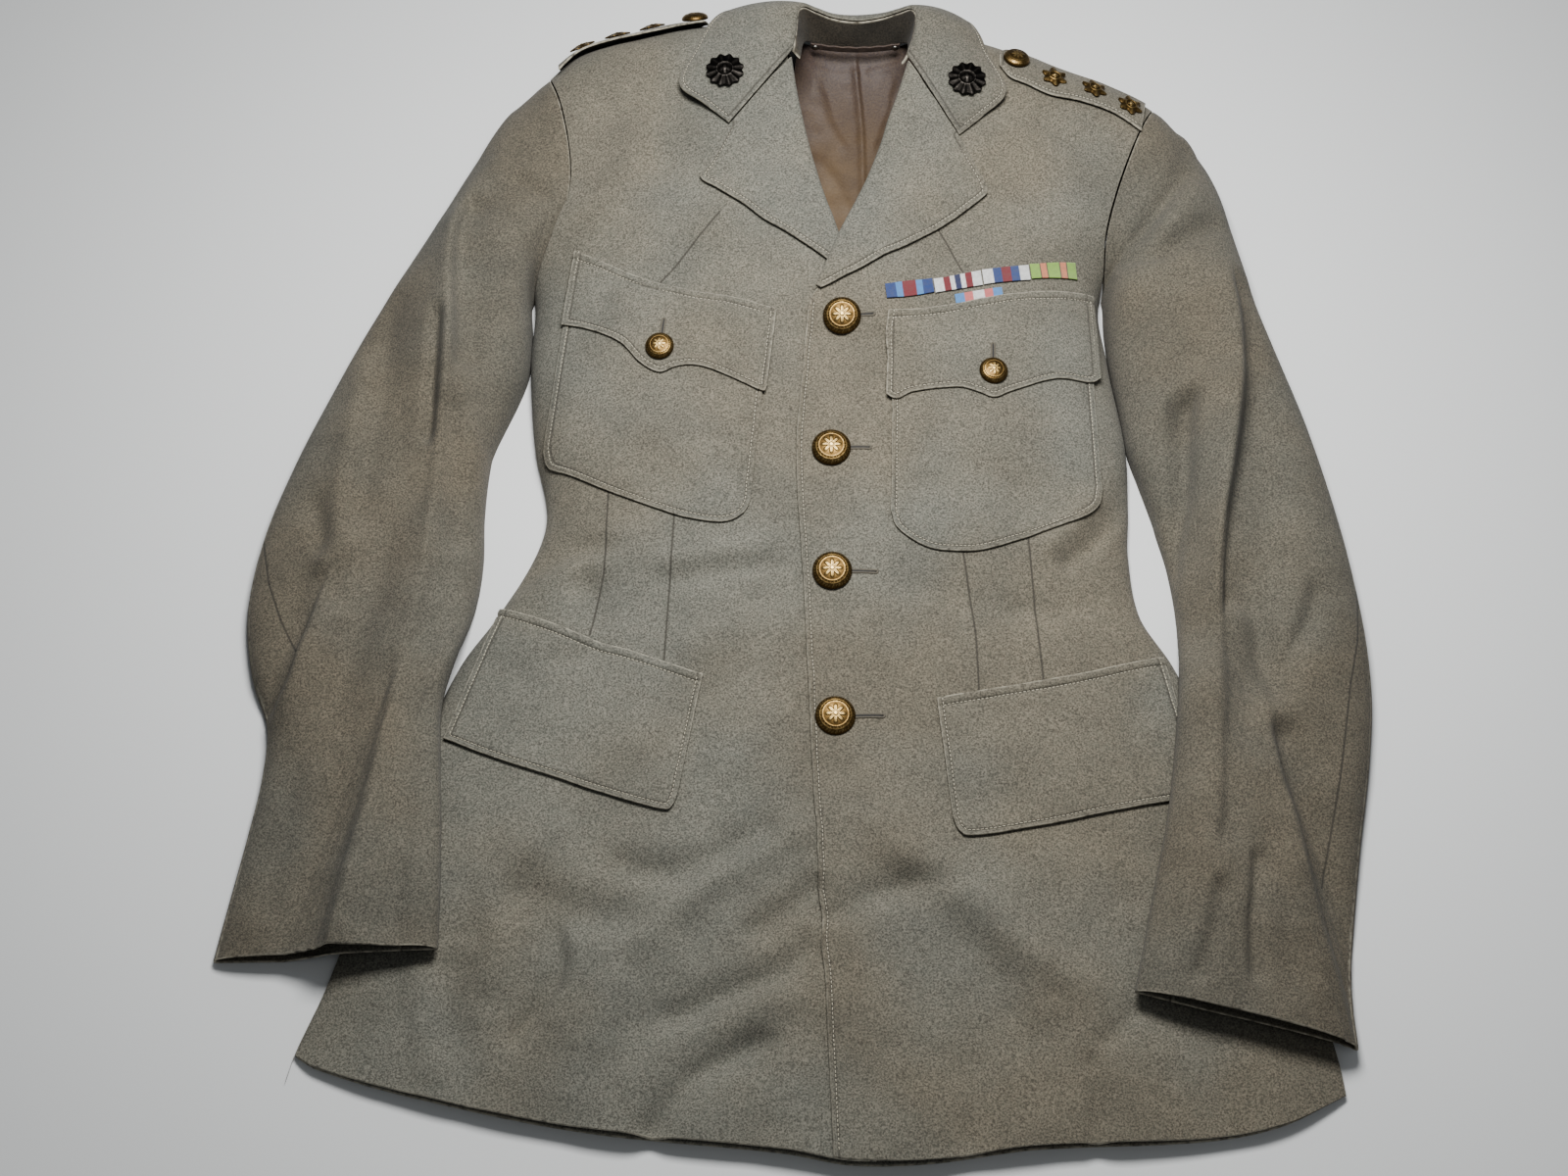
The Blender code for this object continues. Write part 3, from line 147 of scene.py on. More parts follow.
# Sleeves: a rung of the flattened tube from its inner to its outer edge, the height of
# its crown, how far it follows the shape of the body, and how far it rides on the skirt
Rung = namedtuple("Rung", "inner_x inner_y outer_x outer_y crown bow shaped ride")
SLEEVE_RIGHT = table(
    Rung,
    (-17.45, 23.4, -16.9, 41.2, 5.0, 1.0, 1.0, 0.0), (-17.95, 22.5, -18.7, 39.6, 5.0, 0.8, 0.55, 0.0),
    (-18.15, 21.5, -20.4, 37.2, 4.8, 0.55, 0.2, 0.0), (-18.25, 20.2, -22.5, 33.0, 4.4, 0.3, 0.0, 0.0),
    (-18.35, 17.4, -24.8, 28.0, 4.0, 0.1, 0.0, 0.0), (-18.9, 14.0, -27.8, 22.2, 3.7, 0.0, 0.0, 0.0),
    (-19.6, 10.3, -30.4, 16.0, 3.4, 0.0, 0.0, 0.0), (-19.8, 6.5, -32.6, 10.2, 3.2, 0.0, 0.0, 0.0),
    (-19.7, 3.0, -34.2, 4.6, 3.0, 0.0, 0.0, 0.0), (-20.0, -0.5, -34.8, -0.8, 2.9, 0.0, 0.0, 0.4),
    (-20.8, -4.6, -34.1, -5.4, 2.7, 0.0, 0.0, 1.0), (-21.5, -8.0, -32.8, -9.0, 2.5, 0.0, 0.0, 1.0),
    (-21.4, -11.6, -32.8, -12.4, 2.3, 0.0, 0.0, 1.0), (-21.1, -15.6, -33.3, -16.0, 2.1, 0.0, 0.0, 1.0),
    (-20.9, -20.0, -34.0, -20.2, 1.9, 0.0, 0.0, 1.0), (-20.8, -24.2, -34.7, -24.4, 1.7, 0.0, 0.0, 1.0),
)
SLEEVE_LEFT = table(
    Rung,
    (22.05, 23.4, 26.5, 38.75, 5.0, 1.0, 1.0, 0.0), (22.2, 22.4, 28.4, 36.9, 4.9, 0.8, 0.55, 0.0),
    (22.3, 21.2, 29.8, 34.2, 4.7, 0.55, 0.2, 0.0), (22.45, 19.6, 30.8, 31.0, 4.4, 0.3, 0.0, 0.0),
    (22.7, 17.4, 31.6, 27.0, 4.1, 0.1, 0.0, 0.0), (23.1, 15.0, 32.6, 22.4, 3.9, 0.0, 0.0, 0.0),
    (23.4, 12.0, 33.9, 17.6, 3.7, 0.0, 0.0, 0.0), (23.9, 8.8, 35.2, 12.8, 3.5, 0.0, 0.0, 0.0),
    (24.4, 5.6, 36.2, 8.0, 3.3, 0.0, 0.0, 0.0), (25.1, 2.2, 37.0, 3.0, 3.2, 0.0, 0.0, 0.0),
    (25.4, -1.8, 37.5, -2.4, 3.1, 0.0, 0.0, 0.4), (25.0, -6.0, 37.5, -7.0, 2.9, 0.0, 0.0, 1.0),
    (24.4, -10.8, 36.8, -12.0, 2.7, 0.0, 0.0, 1.0), (23.6, -15.6, 35.8, -16.9, 2.4, 0.0, 0.0, 1.0),
    (22.5, -20.2, 34.9, -21.9, 2.1, 0.0, 0.0, 1.0), (21.7, -23.6, 34.3, -26.0, 1.9, 0.0, 0.0, 1.0),
    (20.9, -26.9, 34.2, -30.1, 1.7, 0.0, 0.0, 1.0),
)
RIDE_CLEARANCE = 0.5
BRIDGE_REACH = [-1.6, -0.8, 0.0, 0.8, 1.6]
BRIDGE_BLUR = [-1.2, -0.6, 0.0, 0.6, 1.2]
ARMHOLE_GAP = 0.045
SLEEVE_ROUNDNESS = 0.75
INNER_SEAM_ANGLE = -45.0
HIND_SEAM_ANGLE = 165.0
HIND_GAP_ANGLE = 1.5
INNER_GAP_ANGLE = 1.2

# The largest folds of the sleeves, as ridges (+) and troughs (-)
SLEEVE_RIGHT_FOLDS = table(
    Fold,
    (-22.5, 30.0, -22.8, 18.0, 0.9, 2.6, 1.4), (-22.8, 18.5, -19.9, 8.5, 0.8, 2.0, 0.9),
    (-26.6, 22.0, -25.4, 8.5, -0.55, 1.6, 1.6), (-22.3, 8.5, -23.8, -2.5, 0.8, 1.5, 1.6),
    (-23.8, -1.5, -27.2, -24.6, 0.8, 1.8, 1.8), (-25.8, 4.5, -28.4, -8.0, -0.7, 1.2, 1.5),
    (-28.9, 4.2, -32.1, -9.5, 0.9, 0.8, 1.9), (-22.6, -9.0, -23.4, -25.0, -0.4, 1.0, 1.0),
)
SLEEVE_LEFT_FOLDS = table(
    Fold,
    (30.9, 26.0, 30.3, 14.0, 0.8, 2.2, 1.2), (30.3, 15.0, 28.2, 3.5, 0.85, 1.8, 1.2),
    (26.6, 16.0, 26.0, 5.0, -0.45, 1.3, 1.4), (28.2, 4.5, 27.2, -8.5, 0.85, 1.6, 1.5),
    (27.2, -7.5, 24.4, -26.5, 0.6, 1.8, 1.8), (32.4, 11.0, 30.2, -6.5, -0.8, 1.3, 1.4),
    (30.2, -8.5, 33.4, -27.5, 0.75, 1.7, 0.8),
)

# Pieces that lie on the fronts: a rung from the top edge to the bottom edge
Strip = namedtuple("Strip", "top_x top_y end_x end_y")
BREAST_POCKET_RIGHT = table(
    Strip,
    (-14.4, 23.6, -15.9, 10.6), (-14.1, 23.4, -15.5, 9.3), (-13.2, 23.0, -14.1, 8.4),
    (-10.6, 21.9, -11.2, 6.7), (-7.0, 20.4, -7.0, 4.8), (-3.6, 19.3, -4.3, 4.2), (-2.0, 18.9, -2.9, 4.6),
    (-1.2, 18.7, -2.25, 5.5), (-0.9, 18.6, -2.1, 7.0),
)
BREAST_POCKET_LEFT = table(
    Strip,
    (7.3, 17.6, 6.9, 4.9), (7.6, 17.7, 7.4, 3.7), (8.6, 17.9, 9.0, 2.6), (10.6, 18.3, 10.6, 2.2),
    (12.8, 18.8, 12.8, 2.3), (16.4, 19.5, 16.3, 3.5), (19.0, 20.0, 19.0, 4.7), (20.2, 20.2, 20.4, 5.9),
    (20.6, 20.3, 20.8, 7.2),
)
BREAST_FLAP_RIGHT = table(
    Strip,
    (-14.2, 25.2, -14.9, 19.6), (-12.9, 24.4, -13.3, 18.9), (-10.9, 23.1, -10.9, 17.5),
    (-9.6, 22.4, -9.6, 15.9), (-8.4, 21.9, -8.3, 15.1), (-7.2, 21.5, -7.1, 15.5),
    (-5.7, 21.1, -5.7, 15.5), (-3.6, 20.6, -3.7, 14.7), (-1.6, 20.0, -1.5, 13.5),
    (-0.5, 19.7, -1.1, 13.8),
)
BREAST_FLAP_LEFT = table(
    Strip,
    (7.0, 19.4, 6.8, 13.2), (7.9, 19.5, 7.5, 12.9), (9.0, 19.7, 8.7, 13.5), (11.4, 20.2, 11.4, 13.9),
    (12.8, 20.6, 12.8, 13.6), (14.0, 20.9, 13.9, 13.2), (15.2, 21.2, 15.1, 13.8),
    (18.0, 21.9, 18.0, 15.0), (20.2, 22.4, 20.3, 15.2), (21.0, 22.6, 21.1, 15.8),
)
HIP_FLAP_RIGHT = table(
    Strip,
    (-18.2, -0.9, -21.4, -10.1), (-15.4, -2.2, -18.0, -11.7), (-11.8, -3.9, -12.6, -13.6),
    (-8.4, -5.1, -9.4, -14.7), (-6.4, -5.8, -7.4, -15.2), (-5.5, -6.1, -6.9, -14.9),
    (-5.1, -6.2, -6.6, -14.1),
)
HIP_FLAP_LEFT = table(
    Strip,
    (9.6, -7.9, 10.4, -15.7), (10.1, -7.8, 10.8, -16.6), (10.9, -7.6, 11.7, -16.9),
    (15.0, -6.9, 15.6, -16.3), (19.4, -5.9, 20.4, -15.2), (24.2, -4.4, 26.2, -14.0),
)
# Lapels: a rung from the roll line to the outer edge
LAPEL_RIGHT = table(
    Strip,
    (0.55, 40.1, -3.8, 34.3), (0.95, 36.9, -4.9, 31.8), (1.3, 34.9, -5.75, 30.2), (1.7, 33.0, -4.6, 29.2),
    (2.3, 30.6, -2.8, 27.9), (2.9, 28.4, -1.2, 26.6), (3.4, 26.9, 0.6, 25.4), (3.9, 25.3, 2.0, 24.4),
    (4.4, 23.9, 3.2, 23.4),
)
LAPEL_LEFT = table(
    Strip,
    (8.7, 39.65, 12.1, 33.3), (7.8, 36.6, 13.1, 31.2), (7.2, 34.8, 13.9, 29.4), (6.7, 33.0, 13.5, 28.6),
    (6.1, 31.2, 12.2, 27.4), (5.3, 29.0, 10.7, 26.2), (4.6, 27.2, 8.8, 24.9), (3.9, 25.6, 7.3, 23.9),
    (3.0, 23.5, 4.9, 22.4), (2.1, 21.4, 2.5, 21.1),
)
# Shoulder straps: a rung from the front edge to the rear edge
STRAP_LEFT = table(
    Strip,
    (15.1, 39.4, 15.2, 41.0), (15.8, 38.4, 16.0, 41.7), (16.9, 37.9, 17.3, 41.4),
    (18.6, 37.1, 19.1, 40.6), (21.0, 36.7, 21.5, 39.8), (23.2, 36.0, 23.6, 39.1),
    (24.9, 35.0, 25.6, 38.3),
)
STRAP_RIGHT = table(
    Strip,
    (-5.6, 43.3, -5.4, 44.6), (-6.6, 43.1, -6.4, 45.1), (-8.6, 42.7, -8.5, 44.8),
    (-10.6, 42.4, -10.5, 44.5), (-12.4, 42.1, -12.4, 44.0), (-14.2, 41.4, -14.3, 43.2),
    (-15.6, 39.6, -16.0, 41.9),
)

CURL_LEFT = 0.15
CURL_RIGHT = 0.45

# Collar: a rung gives the fold along its top, the outer edge of the fall and the neck seam
Collar = namedtuple("Collar", "x y z fall_x fall_y fall_z seam_x seam_y seam_z")
COLLAR = table(
    Collar,
    (0.55, 40.3, 6.50, -3.8, 34.45, 6.00, 1.00, 40.0, 5.9),
    (0.60, 41.0, 6.70, -5.6, 36.0, 6.15, 1.05, 40.8, 5.6),
    (0.65, 41.7, 6.90, -7.3, 37.6, 6.20, 1.10, 41.6, 5.2),
    (0.70, 42.7, 7.05, -6.4, 40.6, 6.20, 1.20, 42.4, 4.6),
    (0.80, 43.6, 7.20, -5.2, 43.3, 6.00, 1.40, 43.1, 4.0),
    (1.30, 44.3, 6.80, -3.6, 45.4, 4.60, 1.80, 43.6, 3.4),
    (2.30, 44.6, 5.90, -0.8, 46.7, 2.40, 2.60, 43.9, 2.8),
    (3.60, 44.7, 5.10, 2.2, 47.2, 1.00, 3.80, 44.0, 2.4),
    (5.20, 44.7, 4.80, 5.2, 47.4, 0.60, 5.20, 44.05, 2.3),
    (6.80, 44.7, 5.10, 8.2, 47.2, 1.00, 6.60, 44.0, 2.4),
    (8.10, 44.5, 5.90, 11.1, 46.3, 2.40, 7.80, 43.8, 2.8),
    (9.10, 44.1, 6.80, 13.2, 44.6, 4.40, 8.60, 43.5, 3.4),
    (9.55, 43.3, 7.20, 13.9, 42.3, 5.80, 9.00, 42.9, 4.0),
    (9.50, 42.3, 7.05, 14.4, 40.3, 6.15, 9.00, 42.0, 4.6),
    (9.30, 41.3, 6.90, 15.5, 37.0, 6.15, 8.90, 41.0, 5.2),
    (9.00, 40.5, 6.70, 13.9, 35.1, 6.05, 8.70, 40.2, 5.6),
    (8.70, 39.8, 6.50, 12.1, 33.45, 5.95, 8.40, 39.5, 5.9),
)
FALL_BULGE = 0.35
COLLAR_STEP = 0.01
NECK_CENTRE = Point(5.1, 41.5)

# Lining of the back: across it at each height of the neck
LiningRow = namedtuple("LiningRow", "y low_x high_x z rim")
BACK_LINING = table(
    LiningRow,
    (24.5, -1.0, 9.0, 0.32, 0.0), (30.0, -1.5, 11.0, 0.32, 0.0), (35.0, -1.0, 10.8, 0.36, 0.1),
    (38.5, 0.0, 10.0, 0.50, 0.5), (41.0, 0.6, 9.6, 0.85, 1.0), (42.8, 0.9, 9.4, 1.40, 1.2),
    (43.8, 1.3, 9.1, 2.10, 0.8),
)
LOOP_START = Vector((1.9, 43.2, 3.1))
LOOP_END = Vector((8.3, 43.15, 3.1))
LOOP_HEIGHT = 0.55
LOOP_SAG = 0.25
LOOP_DROOP = 0.6
STUD_RADIUS = 0.24
STUD_HEIGHT = 0.14
STUD_INSET = 0.34

# Metal: places in plan and sizes
BUTTON_SPOTS = table(
    Point,
    (3.9, 19.2), (3.1, 9.4), (3.1, 0.75), (3.2, -9.1),
)
POCKET_BUTTON_RIGHT = Point(-8.25, 16.9)
POCKET_BUTTON_LEFT = Point(13.85, 15.1)
STRAP_BUTTON_LEFT = Point(16.3, 40.0)
STRAP_BUTTON_RIGHT = Point(-6.3, 43.9)
PIPS_LEFT = table(
    Point,
    (18.9, 38.6), (21.7, 38.0), (24.2, 37.0),
)
PIPS_RIGHT = table(
    Point,
    (-9.3, 43.8), (-11.8, 43.3), (-14.2, 42.3),
)
BUTTON_RADIUS = 1.27
BUTTON_HEIGHT = 0.62
SMALL_BUTTON_RADIUS = 0.95
SMALL_BUTTON_HEIGHT = 0.5
Rosette = namedtuple("Rosette", "radius height rays notch")
PIP_SIZE = Rosette(0.95, 0.28, 6, 0.72)
PIP_LIFT_LEFT = 0.12
PIP_LIFT_RIGHT = 0.3
STRAP_BUTTON_LIFT_LEFT = 0.1
STRAP_BUTTON_LIFT_RIGHT = 0.37
BADGE_SPOT_RIGHT = Point(-4.1, 38.3)
BADGE_SPOT_LEFT = Point(12.7, 37.6)
BADGE_SIZE = Rosette(1.35, 0.32, 12, 0.88)
BADGE_LIFT = 1.0
SEAT_STEP = 0.6

# Medal ribbons: the lower left corner of each and the direction of the bar
Ribbon = namedtuple("Ribbon", "name x y")
RIBBONS = table(
    Ribbon,
    ("ribbon_1", 6.9, 20.4), ("ribbon_2", 10.2, 21.1), ("ribbon_3", 13.5, 21.9),
    ("ribbon_4", 16.8, 22.75), ("ribbon_5", 11.6, 19.95),
)
RIBBON_LENGTH = 3.22
RIBBON_WIDTH = 1.1
RIBBON_SLOPE = 0.235
RIBBON_WALL = 0.1

# Folds too small for the solids, drawn from low Y to high Y where they can be: height,
# reach to the left and right of the line, length of the fade at both ends, and the line
Crease = namedtuple("Crease", "height left right fade line")


def creases(*rows):
    return [Crease(*row[:4], list(row[4:])) for row in rows]


BODY_CREASES = creases(
    (-0.46, 0.9, 0.8, 2.0, (-18.0, 0.6), (-15.3, 2.2), (-13.5, 2.9), (-11.0, 2.6)),
    (0.41, 0.8, 0.9, 2.0, (-18.0, -0.9), (-15.5, 0.4), (-13.2, 1.5), (-10.5, 1.9)),
    (-0.51, 1.1, 1.0, 1.5, (-12.0, -3.0), (-12.4, -0.8), (-13.2, 1.2)),
    (0.27, 0.8, 0.8, 2.0, (-8.5, 1.5), (-5.5, 2.0), (-1.0, 2.8)),
    (-0.35, 0.8, 0.7, 2.0, (-8.0, 0.3), (-4.0, 0.9), (0.0, 1.5)),
    (0.24, 0.8, 0.8, 1.5, (-3.8, -13.4), (-0.6, -9.3), (1.8, -6.0)),
    (-0.30, 1.2, 1.2, 2.0, (-19.0, -6.3), (-15.0, -5.4), (-11.0, -4.4)),
    (-0.54, 0.9, 1.0, 1.5, (-10.5, -18.2), (-8.5, -19.0), (-6.4, -19.0), (-3.4, -17.8), (-0.5, -16.0)),
    (0.51, 1.1, 1.0, 2.0, (-9.0, -24.0), (-6.7, -21.7), (-4.7, -19.9), (-0.4, -17.3), (1.4, -16.2)),
    (-0.51, 1.5, 1.3, 2.0, (-17.0, -20.0), (-14.0, -21.3), (-11.7, -22.0), (-8.4, -22.2)),
    (0.46, 1.0, 1.2, 2.0, (-17.9, -26.5), (-17.3, -23.8), (-17.9, -21.0), (-17.1, -18.7),
     (-15.0, -16.8), (-13.5, -15.8)),
    (-0.57, 0.8, 0.35, 1.5, (-16.2, -30.0), (-14.5, -27.6), (-13.4, -25.2), (-13.8, -22.4)),
    (0.27, 0.5, 0.9, 1.5, (-14.2, -28.6), (-12.6, -25.4), (-13.0, -22.6)),
    (-0.68, 1.0, 0.9, 2.0, (-7.2, -28.6), (-5.6, -27.8), (-3.1, -26.5), (0.1, -25.2), (2.2, -23.2)),
    (0.35, 1.0, 1.1, 2.0, (-9.5, -33.0), (-7.5, -30.2), (-3.5, -28.4), (0.5, -27.0)),
    (-0.68, 0.8, 0.6, 1.5, (-8.0, -35.5), (-7.4, -34.6), (-6.5, -33.3), (-5.3, -31.8), (-3.0, -30.5),
     (-0.8, -29.4)),
    (-0.54, 0.8, 0.9, 1.2, (-2.5, -23.0), (-0.6, -22.1), (1.6, -20.4), (2.3, -19.7)),
    (-0.38, 1.2, 1.2, 2.0, (-18.4, -33.0), (-19.6, -29.0), (-20.6, -24.5)),
    (0.32, 0.9, 0.9, 2.0, (-20.8, -32.0), (-21.6, -28.5), (-22.2, -24.5)),
    (-0.46, 1.7, 1.7, 3.0, (-12.6, 24.5), (-11.0, 27.4), (-8.9, 31.8), (-7.7, 35.0), (-6.2, 38.0)),
    (0.35, 1.6, 1.5, 3.0, (-14.2, 26.8), (-10.6, 31.4), (-8.5, 35.0)),
    (-0.22, 1.5, 1.2, 2.0, (-8.0, 23.0), (-4.0, 21.6), (0.0, 22.6)),
    (-0.54, 1.0, 1.0, 2.0, (2.2, -22.4), (3.4, -21.7), (5.6, -20.5), (8.5, -19.6), (10.5, -19.9)),
    (0.54, 1.3, 1.2, 2.5, (5.0, -15.6), (6.6, -17.0), (10.0, -20.0), (13.2, -22.6), (16.4, -25.2),
     (18.6, -27.2)),
    (-0.41, 1.5, 1.4, 2.5, (15.3, -30.3), (13.3, -27.0), (10.6, -23.4), (8.5, -20.6), (7.0, -19.0)),
    (-0.30, 0.3, 0.5, 0.6, (16.2, -27.4), (16.0, -25.9), (16.1, -25.0)),
    (-0.35, 0.7, 0.5, 0.8, (18.8, -30.0), (19.7, -29.2), (20.7, -28.3), (21.4, -27.4)),
    (-0.38, 0.35, 0.7, 1.2, (18.1, -36.0), (18.5, -33.5), (18.3, -31.8), (18.0, -30.6)),
    (-0.24, 1.0, 1.0, 2.0, (10.5, -36.5), (11.4, -32.5), (11.0, -29.0)),
    (-0.74, 0.9, 0.6, 1.2, (18.0, 1.5), (20.1, 3.3), (21.8, 5.6), (23.3, 8.5)),
    (0.43, 0.8, 0.8, 1.2, (16.8, 2.6), (19.0, 4.6), (20.8, 7.2)),
    (-0.32, 0.8, 0.8, 1.5, (14.3, -1.4), (16.3, -1.5), (18.5, -1.5), (20.5, -0.8)),
    (-0.32, 1.0, 1.0, 1.5, (1.8, 18.4), (3.4, 17.8), (5.2, 17.3), (6.9, 18.3)),
    (-0.27, 1.2, 1.4, 2.0, (4.0, 12.5), (6.0, 14.6), (7.0, 17.0)),
    (0.27, 1.4, 1.4, 2.5, (18.0, 24.5), (19.6, 28.5), (20.2, 33.0)),
    (-0.22, 1.6, 1.6, 2.5, (13.0, 25.0), (15.0, 29.0), (15.6, 33.5)),
)
SLEEVE_RIGHT_CREASES = creases(
    (-1.03, 0.28, 1.5, 2.0, (-22.0, 15.8), (-22.15, 19.7), (-22.35, 23.6), (-22.2, 27.3), (-21.6, 29.6)),
    (0.41, 0.8, 0.5, 2.0, (-22.6, 14.0), (-22.7, 19.7), (-22.9, 23.6), (-22.8, 28.5)),
    (-0.76, 0.5, 0.4, 1.5, (-23.6, 10.6), (-23.45, 12.8), (-23.4, 18.9), (-23.4, 20.2)),
    (-0.48, 0.7, 0.8, 1.5, (-21.4, 3.0), (-21.6, 8.0), (-22.0, 13.5)),
    (0.30, 0.5, 0.45, 2.0, (-23.2, -0.6), (-23.0, 2.9), (-22.7, 8.3), (-22.7, 14.6)),
    (0.30, 0.5, 0.5, 2.0, (-27.3, -24.6), (-26.2, -18.9), (-25.4, -14.0), (-24.9, -10.3),
     (-24.2, -5.7), (-23.4, -0.7)),
    (-0.33, 1.4, 0.5, 2.5, (-28.2, -24.0), (-27.1, -18.9), (-26.2, -14.0), (-25.6, -10.3), (-24.9, -5.7)),
    (-0.57, 1.1, 1.1, 3.0, (-28.2, 4.4), (-27.8, 6.2), (-27.3, 13.0), (-26.9, 20.1), (-26.6, 22.5)),
    (0.47, 1.0, 1.0, 2.5, (-29.0, 4.6), (-28.8, 9.0), (-28.4, 14.2), (-28.2, 16.5)),
    (-0.47, 0.8, 0.8, 1.8, (-28.6, -1.4), (-29.7, 2.9), (-30.8, 6.4)),
    (-0.39, 0.8, 0.8, 1.6, (-31.0, -3.8), (-29.3, -0.4), (-28.0, 1.8)),
    (-1.03, 1.3, 0.28, 1.6, (-32.8, -8.6), (-31.6, -6.3), (-30.9, -3.4), (-30.0, -0.3), (-29.6, 1.0)),
    (0.36, 0.7, 0.6, 2.0, (-21.7, -10.5), (-21.7, -7.5), (-21.2, -3.6), (-20.9, -0.3), (-20.8, 3.0)),
    (-0.47, 0.5, 0.5, 0.8, (-16.2, 29.1), (-17.6, 30.2), (-18.6, 31.0)),
    (-0.30, 1.0, 0.9, 1.5, (-24.6, 29.5), (-22.4, 32.5), (-20.4, 34.5)),
    (-0.22, 1.0, 1.0, 2.0, (-31.6, -22.0), (-30.8, -16.0), (-30.4, -11.0)),
    (0.20, 0.7, 0.7, 2.0, (-22.6, -22.6), (-22.5, -17.0), (-22.6, -12.0)),
)
SLEEVE_LEFT_CREASES = creases(
    (-0.76, 0.8, 0.8, 1.5, (24.4, 26.1), (25.5, 28.2), (27.0, 30.7), (28.1, 33.7), (28.5, 35.0)),
    (0.39, 0.8, 0.8, 1.2, (25.8, 26.6), (27.5, 28.8), (28.8, 31.2)),
    (-0.69, 0.8, 0.8, 1.5, (23.2, 25.0), (25.9, 24.9), (27.7, 26.3), (29.4, 27.6), (30.2, 28.2)),
    (0.41, 0.7, 0.8, 1.5, (23.2, 26.6), (23.9, 29.0), (24.9, 31.5)),
    (-0.28, 1.0, 1.0, 1.8, (26.6, 17.2), (28.7, 16.6), (30.6, 16.8)),
    (-1.10, 1.1, 0.35, 2.0, (25.4, 1.0), (25.8, 3.9), (26.3, 5.9), (26.8, 9.1), (27.2, 12.9),
     (27.4, 14.0)), (0.41, 1.0, 1.0, 1.5, (24.6, 12.6), (26.2, 14.0), (27.8, 15.0)),
    (-1.03, 0.28, 1.6, 2.0, (28.2, -1.5), (28.5, 1.9), (29.1, 5.5), (29.7, 8.0), (30.3, 10.8),
     (30.9, 14.3), (31.2, 18.2), (31.2, 20.8), (30.9, 23.5)),
    (0.33, 0.8, 0.4, 2.0, (27.7, -1.5), (28.1, 1.9), (28.6, 5.5), (29.8, 10.8), (30.6, 16.0),
     (30.6, 22.0)),
    (-0.47, 0.4, 1.4, 2.0, (26.6, -18.0), (27.0, -16.3), (27.5, -11.0), (28.1, -6.3), (28.4, -0.4)),
    (-0.53, 0.9, 0.8, 2.4, (30.8, -7.2), (30.6, -5.3), (30.3, -2.3), (30.0, -0.6), (29.6, 1.5)),
    (-0.49, 0.6, 0.9, 2.2, (30.8, -8.0), (32.2, -4.7), (33.4, -2.6), (34.4, 0.2)),
    (-1.10, 0.28, 1.6, 1.8, (34.2, -29.2), (33.9, -27.3), (33.1, -23.8), (32.3, -19.3), (31.8, -15.8),
     (31.2, -13.3), (30.7, -9.6)),
    (-0.55, 0.28, 0.8, 1.2, (27.9, -26.5), (28.0, -23.1), (28.4, -20.5), (28.6, -18.6)),
    (-0.47, 0.7, 0.6, 1.2, (24.6, -26.5), (25.6, -23.9), (26.4, -20.5)),
    (-0.25, 1.2, 1.0, 2.0, (30.4, -27.5), (30.2, -22.0), (29.6, -17.0)),
)

# Wrinkles of the lining seen in the neck
LINING_CREASES = creases(
    (0.20, 0.35, 0.18, 2.5, (5.75, 30.5), (5.7, 33.6), (5.6, 38.3), (5.2, 43.0)),
    (-0.16, 0.2, 0.5, 2.5, (6.0, 30.5), (5.95, 33.6), (5.9, 38.3), (5.5, 43.0)),
    (0.12, 0.5, 0.5, 1.5, (2.4, 41.5), (3.0, 38.8), (4.4, 36.0)),
    (-0.10, 0.5, 0.5, 1.5, (3.3, 42.0), (3.9, 39.5), (4.9, 37.0)),
    (0.12, 0.5, 0.4, 1.5, (8.3, 41.5), (7.6, 38.8), (6.8, 35.8)),
    (-0.10, 0.4, 0.5, 1.5, (7.4, 42.0), (7.0, 39.6), (6.3, 36.6)),
    (0.10, 0.4, 0.4, 1.2, (2.0, 35.5), (3.4, 33.8), (4.6, 31.0)),
    (0.08, 0.4, 0.4, 1.2, (6.8, 33.8), (6.4, 31.4), (5.8, 29.2)),
    (0.07, 0.3, 0.3, 0.8, (1.6, 42.6), (4.2, 42.2), (8.6, 42.7)),
)

# How far the sleeve's inner edge leans to the body's side below the armhole, by height
SideReach = namedtuple("SideReach", "y reach")
UNDERARM_RIGHT = table(
    SideReach,
    (10.0, 0.0), (11.0, 0.0), (13.0, 0.3), (15.0, 0.7), (17.0, 1.0), (19.0, 1.06), (21.0, 0.95),
    (23.0, 0.34), (24.0, 0.0), (25.0, 0.0),
)
UNDERARM_LEFT = table(
    SideReach,
    (5.0, 0.0), (6.0, 0.0), (9.0, 0.34), (11.0, 0.55), (13.0, 0.54), (15.0, 0.58), (17.0, 0.52),
    (19.0, 0.46), (21.0, 0.36), (23.0, 0.14), (24.0, 0.0), (25.0, 0.0),
)

Sleeve = namedtuple("Sleeve", "side rungs armhole folds creases close outward")
SLEEVES = table(
    Sleeve,
    ("right", SLEEVE_RIGHT, ARMHOLE_RIGHT, SLEEVE_RIGHT_FOLDS, SLEEVE_RIGHT_CREASES, UNDERARM_RIGHT, -1.0),
    ("left", SLEEVE_LEFT, ARMHOLE_LEFT, SLEEVE_LEFT_FOLDS, SLEEVE_LEFT_CREASES, UNDERARM_LEFT, 1.0),
)

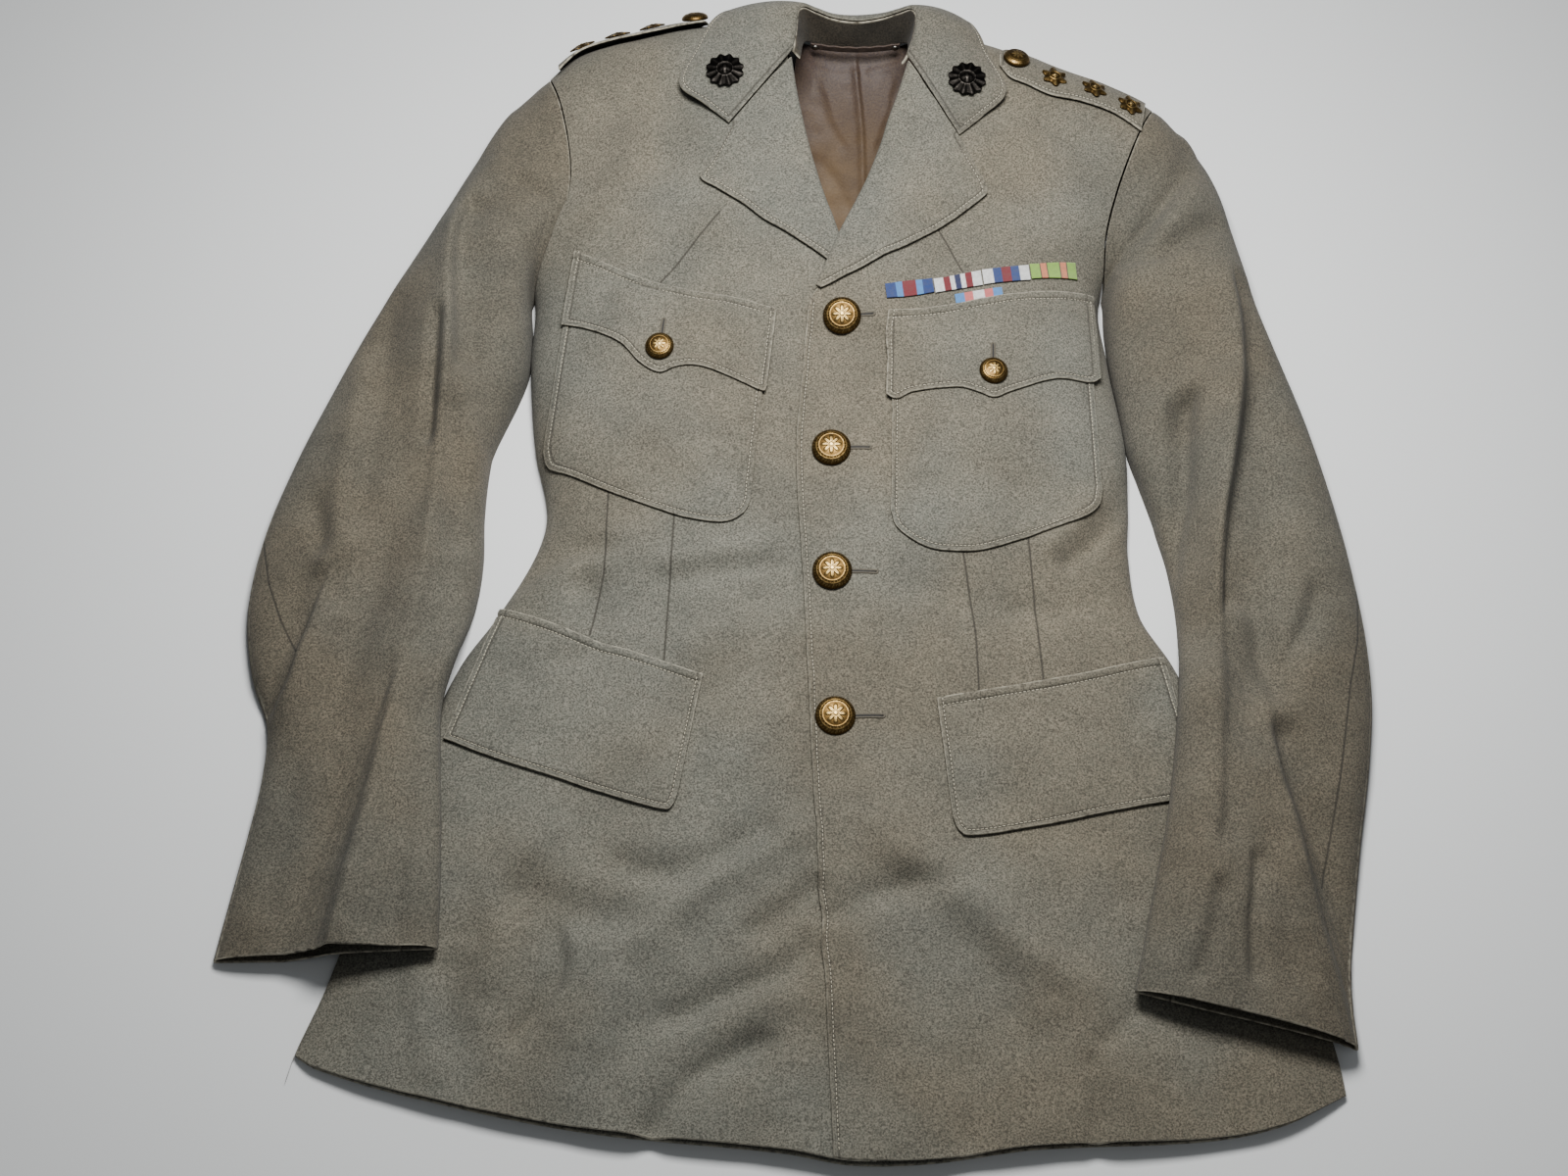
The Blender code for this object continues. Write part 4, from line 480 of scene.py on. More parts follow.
# Seams that only show as a fine line in the cloth: darts of the fronts, hind-arm seams
SeamLine = namedtuple("SeamLine", "x0 y0 x1 y1")
SEAMS_RIGHT = table(
    SeamLine,
    (-4.4, 27.4, -8.8, 21.6), (-7.1, 5.6, -7.6, -5.2), (-11.5, 7.2, -11.6, 1.2),
    (-11.6, 1.2, -12.4, -3.4),
)
SEAMS_LEFT = table(
    SeamLine,
    (10.4, 26.4, 12.3, 22.4), (11.5, 2.6, 12.2, -3.2), (12.2, -3.2, 12.3, -7.6), (15.8, 3.6, 16.4, -6.6),
)
SEAMS_SLEEVE_RIGHT = table(
    SeamLine,
    (-34.2, 4.4, -33.3, 0.5), (-33.3, 0.5, -32.3, -2.1), (-32.3, -2.1, -31.0, -4.6),
)
SEAMS_SLEEVE_LEFT = table(
    SeamLine,
    (37.2, 0.5, 36.7, -3.5), (36.7, -3.5, 35.9, -6.6), (35.9, -6.6, 34.6, -13.1),
    (34.6, -13.1, 32.9, -20.1),
)

# Soft unevenness of all the cloth: wavelength and height of each size of swell
Swell = namedtuple("Swell", "wave height seed")
SWELLS = table(
    Swell,
    (9.0, 0.050, 3), (4.2, 0.026, 5), (1.9, 0.010, 8),
)
SWELL_DIRECTIONS = 7
DIMPLE_DEPTH = 0.07
DIMPLE_REACH = 2.0

# Edges of cloth: lines of the mesh close to an edge, and its sewn form
EDGE_LINES = [0.0, 0.012, 0.035, 0.07, 0.11, 0.16, 0.22, 0.28, 0.32, 0.36, 0.41, 0.48, 0.6]
RIM_LINES = [0.0, 0.012, 0.035, 0.07, 0.12, 0.2]
RIM_THINNEST = 0.3
STITCH_INSET = 0.34
STITCH_TROUGH = 0.045
STITCH_TROUGH_REACH = 0.075
EDGE_PUFF = 0.03
EDGE_PUFF_INSET = 0.16
EDGE_PUFF_REACH = 0.10
FLAP_SEAM_INSET = 0.58
FLAP_SEAM_DEPTH = 0.07
ROLL_INSET = 0.37
ROLL_STEPS = 12
LAPEL_ROLL_SHARE = 0.42
SHELL_WALL = 0.2

# Thread
THREAD_PITCH = 0.27
THREAD_LENGTH = 0.21
THREAD_RADIUS = 0.03
THREAD_SIDES = 5
HOLE_WIDTH = 0.20
HOLE_RADIUS = 0.07
# Each buttonhole: the end under the button, the far end, whether it lies on a flap, whether
# it is on the upper front, and the piece that it is worked in
Hole = namedtuple("Hole", "name x0 y0 x1 y1 on_flap over owner")
HOLES = table(
    Hole,
    ("1", 4.3, 19.2, 6.0, 19.3, False, True, "front_left"),
    ("2", 3.4, 9.4, 5.6, 9.45, False, True, "front_left"),
    ("3", 3.4, 0.75, 5.9, 0.75, False, True, "front_left"),
    ("4", 3.5, -9.1, 6.2, -9.1, False, True, "front_left"),
    ("5", -8.2, 17.2, -8.0, 18.9, True, False, "breast_flap_right"),
    ("6", 13.85, 15.4, 13.9, 17.1, True, True, "breast_flap_left"),
)

# How finely each piece is divided
FINE = 1.0
FRONT_ROWS = round(180 * FINE)
FRONT_COLUMNS = round(84 * FINE)
ARMHOLE_ROWS = round(84 * FINE)
SIDE_EASE = 0.6
SLEEVE_ROWS = round(200 * FINE)
TOP_SLEEVE_COLUMNS = round(112 * FINE)
UNDER_SLEEVE_ROWS = round(80 * FINE)
UNDER_SLEEVE_COLUMNS = 28
SLEEVE_CM_PER_DEGREE = 0.07
COLLAR_ROWS = round(140 * FINE)
FALL_COLUMNS = 26
STAND_COLUMNS = 12
LINING_COUNTS = (76, 84)
LOOP_COUNTS = (60, 6)
RIBBON_COUNTS = (44, 14)
LINE_STEPS = 5
PATH_SAMPLES = 500
STRIP_SAMPLES = 300
BORDER_SAMPLES = 70
BACK_LATTICE = 0.8
BACK_LATTICE_LOW = Point(-31.0, -37.0)
BACK_LATTICE_HIGH = Point(34.5, 47.0)
EDGE_START = -38.0
EDGE_STEP = 0.4
END_SHARE = 0.6
RIM_LEAST = 0.02
RIM_ROUNDNESS = 0.75
BACK_RIM_RINGS = (0.0, 0.03, 0.1)
BACK_RIM_RADIUS = 0.12

# Small relief of the cloth, and where it starts and fades
CREASE_SPREAD = 2.6
SWELL_SHARE = 0.55
SWELL_STRETCH = (0.75, 1.35)
OVERLAP_TOP_FADE = 2.0
ROLL_FADE = 1.4
ROLL_START_RIGHT = 22.2
ROLL_START_LEFT = 20.2
HEAD_PUFF = 0.16
HEAD_PUFF_RUN = 0.65
HEAD_PUFF_REACH = 0.5
SEAM_CLOSE = 0.038
SEAM_CLOSE_REACH = 0.4
SLEEVE_SWELL_SHIFT = 40.0
CUFF_FROM_STITCH = 2.2
FLAP_LINES = EDGE_LINES[:-1] + [0.53, 0.58, 0.63, 0.72]
FLAP_TOP_PUFF = 0.03
ROLL_RADIUS = (LAPEL_GAP + WALL + WALL) / 2
LAPEL_SPRING = 0.12
LAPEL_SPRING_START = 22.0
LAPEL_SPRING_FULL = 27.0
COLLAR_LENGTH = 46.0
COLLAR_ROLL = 0.27
COLLAR_ROLL_ANGLE = 95.0
COLLAR_END_FADE = 0.12
CollarWave = namedtuple("CollarWave", "height turns phase")
COLLAR_WAVES = [CollarWave(0.10, 23.0, 0.0), CollarWave(0.06, 51.0, 1.0)]
STAND_WIDTH = 3.0
STAND_SAG = 0.05
STAND_SAG_TURNS = 31.0
LINING_LENGTH = 19.5
LINING_WIDTH = 9.0
LINING_SWELL = 0.5
LINING_SWELL_SCALE = 1.7
WRINKLE_LOWEST = -0.02
WRINKLE_START = 25.5
WRINKLE_FULL = 29.0
LOOP_LENGTH = 6.4
LOOP_RIPPLE = 0.03
LOOP_RIPPLE_TURNS = 40.0
# Shifts that give each piece its own part of the weave
LAID_WEAVE = 60.0
FALL_WEAVE = 90.0
STAND_WEAVE = 140.0
# Distance to a sewn edge where a piece has none near
NO_EDGE = 9.0

# Threads: rings along one stitch in shares of half its length, and their girths
THREAD_RINGS = (-1.0, -0.6, 0.6, 1.0)
THREAD_GIRTHS = (0.4, 1.0, 1.0, 0.4)
THREAD_JITTER = 0.012
THREAD_LIFT = 0.008
THREAD_DIVE = 0.018
THREAD_LOOK = 0.1
SEW_STEP = 0.08
SEW_SAMPLES = 120
COLLAR_SEW_SAMPLES = 420
FRONT_SEAM = (-36.3, 20.4)
LAPEL_THREAD_SINK = 0.01
HOLE_PITCH = 0.035
HOLE_TURNS = 10
HOLE_BEND_STEPS = 9
HOLE_RIPPLE = 0.16
HOLE_FLATNESS = 0.8
HOLE_LIFT = 0.01
SLIT_HALF_WIDTH = 0.085
SLIT_STEPS = 24
SLIT_TURNS = 6
SLIT_FLATNESS = 0.3
SLIT_LIFT = 0.03

# Pieces laid on the fronts
BARATHEA = "khaki_barathea"
POCKET_LIFT = LAY_GAP
FLAP_LIFT = POCKET_LIFT + THIN_WALL + LAY_GAP
SIDES = ("first", "end", "last")
OUTER_END = ("end",)
Laid = namedtuple("Laid", "name strips lift wall rows columns over slot borders curl")
LAID = table(
    Laid,
    ("lapel_right", LAPEL_RIGHT, LAPEL_GAP, WALL, 80, 34, False, "khaki_facing", OUTER_END, 0.0),
    ("lapel_left", LAPEL_LEFT, LAPEL_GAP, WALL, 90, 44, True, "khaki_facing", OUTER_END, 0.0),
    ("breast_pocket_right", BREAST_POCKET_RIGHT, POCKET_LIFT, THIN_WALL, 46, 44, False, BARATHEA, SIDES, 0.0),
    ("breast_pocket_left", BREAST_POCKET_LEFT, POCKET_LIFT, THIN_WALL, 46, 44, True, BARATHEA, SIDES, 0.0),
    ("breast_flap_right", BREAST_FLAP_RIGHT, FLAP_LIFT, THIN_WALL, 60, 20, False, BARATHEA, SIDES, 0.0),
    ("breast_flap_left", BREAST_FLAP_LEFT, FLAP_LIFT, THIN_WALL, 60, 20, True, BARATHEA, SIDES, 0.0),
    ("hip_flap_right", HIP_FLAP_RIGHT, LAPEL_GAP, THIN_WALL, 56, 34, False, BARATHEA, SIDES, 0.0),
    ("hip_flap_left", HIP_FLAP_LEFT, LAPEL_GAP, THIN_WALL, 56, 34, True, BARATHEA, SIDES, 0.0),
    ("shoulder_strap_left", STRAP_LEFT, LAY_GAP, THIN_WALL, 44, 14, False, "strap_cloth", (), CURL_LEFT),
    ("shoulder_strap_right", STRAP_RIGHT, LAY_GAP, THIN_WALL, 44, 12, False, "strap_cloth", (), CURL_RIGHT),
)

SmallButton = namedtuple("SmallButton", "name spot lift over")
FLAP_TOP = FLAP_LIFT + THIN_WALL + SEAM_GAP
STRAP_TOP = LAY_GAP + THIN_WALL
SMALL_BUTTONS = table(
    SmallButton,
    ("pocket_button_right", POCKET_BUTTON_RIGHT, FLAP_TOP, False),
    ("pocket_button_left", POCKET_BUTTON_LEFT, FLAP_TOP, True),
    ("strap_button_left", STRAP_BUTTON_LEFT, STRAP_TOP + STRAP_BUTTON_LIFT_LEFT, False),
    ("strap_button_right", STRAP_BUTTON_RIGHT, STRAP_TOP + STRAP_BUTTON_LIFT_RIGHT, False),
)

# Colours
SEAM_REACH = 0.1
TWILL = 0.09
WOOL_DARK = paint(0.066, 0.063, 0.051)
WOOL_LIGHT = paint(0.200, 0.189, 0.155)
WOOL_GREY = paint(0.262, 0.255, 0.224)
WOOL_GREEN = paint(0.118, 0.122, 0.100)
WOOL_BROWN = paint(1.0, 0.91, 0.82)
WOOL_SHADE = paint(0.82, 0.83, 0.84)
WOOL_WORN = paint(0.430, 0.395, 0.315)
# Dark seam lines, and painted shade in the stitch trough beside a sewn edge
WOOL_SEAM_AND_TROUGH_SHADE = paint(0.036, 0.032, 0.025)
NO_SHADE = paint(1.0, 1.0, 1.0)
# Painted shade: the collar stand's wool is darkened for the shade it lies in inside the collar
STAND_PAINTED_SHADE = paint(0.40, 0.37, 0.34)
# Painted shade: the sleeves' wool is darkened where they slope away from the lamp
SLEEVE_PAINTED_SHADE = paint(0.80, 0.79, 0.78)
LINING_TAN = paint(0.094, 0.059, 0.027)
LINING_PURPLE = paint(0.031, 0.017, 0.0145)
LINING_STAIN = paint(0.042, 0.025, 0.014)
LINING_PALE = paint(0.127, 0.085, 0.047)
RIBBON_DIRT = paint(0.10, 0.08, 0.06)
FLOOR = paint(0.56, 0.56, 0.55)
SKY = paint(0.075, 0.22, 0.46)
NAVY = paint(0.008, 0.016, 0.075)
BLUE = paint(0.011, 0.040, 0.165)
CRIMSON = paint(0.17, 0.007, 0.013)
WHITE = paint(0.60, 0.59, 0.57)
GREEN = paint(0.22, 0.37, 0.055)
ORANGE = paint(0.55, 0.19, 0.085)
BLACK = paint(0.012, 0.012, 0.012)
PINK = paint(0.52, 0.14, 0.13)

# Bands of each ribbon from one end: width in shares of the whole, and colour. A ribbon's
# bands run in to its middle band and out again the same way.
RIB = 0.07
BAND_BLEND = 0.006
HALF_BANDS = {
    "ribbon_1": [(0.22, BLUE), (0.14, SKY), (0.28, CRIMSON)],
    "ribbon_2": [(0.20, WHITE), (0.14, CRIMSON), (0.10, WHITE), (0.12, NAVY)],
    "ribbon_3": [(0.22, WHITE), (0.18, BLUE), (0.20, CRIMSON)],
    "ribbon_4": [(0.20, GREEN), (0.02, BLACK), (0.13, ORANGE), (0.02, BLACK), (0.26, GREEN)],
    "ribbon_5": [(0.20, SKY), (0.18, PINK), (0.24, WHITE)],
}

# Each cloth: its node, flat width and length in metres, area, and what it rests on
Cut = namedtuple("Cut", "node width length area rests")
CUTS = table(
    Cut,
    ("back", 0.66, 0.845, 0.366, ["floor"]),
    ("front_right", 0.35, 0.825, 0.206, ["back"]),
    ("front_left", 0.315, 0.82, 0.192, ["front_right"]),
    ("top_sleeve_right", 0.185, 0.675, 0.097, ["under_sleeve_right"]),
    ("under_sleeve_right", 0.165, 0.68, 0.072, ["floor", "front_right"]),
    ("top_sleeve_left", 0.185, 0.69, 0.100, ["under_sleeve_left"]),
    ("under_sleeve_left", 0.16, 0.695, 0.072, ["floor", "front_left"]),
    ("lapel_right", 0.092, 0.167, 0.0083, ["front_right"]),
    ("lapel_left", 0.096, 0.194, 0.0099, ["front_left"]),
    ("breast_pocket_right", 0.175, 0.22, 0.0218, ["front_right"]),
    ("breast_pocket_left", 0.178, 0.214, 0.0223, ["front_left"]),
    ("breast_flap_right", 0.077, 0.17, 0.0088, ["breast_pocket_right"]),
    ("breast_flap_left", 0.078, 0.167, 0.0105, ["breast_pocket_left"]),
    ("hip_flap_right", 0.107, 0.166, 0.0147, ["front_right"]),
    ("hip_flap_left", 0.099, 0.163, 0.0150, ["front_left"]),
    ("shoulder_strap_left", 0.042, 0.113, 0.0043, ["front_left"]),
    ("shoulder_strap_right", 0.047, 0.114, 0.0040, ["front_right"]),
    ("collar_fall", 0.062, 0.46, 0.0199, ["collar_stand", "lapel_left", "lapel_right"]),
    ("collar_stand", 0.034, 0.18, 0.0037, ["front_left", "front_right"]),
    ("back_lining", 0.126, 0.201, 0.0220, ["back"]),
    ("hanger_loop", 0.01, 0.066, 0.00042, ["collar_stand"]),
)
CUTS += [Cut(ribbon.name, 0.011, 0.034, None, ["front_left"]) for ribbon in RIBBONS]

# Struck metal: rings, rims and profiles in shares of the radius and the height
DOME_RINGS = 32
DOME_TURNS = 88
DOME_RIM = [0.975, 0.99, 1.0, 1.0, 0.985, 0.95]
DOME_KEYS = [0.0, 0.45, 0.78, 0.95, 1.0]
DOME_HEIGHTS = [1.0, 0.93, 0.72, 0.42, 0.24]
DOME_BACK = (0.16, 0.06, 0.0)
DOME_RELIEF = 0.035
ROPE_COUNT = 34
ROPE_TWIST = 30.0
BEAD_COUNT = 26
ROPE_BAND = (0.84, 0.87, 0.95, 0.98)
BEAD_BAND = (0.73, 0.03)
RING_BANDS = ((0.80, 0.022), (0.66, 0.02))
PETALS = 8
PETAL_ROOT = 0.20
PETAL_LENGTH = 0.36
DOME_HEART = (0.09, 0.14)
STAR_HEART = (0.08, 0.13)
STAR_RING = (0.42, 0.035)
RAY_START = (0.40, 0.5)
STAR_RINGS = 24
STAR_TURNS = 96
STAR_RIM = [0.99, 1.0, 1.0]
STAR_KEYS = [0.0, 0.42, 0.75, 1.0]
STAR_HEIGHTS = [0.72, 0.62, 0.42, 0.20]
STAR_RELIEF = 0.26

# Camera and studio, in metres and watts
CAMERA_LENS = 58.5
CAMERA_SENSOR = 36.0
CAMERA_ELEVATION = 63.0
CAMERA_DISTANCE = 1.64
CAMERA_AIM_HEIGHT = 0.025
FLOOR_HALF = 4.0
FLOOR_DROP = 0.0004
WORLD_COLOR = paint(0.90, 0.95, 1.0)
WORLD_STRENGTH = 0.20
Lamp = namedtuple("Lamp", "name place target width height energy color")
LAMPS = table(
    Lamp,
    ("window", (0.04, 0.22, 0.86), (0.03, 0.0, 0.0), 0.42, 0.30, 14.1, (0.985, 0.993, 1.0)),
    ("fill", (0.5, -0.9, 1.8), (0.0, 0.0, 0.0), 1.6, 1.2, 2.5, (0.96, 0.98, 1.0)),
)


def smoothstep(low, high, value):
    t = np.clip((value - low) / (high - low), 0.0, 1.0)
    return t * t * (3.0 - 2.0 * t)


def bump(value, centre, reach):
    return np.exp(-(((value - centre) / reach) ** 2))


def cubic(keys, values, at):
    """A smooth curve through values at rising keys, read at many places."""
    keys = np.asarray(keys, float)
    values = np.asarray(values, float)
    at = np.clip(np.asarray(at, float), keys[0], keys[-1])
    slopes = np.empty(len(keys))
    slopes[0] = (values[1] - values[0]) / (keys[1] - keys[0])
    slopes[-1] = (values[-1] - values[-2]) / (keys[-1] - keys[-2])
    slopes[1:-1] = (values[2:] - values[:-2]) / (keys[2:] - keys[:-2])
    i = np.clip(np.searchsorted(keys, at, side="right") - 1, 0, len(keys) - 2)
    span = keys[i + 1] - keys[i]
    t = (at - keys[i]) / span
    a = values[i] * (2 * t**3 - 3 * t**2 + 1)
    b = values[i + 1] * (3 * t**2 - 2 * t**3)
    c = slopes[i] * span * (t**3 - 2 * t**2 + t)
    d = slopes[i + 1] * span * (t**3 - t**2)
    return a + b + c + d


def read_table(table, key, column, at):
    return cubic([getattr(row, key) for row in table], [getattr(row, column) for row in table], at)


def read_rows(table, at):
    """Smooth rows between the rows of a table, at from 0 to 1 along it."""
    keys = np.linspace(0.0, 1.0, len(table))
    return type(table[0])(*[cubic(keys, column, at) for column in zip(*table)])


def along(points, at):
    """Places on a smooth curve through plan points, at from 0 to 1 of its length."""
    xs = np.array([p[0] for p in points], float)
    ys = np.array([p[1] for p in points], float)
    keys = np.concatenate([[0.0], np.cumsum(np.hypot(np.diff(xs), np.diff(ys)))])
    place = np.asarray(at, float) * keys[-1]
    return cubic(keys, xs, place), cubic(keys, ys, place)


def join(*parts):
    return np.stack(np.broadcast_arrays(*parts), axis=-1).astype(float)


def unit(vectors):
    return vectors / np.maximum(np.linalg.norm(vectors, axis=-1, keepdims=True), 1e-9)


def line_fold(x, y, fold):
    """Height that one of the solids' folds adds at places in plan."""
    dx = fold.x1 - fold.x0
    dy = fold.y1 - fold.y0
    length = math.hypot(dx, dy)
    run = ((x - fold.x0) * dx + (y - fold.y0) * dy) / length
    off = ((x - fold.x0) * dy - (y - fold.y0) * dx) / length
    fade = smoothstep(-FOLD_FADE, FOLD_FADE, run) * smoothstep(-FOLD_FADE, FOLD_FADE, length - run)
    width = np.where(off * dy < 0.0, fold.low_side, fold.high_side)
    return fold.height * fade * np.exp(-((off / width) ** 2))


def near_line(x, y, line):
    """Distance to a polyline, run along it, and the side: +1 right of its travel."""
    best = np.full(x.shape, 1e9)
    place = np.zeros(x.shape)
    side = np.zeros(x.shape)
    run = 0.0
    for (ax, ay), (bx, by) in zip(line[:-1], line[1:]):
        dx = bx - ax
        dy = by - ay
        length = math.hypot(dx, dy)
        t = np.clip(((x - ax) * dx + (y - ay) * dy) / length**2, 0.0, 1.0)
        distance = np.hypot(x - ax - t * dx, y - ay - t * dy)
        closer = distance < best
        best = np.where(closer, distance, best)
        place = np.where(closer, run + t * length, place)
        side = np.where(closer, np.sign((x - ax) * dy - (y - ay) * dx), side)
        run += length
    return best, place, side, run


def crease_line(crease):
    """The crease's smooth line, carried on by half of its fade at both ends."""
    points = np.array(crease.line, float)
    start = unit(points[0] - points[1]) * crease.fade / 2
    end = unit(points[-1] - points[-2]) * crease.fade / 2
    points = np.vstack([points[0] + start, points, points[-1] + end])
    return np.stack(along(points, np.linspace(0.0, 1.0, (len(points) - 1) * LINE_STEPS)), axis=-1)


def creases_height(x, y, creases):
    total = np.zeros(x.shape)
    for crease in creases:
        line = crease_line(crease)
        reach = CREASE_SPREAD * max(crease.left, crease.right)
        low = line.min(axis=0) - reach
        high = line.max(axis=0) + reach
        near = (x > low[0]) & (x < high[0]) & (y > low[1]) & (y < high[1])
        if not near.any():
            continue
        distance, place, side, length = near_line(x[near], y[near], line)
        width = np.where(side > 0.0, crease.right, crease.left)
        fade = smoothstep(0.0, crease.fade, place) * smoothstep(0.0, crease.fade, length - place)
        total[near] += crease.height * fade * np.exp(-((distance / width) ** 2))
    return total


def swells_height(x, y):
    total = np.zeros(np.shape(x))
    for swell in SWELLS:
        chance = np.random.default_rng(swell.seed)
        for _ in range(SWELL_DIRECTIONS):
            angle = chance.uniform(0.0, math.pi)
            wave = swell.wave * chance.uniform(*SWELL_STRETCH)
            phase = chance.uniform(0.0, 2.0 * math.pi)
            turn = (x * math.cos(angle) + y * math.sin(angle)) * 2.0 * math.pi / wave + phase
            total += swell.height * SWELL_SHARE * np.sin(turn)
    return total


def body_share(x, y):
    """Share of the crown's height at a place: 1 in the middle and 0 at the edges."""
    right = read_table(BODY, "y", "right_edge", y)
    left = read_table(BODY, "y", "left_edge", y)
    across = np.minimum(1.0, np.abs(x - (left + right) / 2) / ((left - right) / 2))
    line = read_table(SHOULDER, "x", "y", x)
    fall = np.clip((y - (line - SHOULDER_FALL)) / SHOULDER_FALL, 0.0, 1.0)
    return np.sqrt(1.0 - across**SIDE_ROUNDNESS) * np.sqrt(1.0 - fall**SHOULDER_ROUNDNESS)


def body_height(x, y, detail=True):
    """Height of the fronts' face over places in plan."""
    crown = read_table(BODY, "y", "crown", y)
    folds = sum(line_fold(x, y, fold) for fold in BODY_FOLDS)
    if detail:
        folds = folds + creases_height(x, y, BODY_CREASES) + swells_height(x, y)
        for spot in BUTTON_SPOTS:
            folds = folds - DIMPLE_DEPTH * np.exp(-((x - spot.x) ** 2 + (y - spot.y) ** 2) / DIMPLE_REACH**2)
    return FRONT_BASE + (crown - FRONT_BASE + folds) * body_share(x, y)


def overlap_lift(x, y):
    """How far the wearer's left front stands off where it lies over the right one."""
    upper = 1.0 - smoothstep(OVERLAP_TOP - OVERLAP_TOP_FADE, OVERLAP_TOP + OVERLAP_TOP_FADE, y)
    lift = (WALL + LAY_GAP) * (1.0 - smoothstep(OVERLAP_END, OVERLAP_FADE, x)) * upper
    distance = np.hypot(x - CROSSING.x, y - CROSSING.y)
    return lift + CROSSING_LIFT * (1.0 - smoothstep(CROSSING_CORE, CROSSING_REACH, distance))


class Surface:
    """The fronts' face at places in plan, with its outward directions."""

    def __init__(self, x, y, over, detail=True):
        x, y = [np.asarray(part, float) for part in np.broadcast_arrays(x, y)]
        self.base = join(x, y, body_height(x, y, detail))
        self.lift = overlap_lift(x, y) if over else np.zeros(x.shape)
        at_rim = body_share(x, y) < RIM_SHARE
        inward = unit(join(BODY_MIDDLE.x - x, BODY_MIDDLE.y - y)) * RIM_STEP
        near_x = np.where(at_rim, x + inward[..., 0], x)
        near_y = np.where(at_rim, y + inward[..., 1], y)
        step = SLOPE_STEP
        rise_x = body_height(near_x + step, near_y, detail) - body_height(near_x - step, near_y, detail)
        rise_y = body_height(near_x, near_y + step, detail) - body_height(near_x, near_y - step, detail)
        upward = np.where(at_rim, 0.0, 1.0)
        self.normal = unit(join(-rise_x / (2 * step), -rise_y / (2 * step), upward))

    def point(self, lift):
        points = self.base + self.normal * (self.lift + lift)[..., None]
        points[..., 2] = np.maximum(points[..., 2], FRONT_BASE)
        return points


def to_frame(points):
    """Points in the jacket's own centimetres, moved over the frame's origin and in metres."""
    return (np.asarray(points, float) + (SHIFT_X, SHIFT_Y, 0.0)) * CM


def spaced(lengths, low_lines, high_lines, count, ease=0.0):
    """Places from 0 to 1 on rows of given lengths, with lines at set distances from both ends."""
    lengths = np.atleast_1d(np.asarray(lengths, float)).reshape(-1, 1)
    low = np.array(low_lines)
    high = np.array(high_lines)
    widest = max(low[-1] + high[-1], 1e-6)
    shrink = np.minimum(1.0, END_SHARE * lengths / widest)
    start = low * shrink / lengths
    end = 1.0 - high[::-1] * shrink / lengths
    t = np.linspace(0.0, 1.0, count + 2)[1:-1]
    t = (1.0 - ease) * t + ease * np.sin(t * math.pi / 2)
    middle = start[:, -1:] + (end[:, :1] - start[:, -1:]) * t
    return np.hstack([start, middle, end])


def reach(points, axis, backwards=False):
    """Distance over a grid's surface from one of its borders."""
    steps = np.linalg.norm(np.diff(points, axis=axis), axis=-1)
    if backwards:
        steps = np.flip(steps, axis)
    start = np.zeros_like(np.take(steps, [0], axis=axis))
    total = np.concatenate([start, np.cumsum(steps, axis=axis)], axis=axis)
    return np.flip(total, axis) if backwards else total


def rim_distance(points):
    borders = [reach(points, axis, backwards) for axis in (0, 1) for backwards in (False, True)]
    return np.minimum.reduce(borders)


def round_rims(face, back):
    """Thin the wall towards its four borders, so that they end round."""
    middle = (face + back) / 2
    half = (face - back) / 2
    radius = np.maximum(np.linalg.norm(half, axis=-1), RIM_LEAST) * RIM_ROUNDNESS
    share = np.minimum(1.0, rim_distance(middle) / radius)
    thick = np.maximum(RIM_THINNEST, np.sqrt(1.0 - (1.0 - share) ** 2))[..., None]
    return middle + half * thick, middle - half * thick


def line_distance(points, line):
    return near_line(points[..., 0], points[..., 1], line)[0]


def around(count):
    return np.arange(count) * 2.0 * math.pi / count


def read_line(length, line, at):
    """Places on a line of points, read at distances along it."""
    return np.stack([np.interp(at, length, column) for column in line.T], axis=-1)


def even_rows(middle, low_lines, high_lines, count):
    """Places at even steps of a middle line, closer together at its two ends."""
    length = reach(middle[None], 1)[0]
    places = spaced([length[-1]], low_lines, high_lines, count)[0] * length[-1]
    return np.interp(places, length, np.linspace(0.0, 1.0, len(middle))), places, length[-1]


def ring_faces(rows, turns):
    """Faces of a tube of rings that stays open at both ends."""
    index = np.arange(rows * turns).reshape(rows, turns)
    after = np.roll(index, -1, axis=1)
    return index, np.stack([index[:-1], index[1:], after[1:], after[:-1]], axis=-1).reshape(-1, 4).tolist()


def tube(line, side, normal, turns, flatness, girth):
    """Rings of points round a line, flattened along its outward direction."""
    angle = around(turns)[None, :, None]
    spokes = np.cos(angle) * side[:, None] + flatness * np.sin(angle) * normal[:, None]
    return (line[:, None] + girth[:, None, None] * spokes).reshape(-1, 3)


def sewn_relief(distance):
    """Height of a pressed and topstitched edge over its own distance."""
    trough = STITCH_TROUGH * bump(distance, STITCH_INSET, STITCH_TROUGH_REACH)
    return EDGE_PUFF * bump(distance, EDGE_PUFF_INSET, EDGE_PUFF_REACH) - trough


def set_points(mesh, name, values):
    kind = "FLOAT_VECTOR" if values.ndim == 2 else "FLOAT"
    field = "vector" if values.ndim == 2 else "value"
    layer = mesh.attributes.new(name, kind, "POINT")
    layer.data.foreach_set(field, np.ascontiguousarray(values, np.float32).ravel())


def signed_volume(points, faces):
    a = points[faces[:, 0]]
    total = 0.0
    for k in (1, 2):
        b = points[faces[:, k]]
        c = points[faces[:, k + 1]]
        total += float(np.einsum("ij,ij->i", a, np.cross(b, c)).sum())
    return total


def add_object(name, points, faces, material, layers):
    mesh = bpy.data.meshes.new(name)
    mesh.from_pydata(to_frame(points).tolist(), [], [list(face) for face in faces])
    for layer, values in layers.items():
        set_points(mesh, layer, values)
    mesh.shade_smooth()
    mesh.materials.append(material)
    item = bpy.data.objects.new(name, mesh)
    bpy.context.scene.collection.objects.link(item)
    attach(item, "root")
    return item


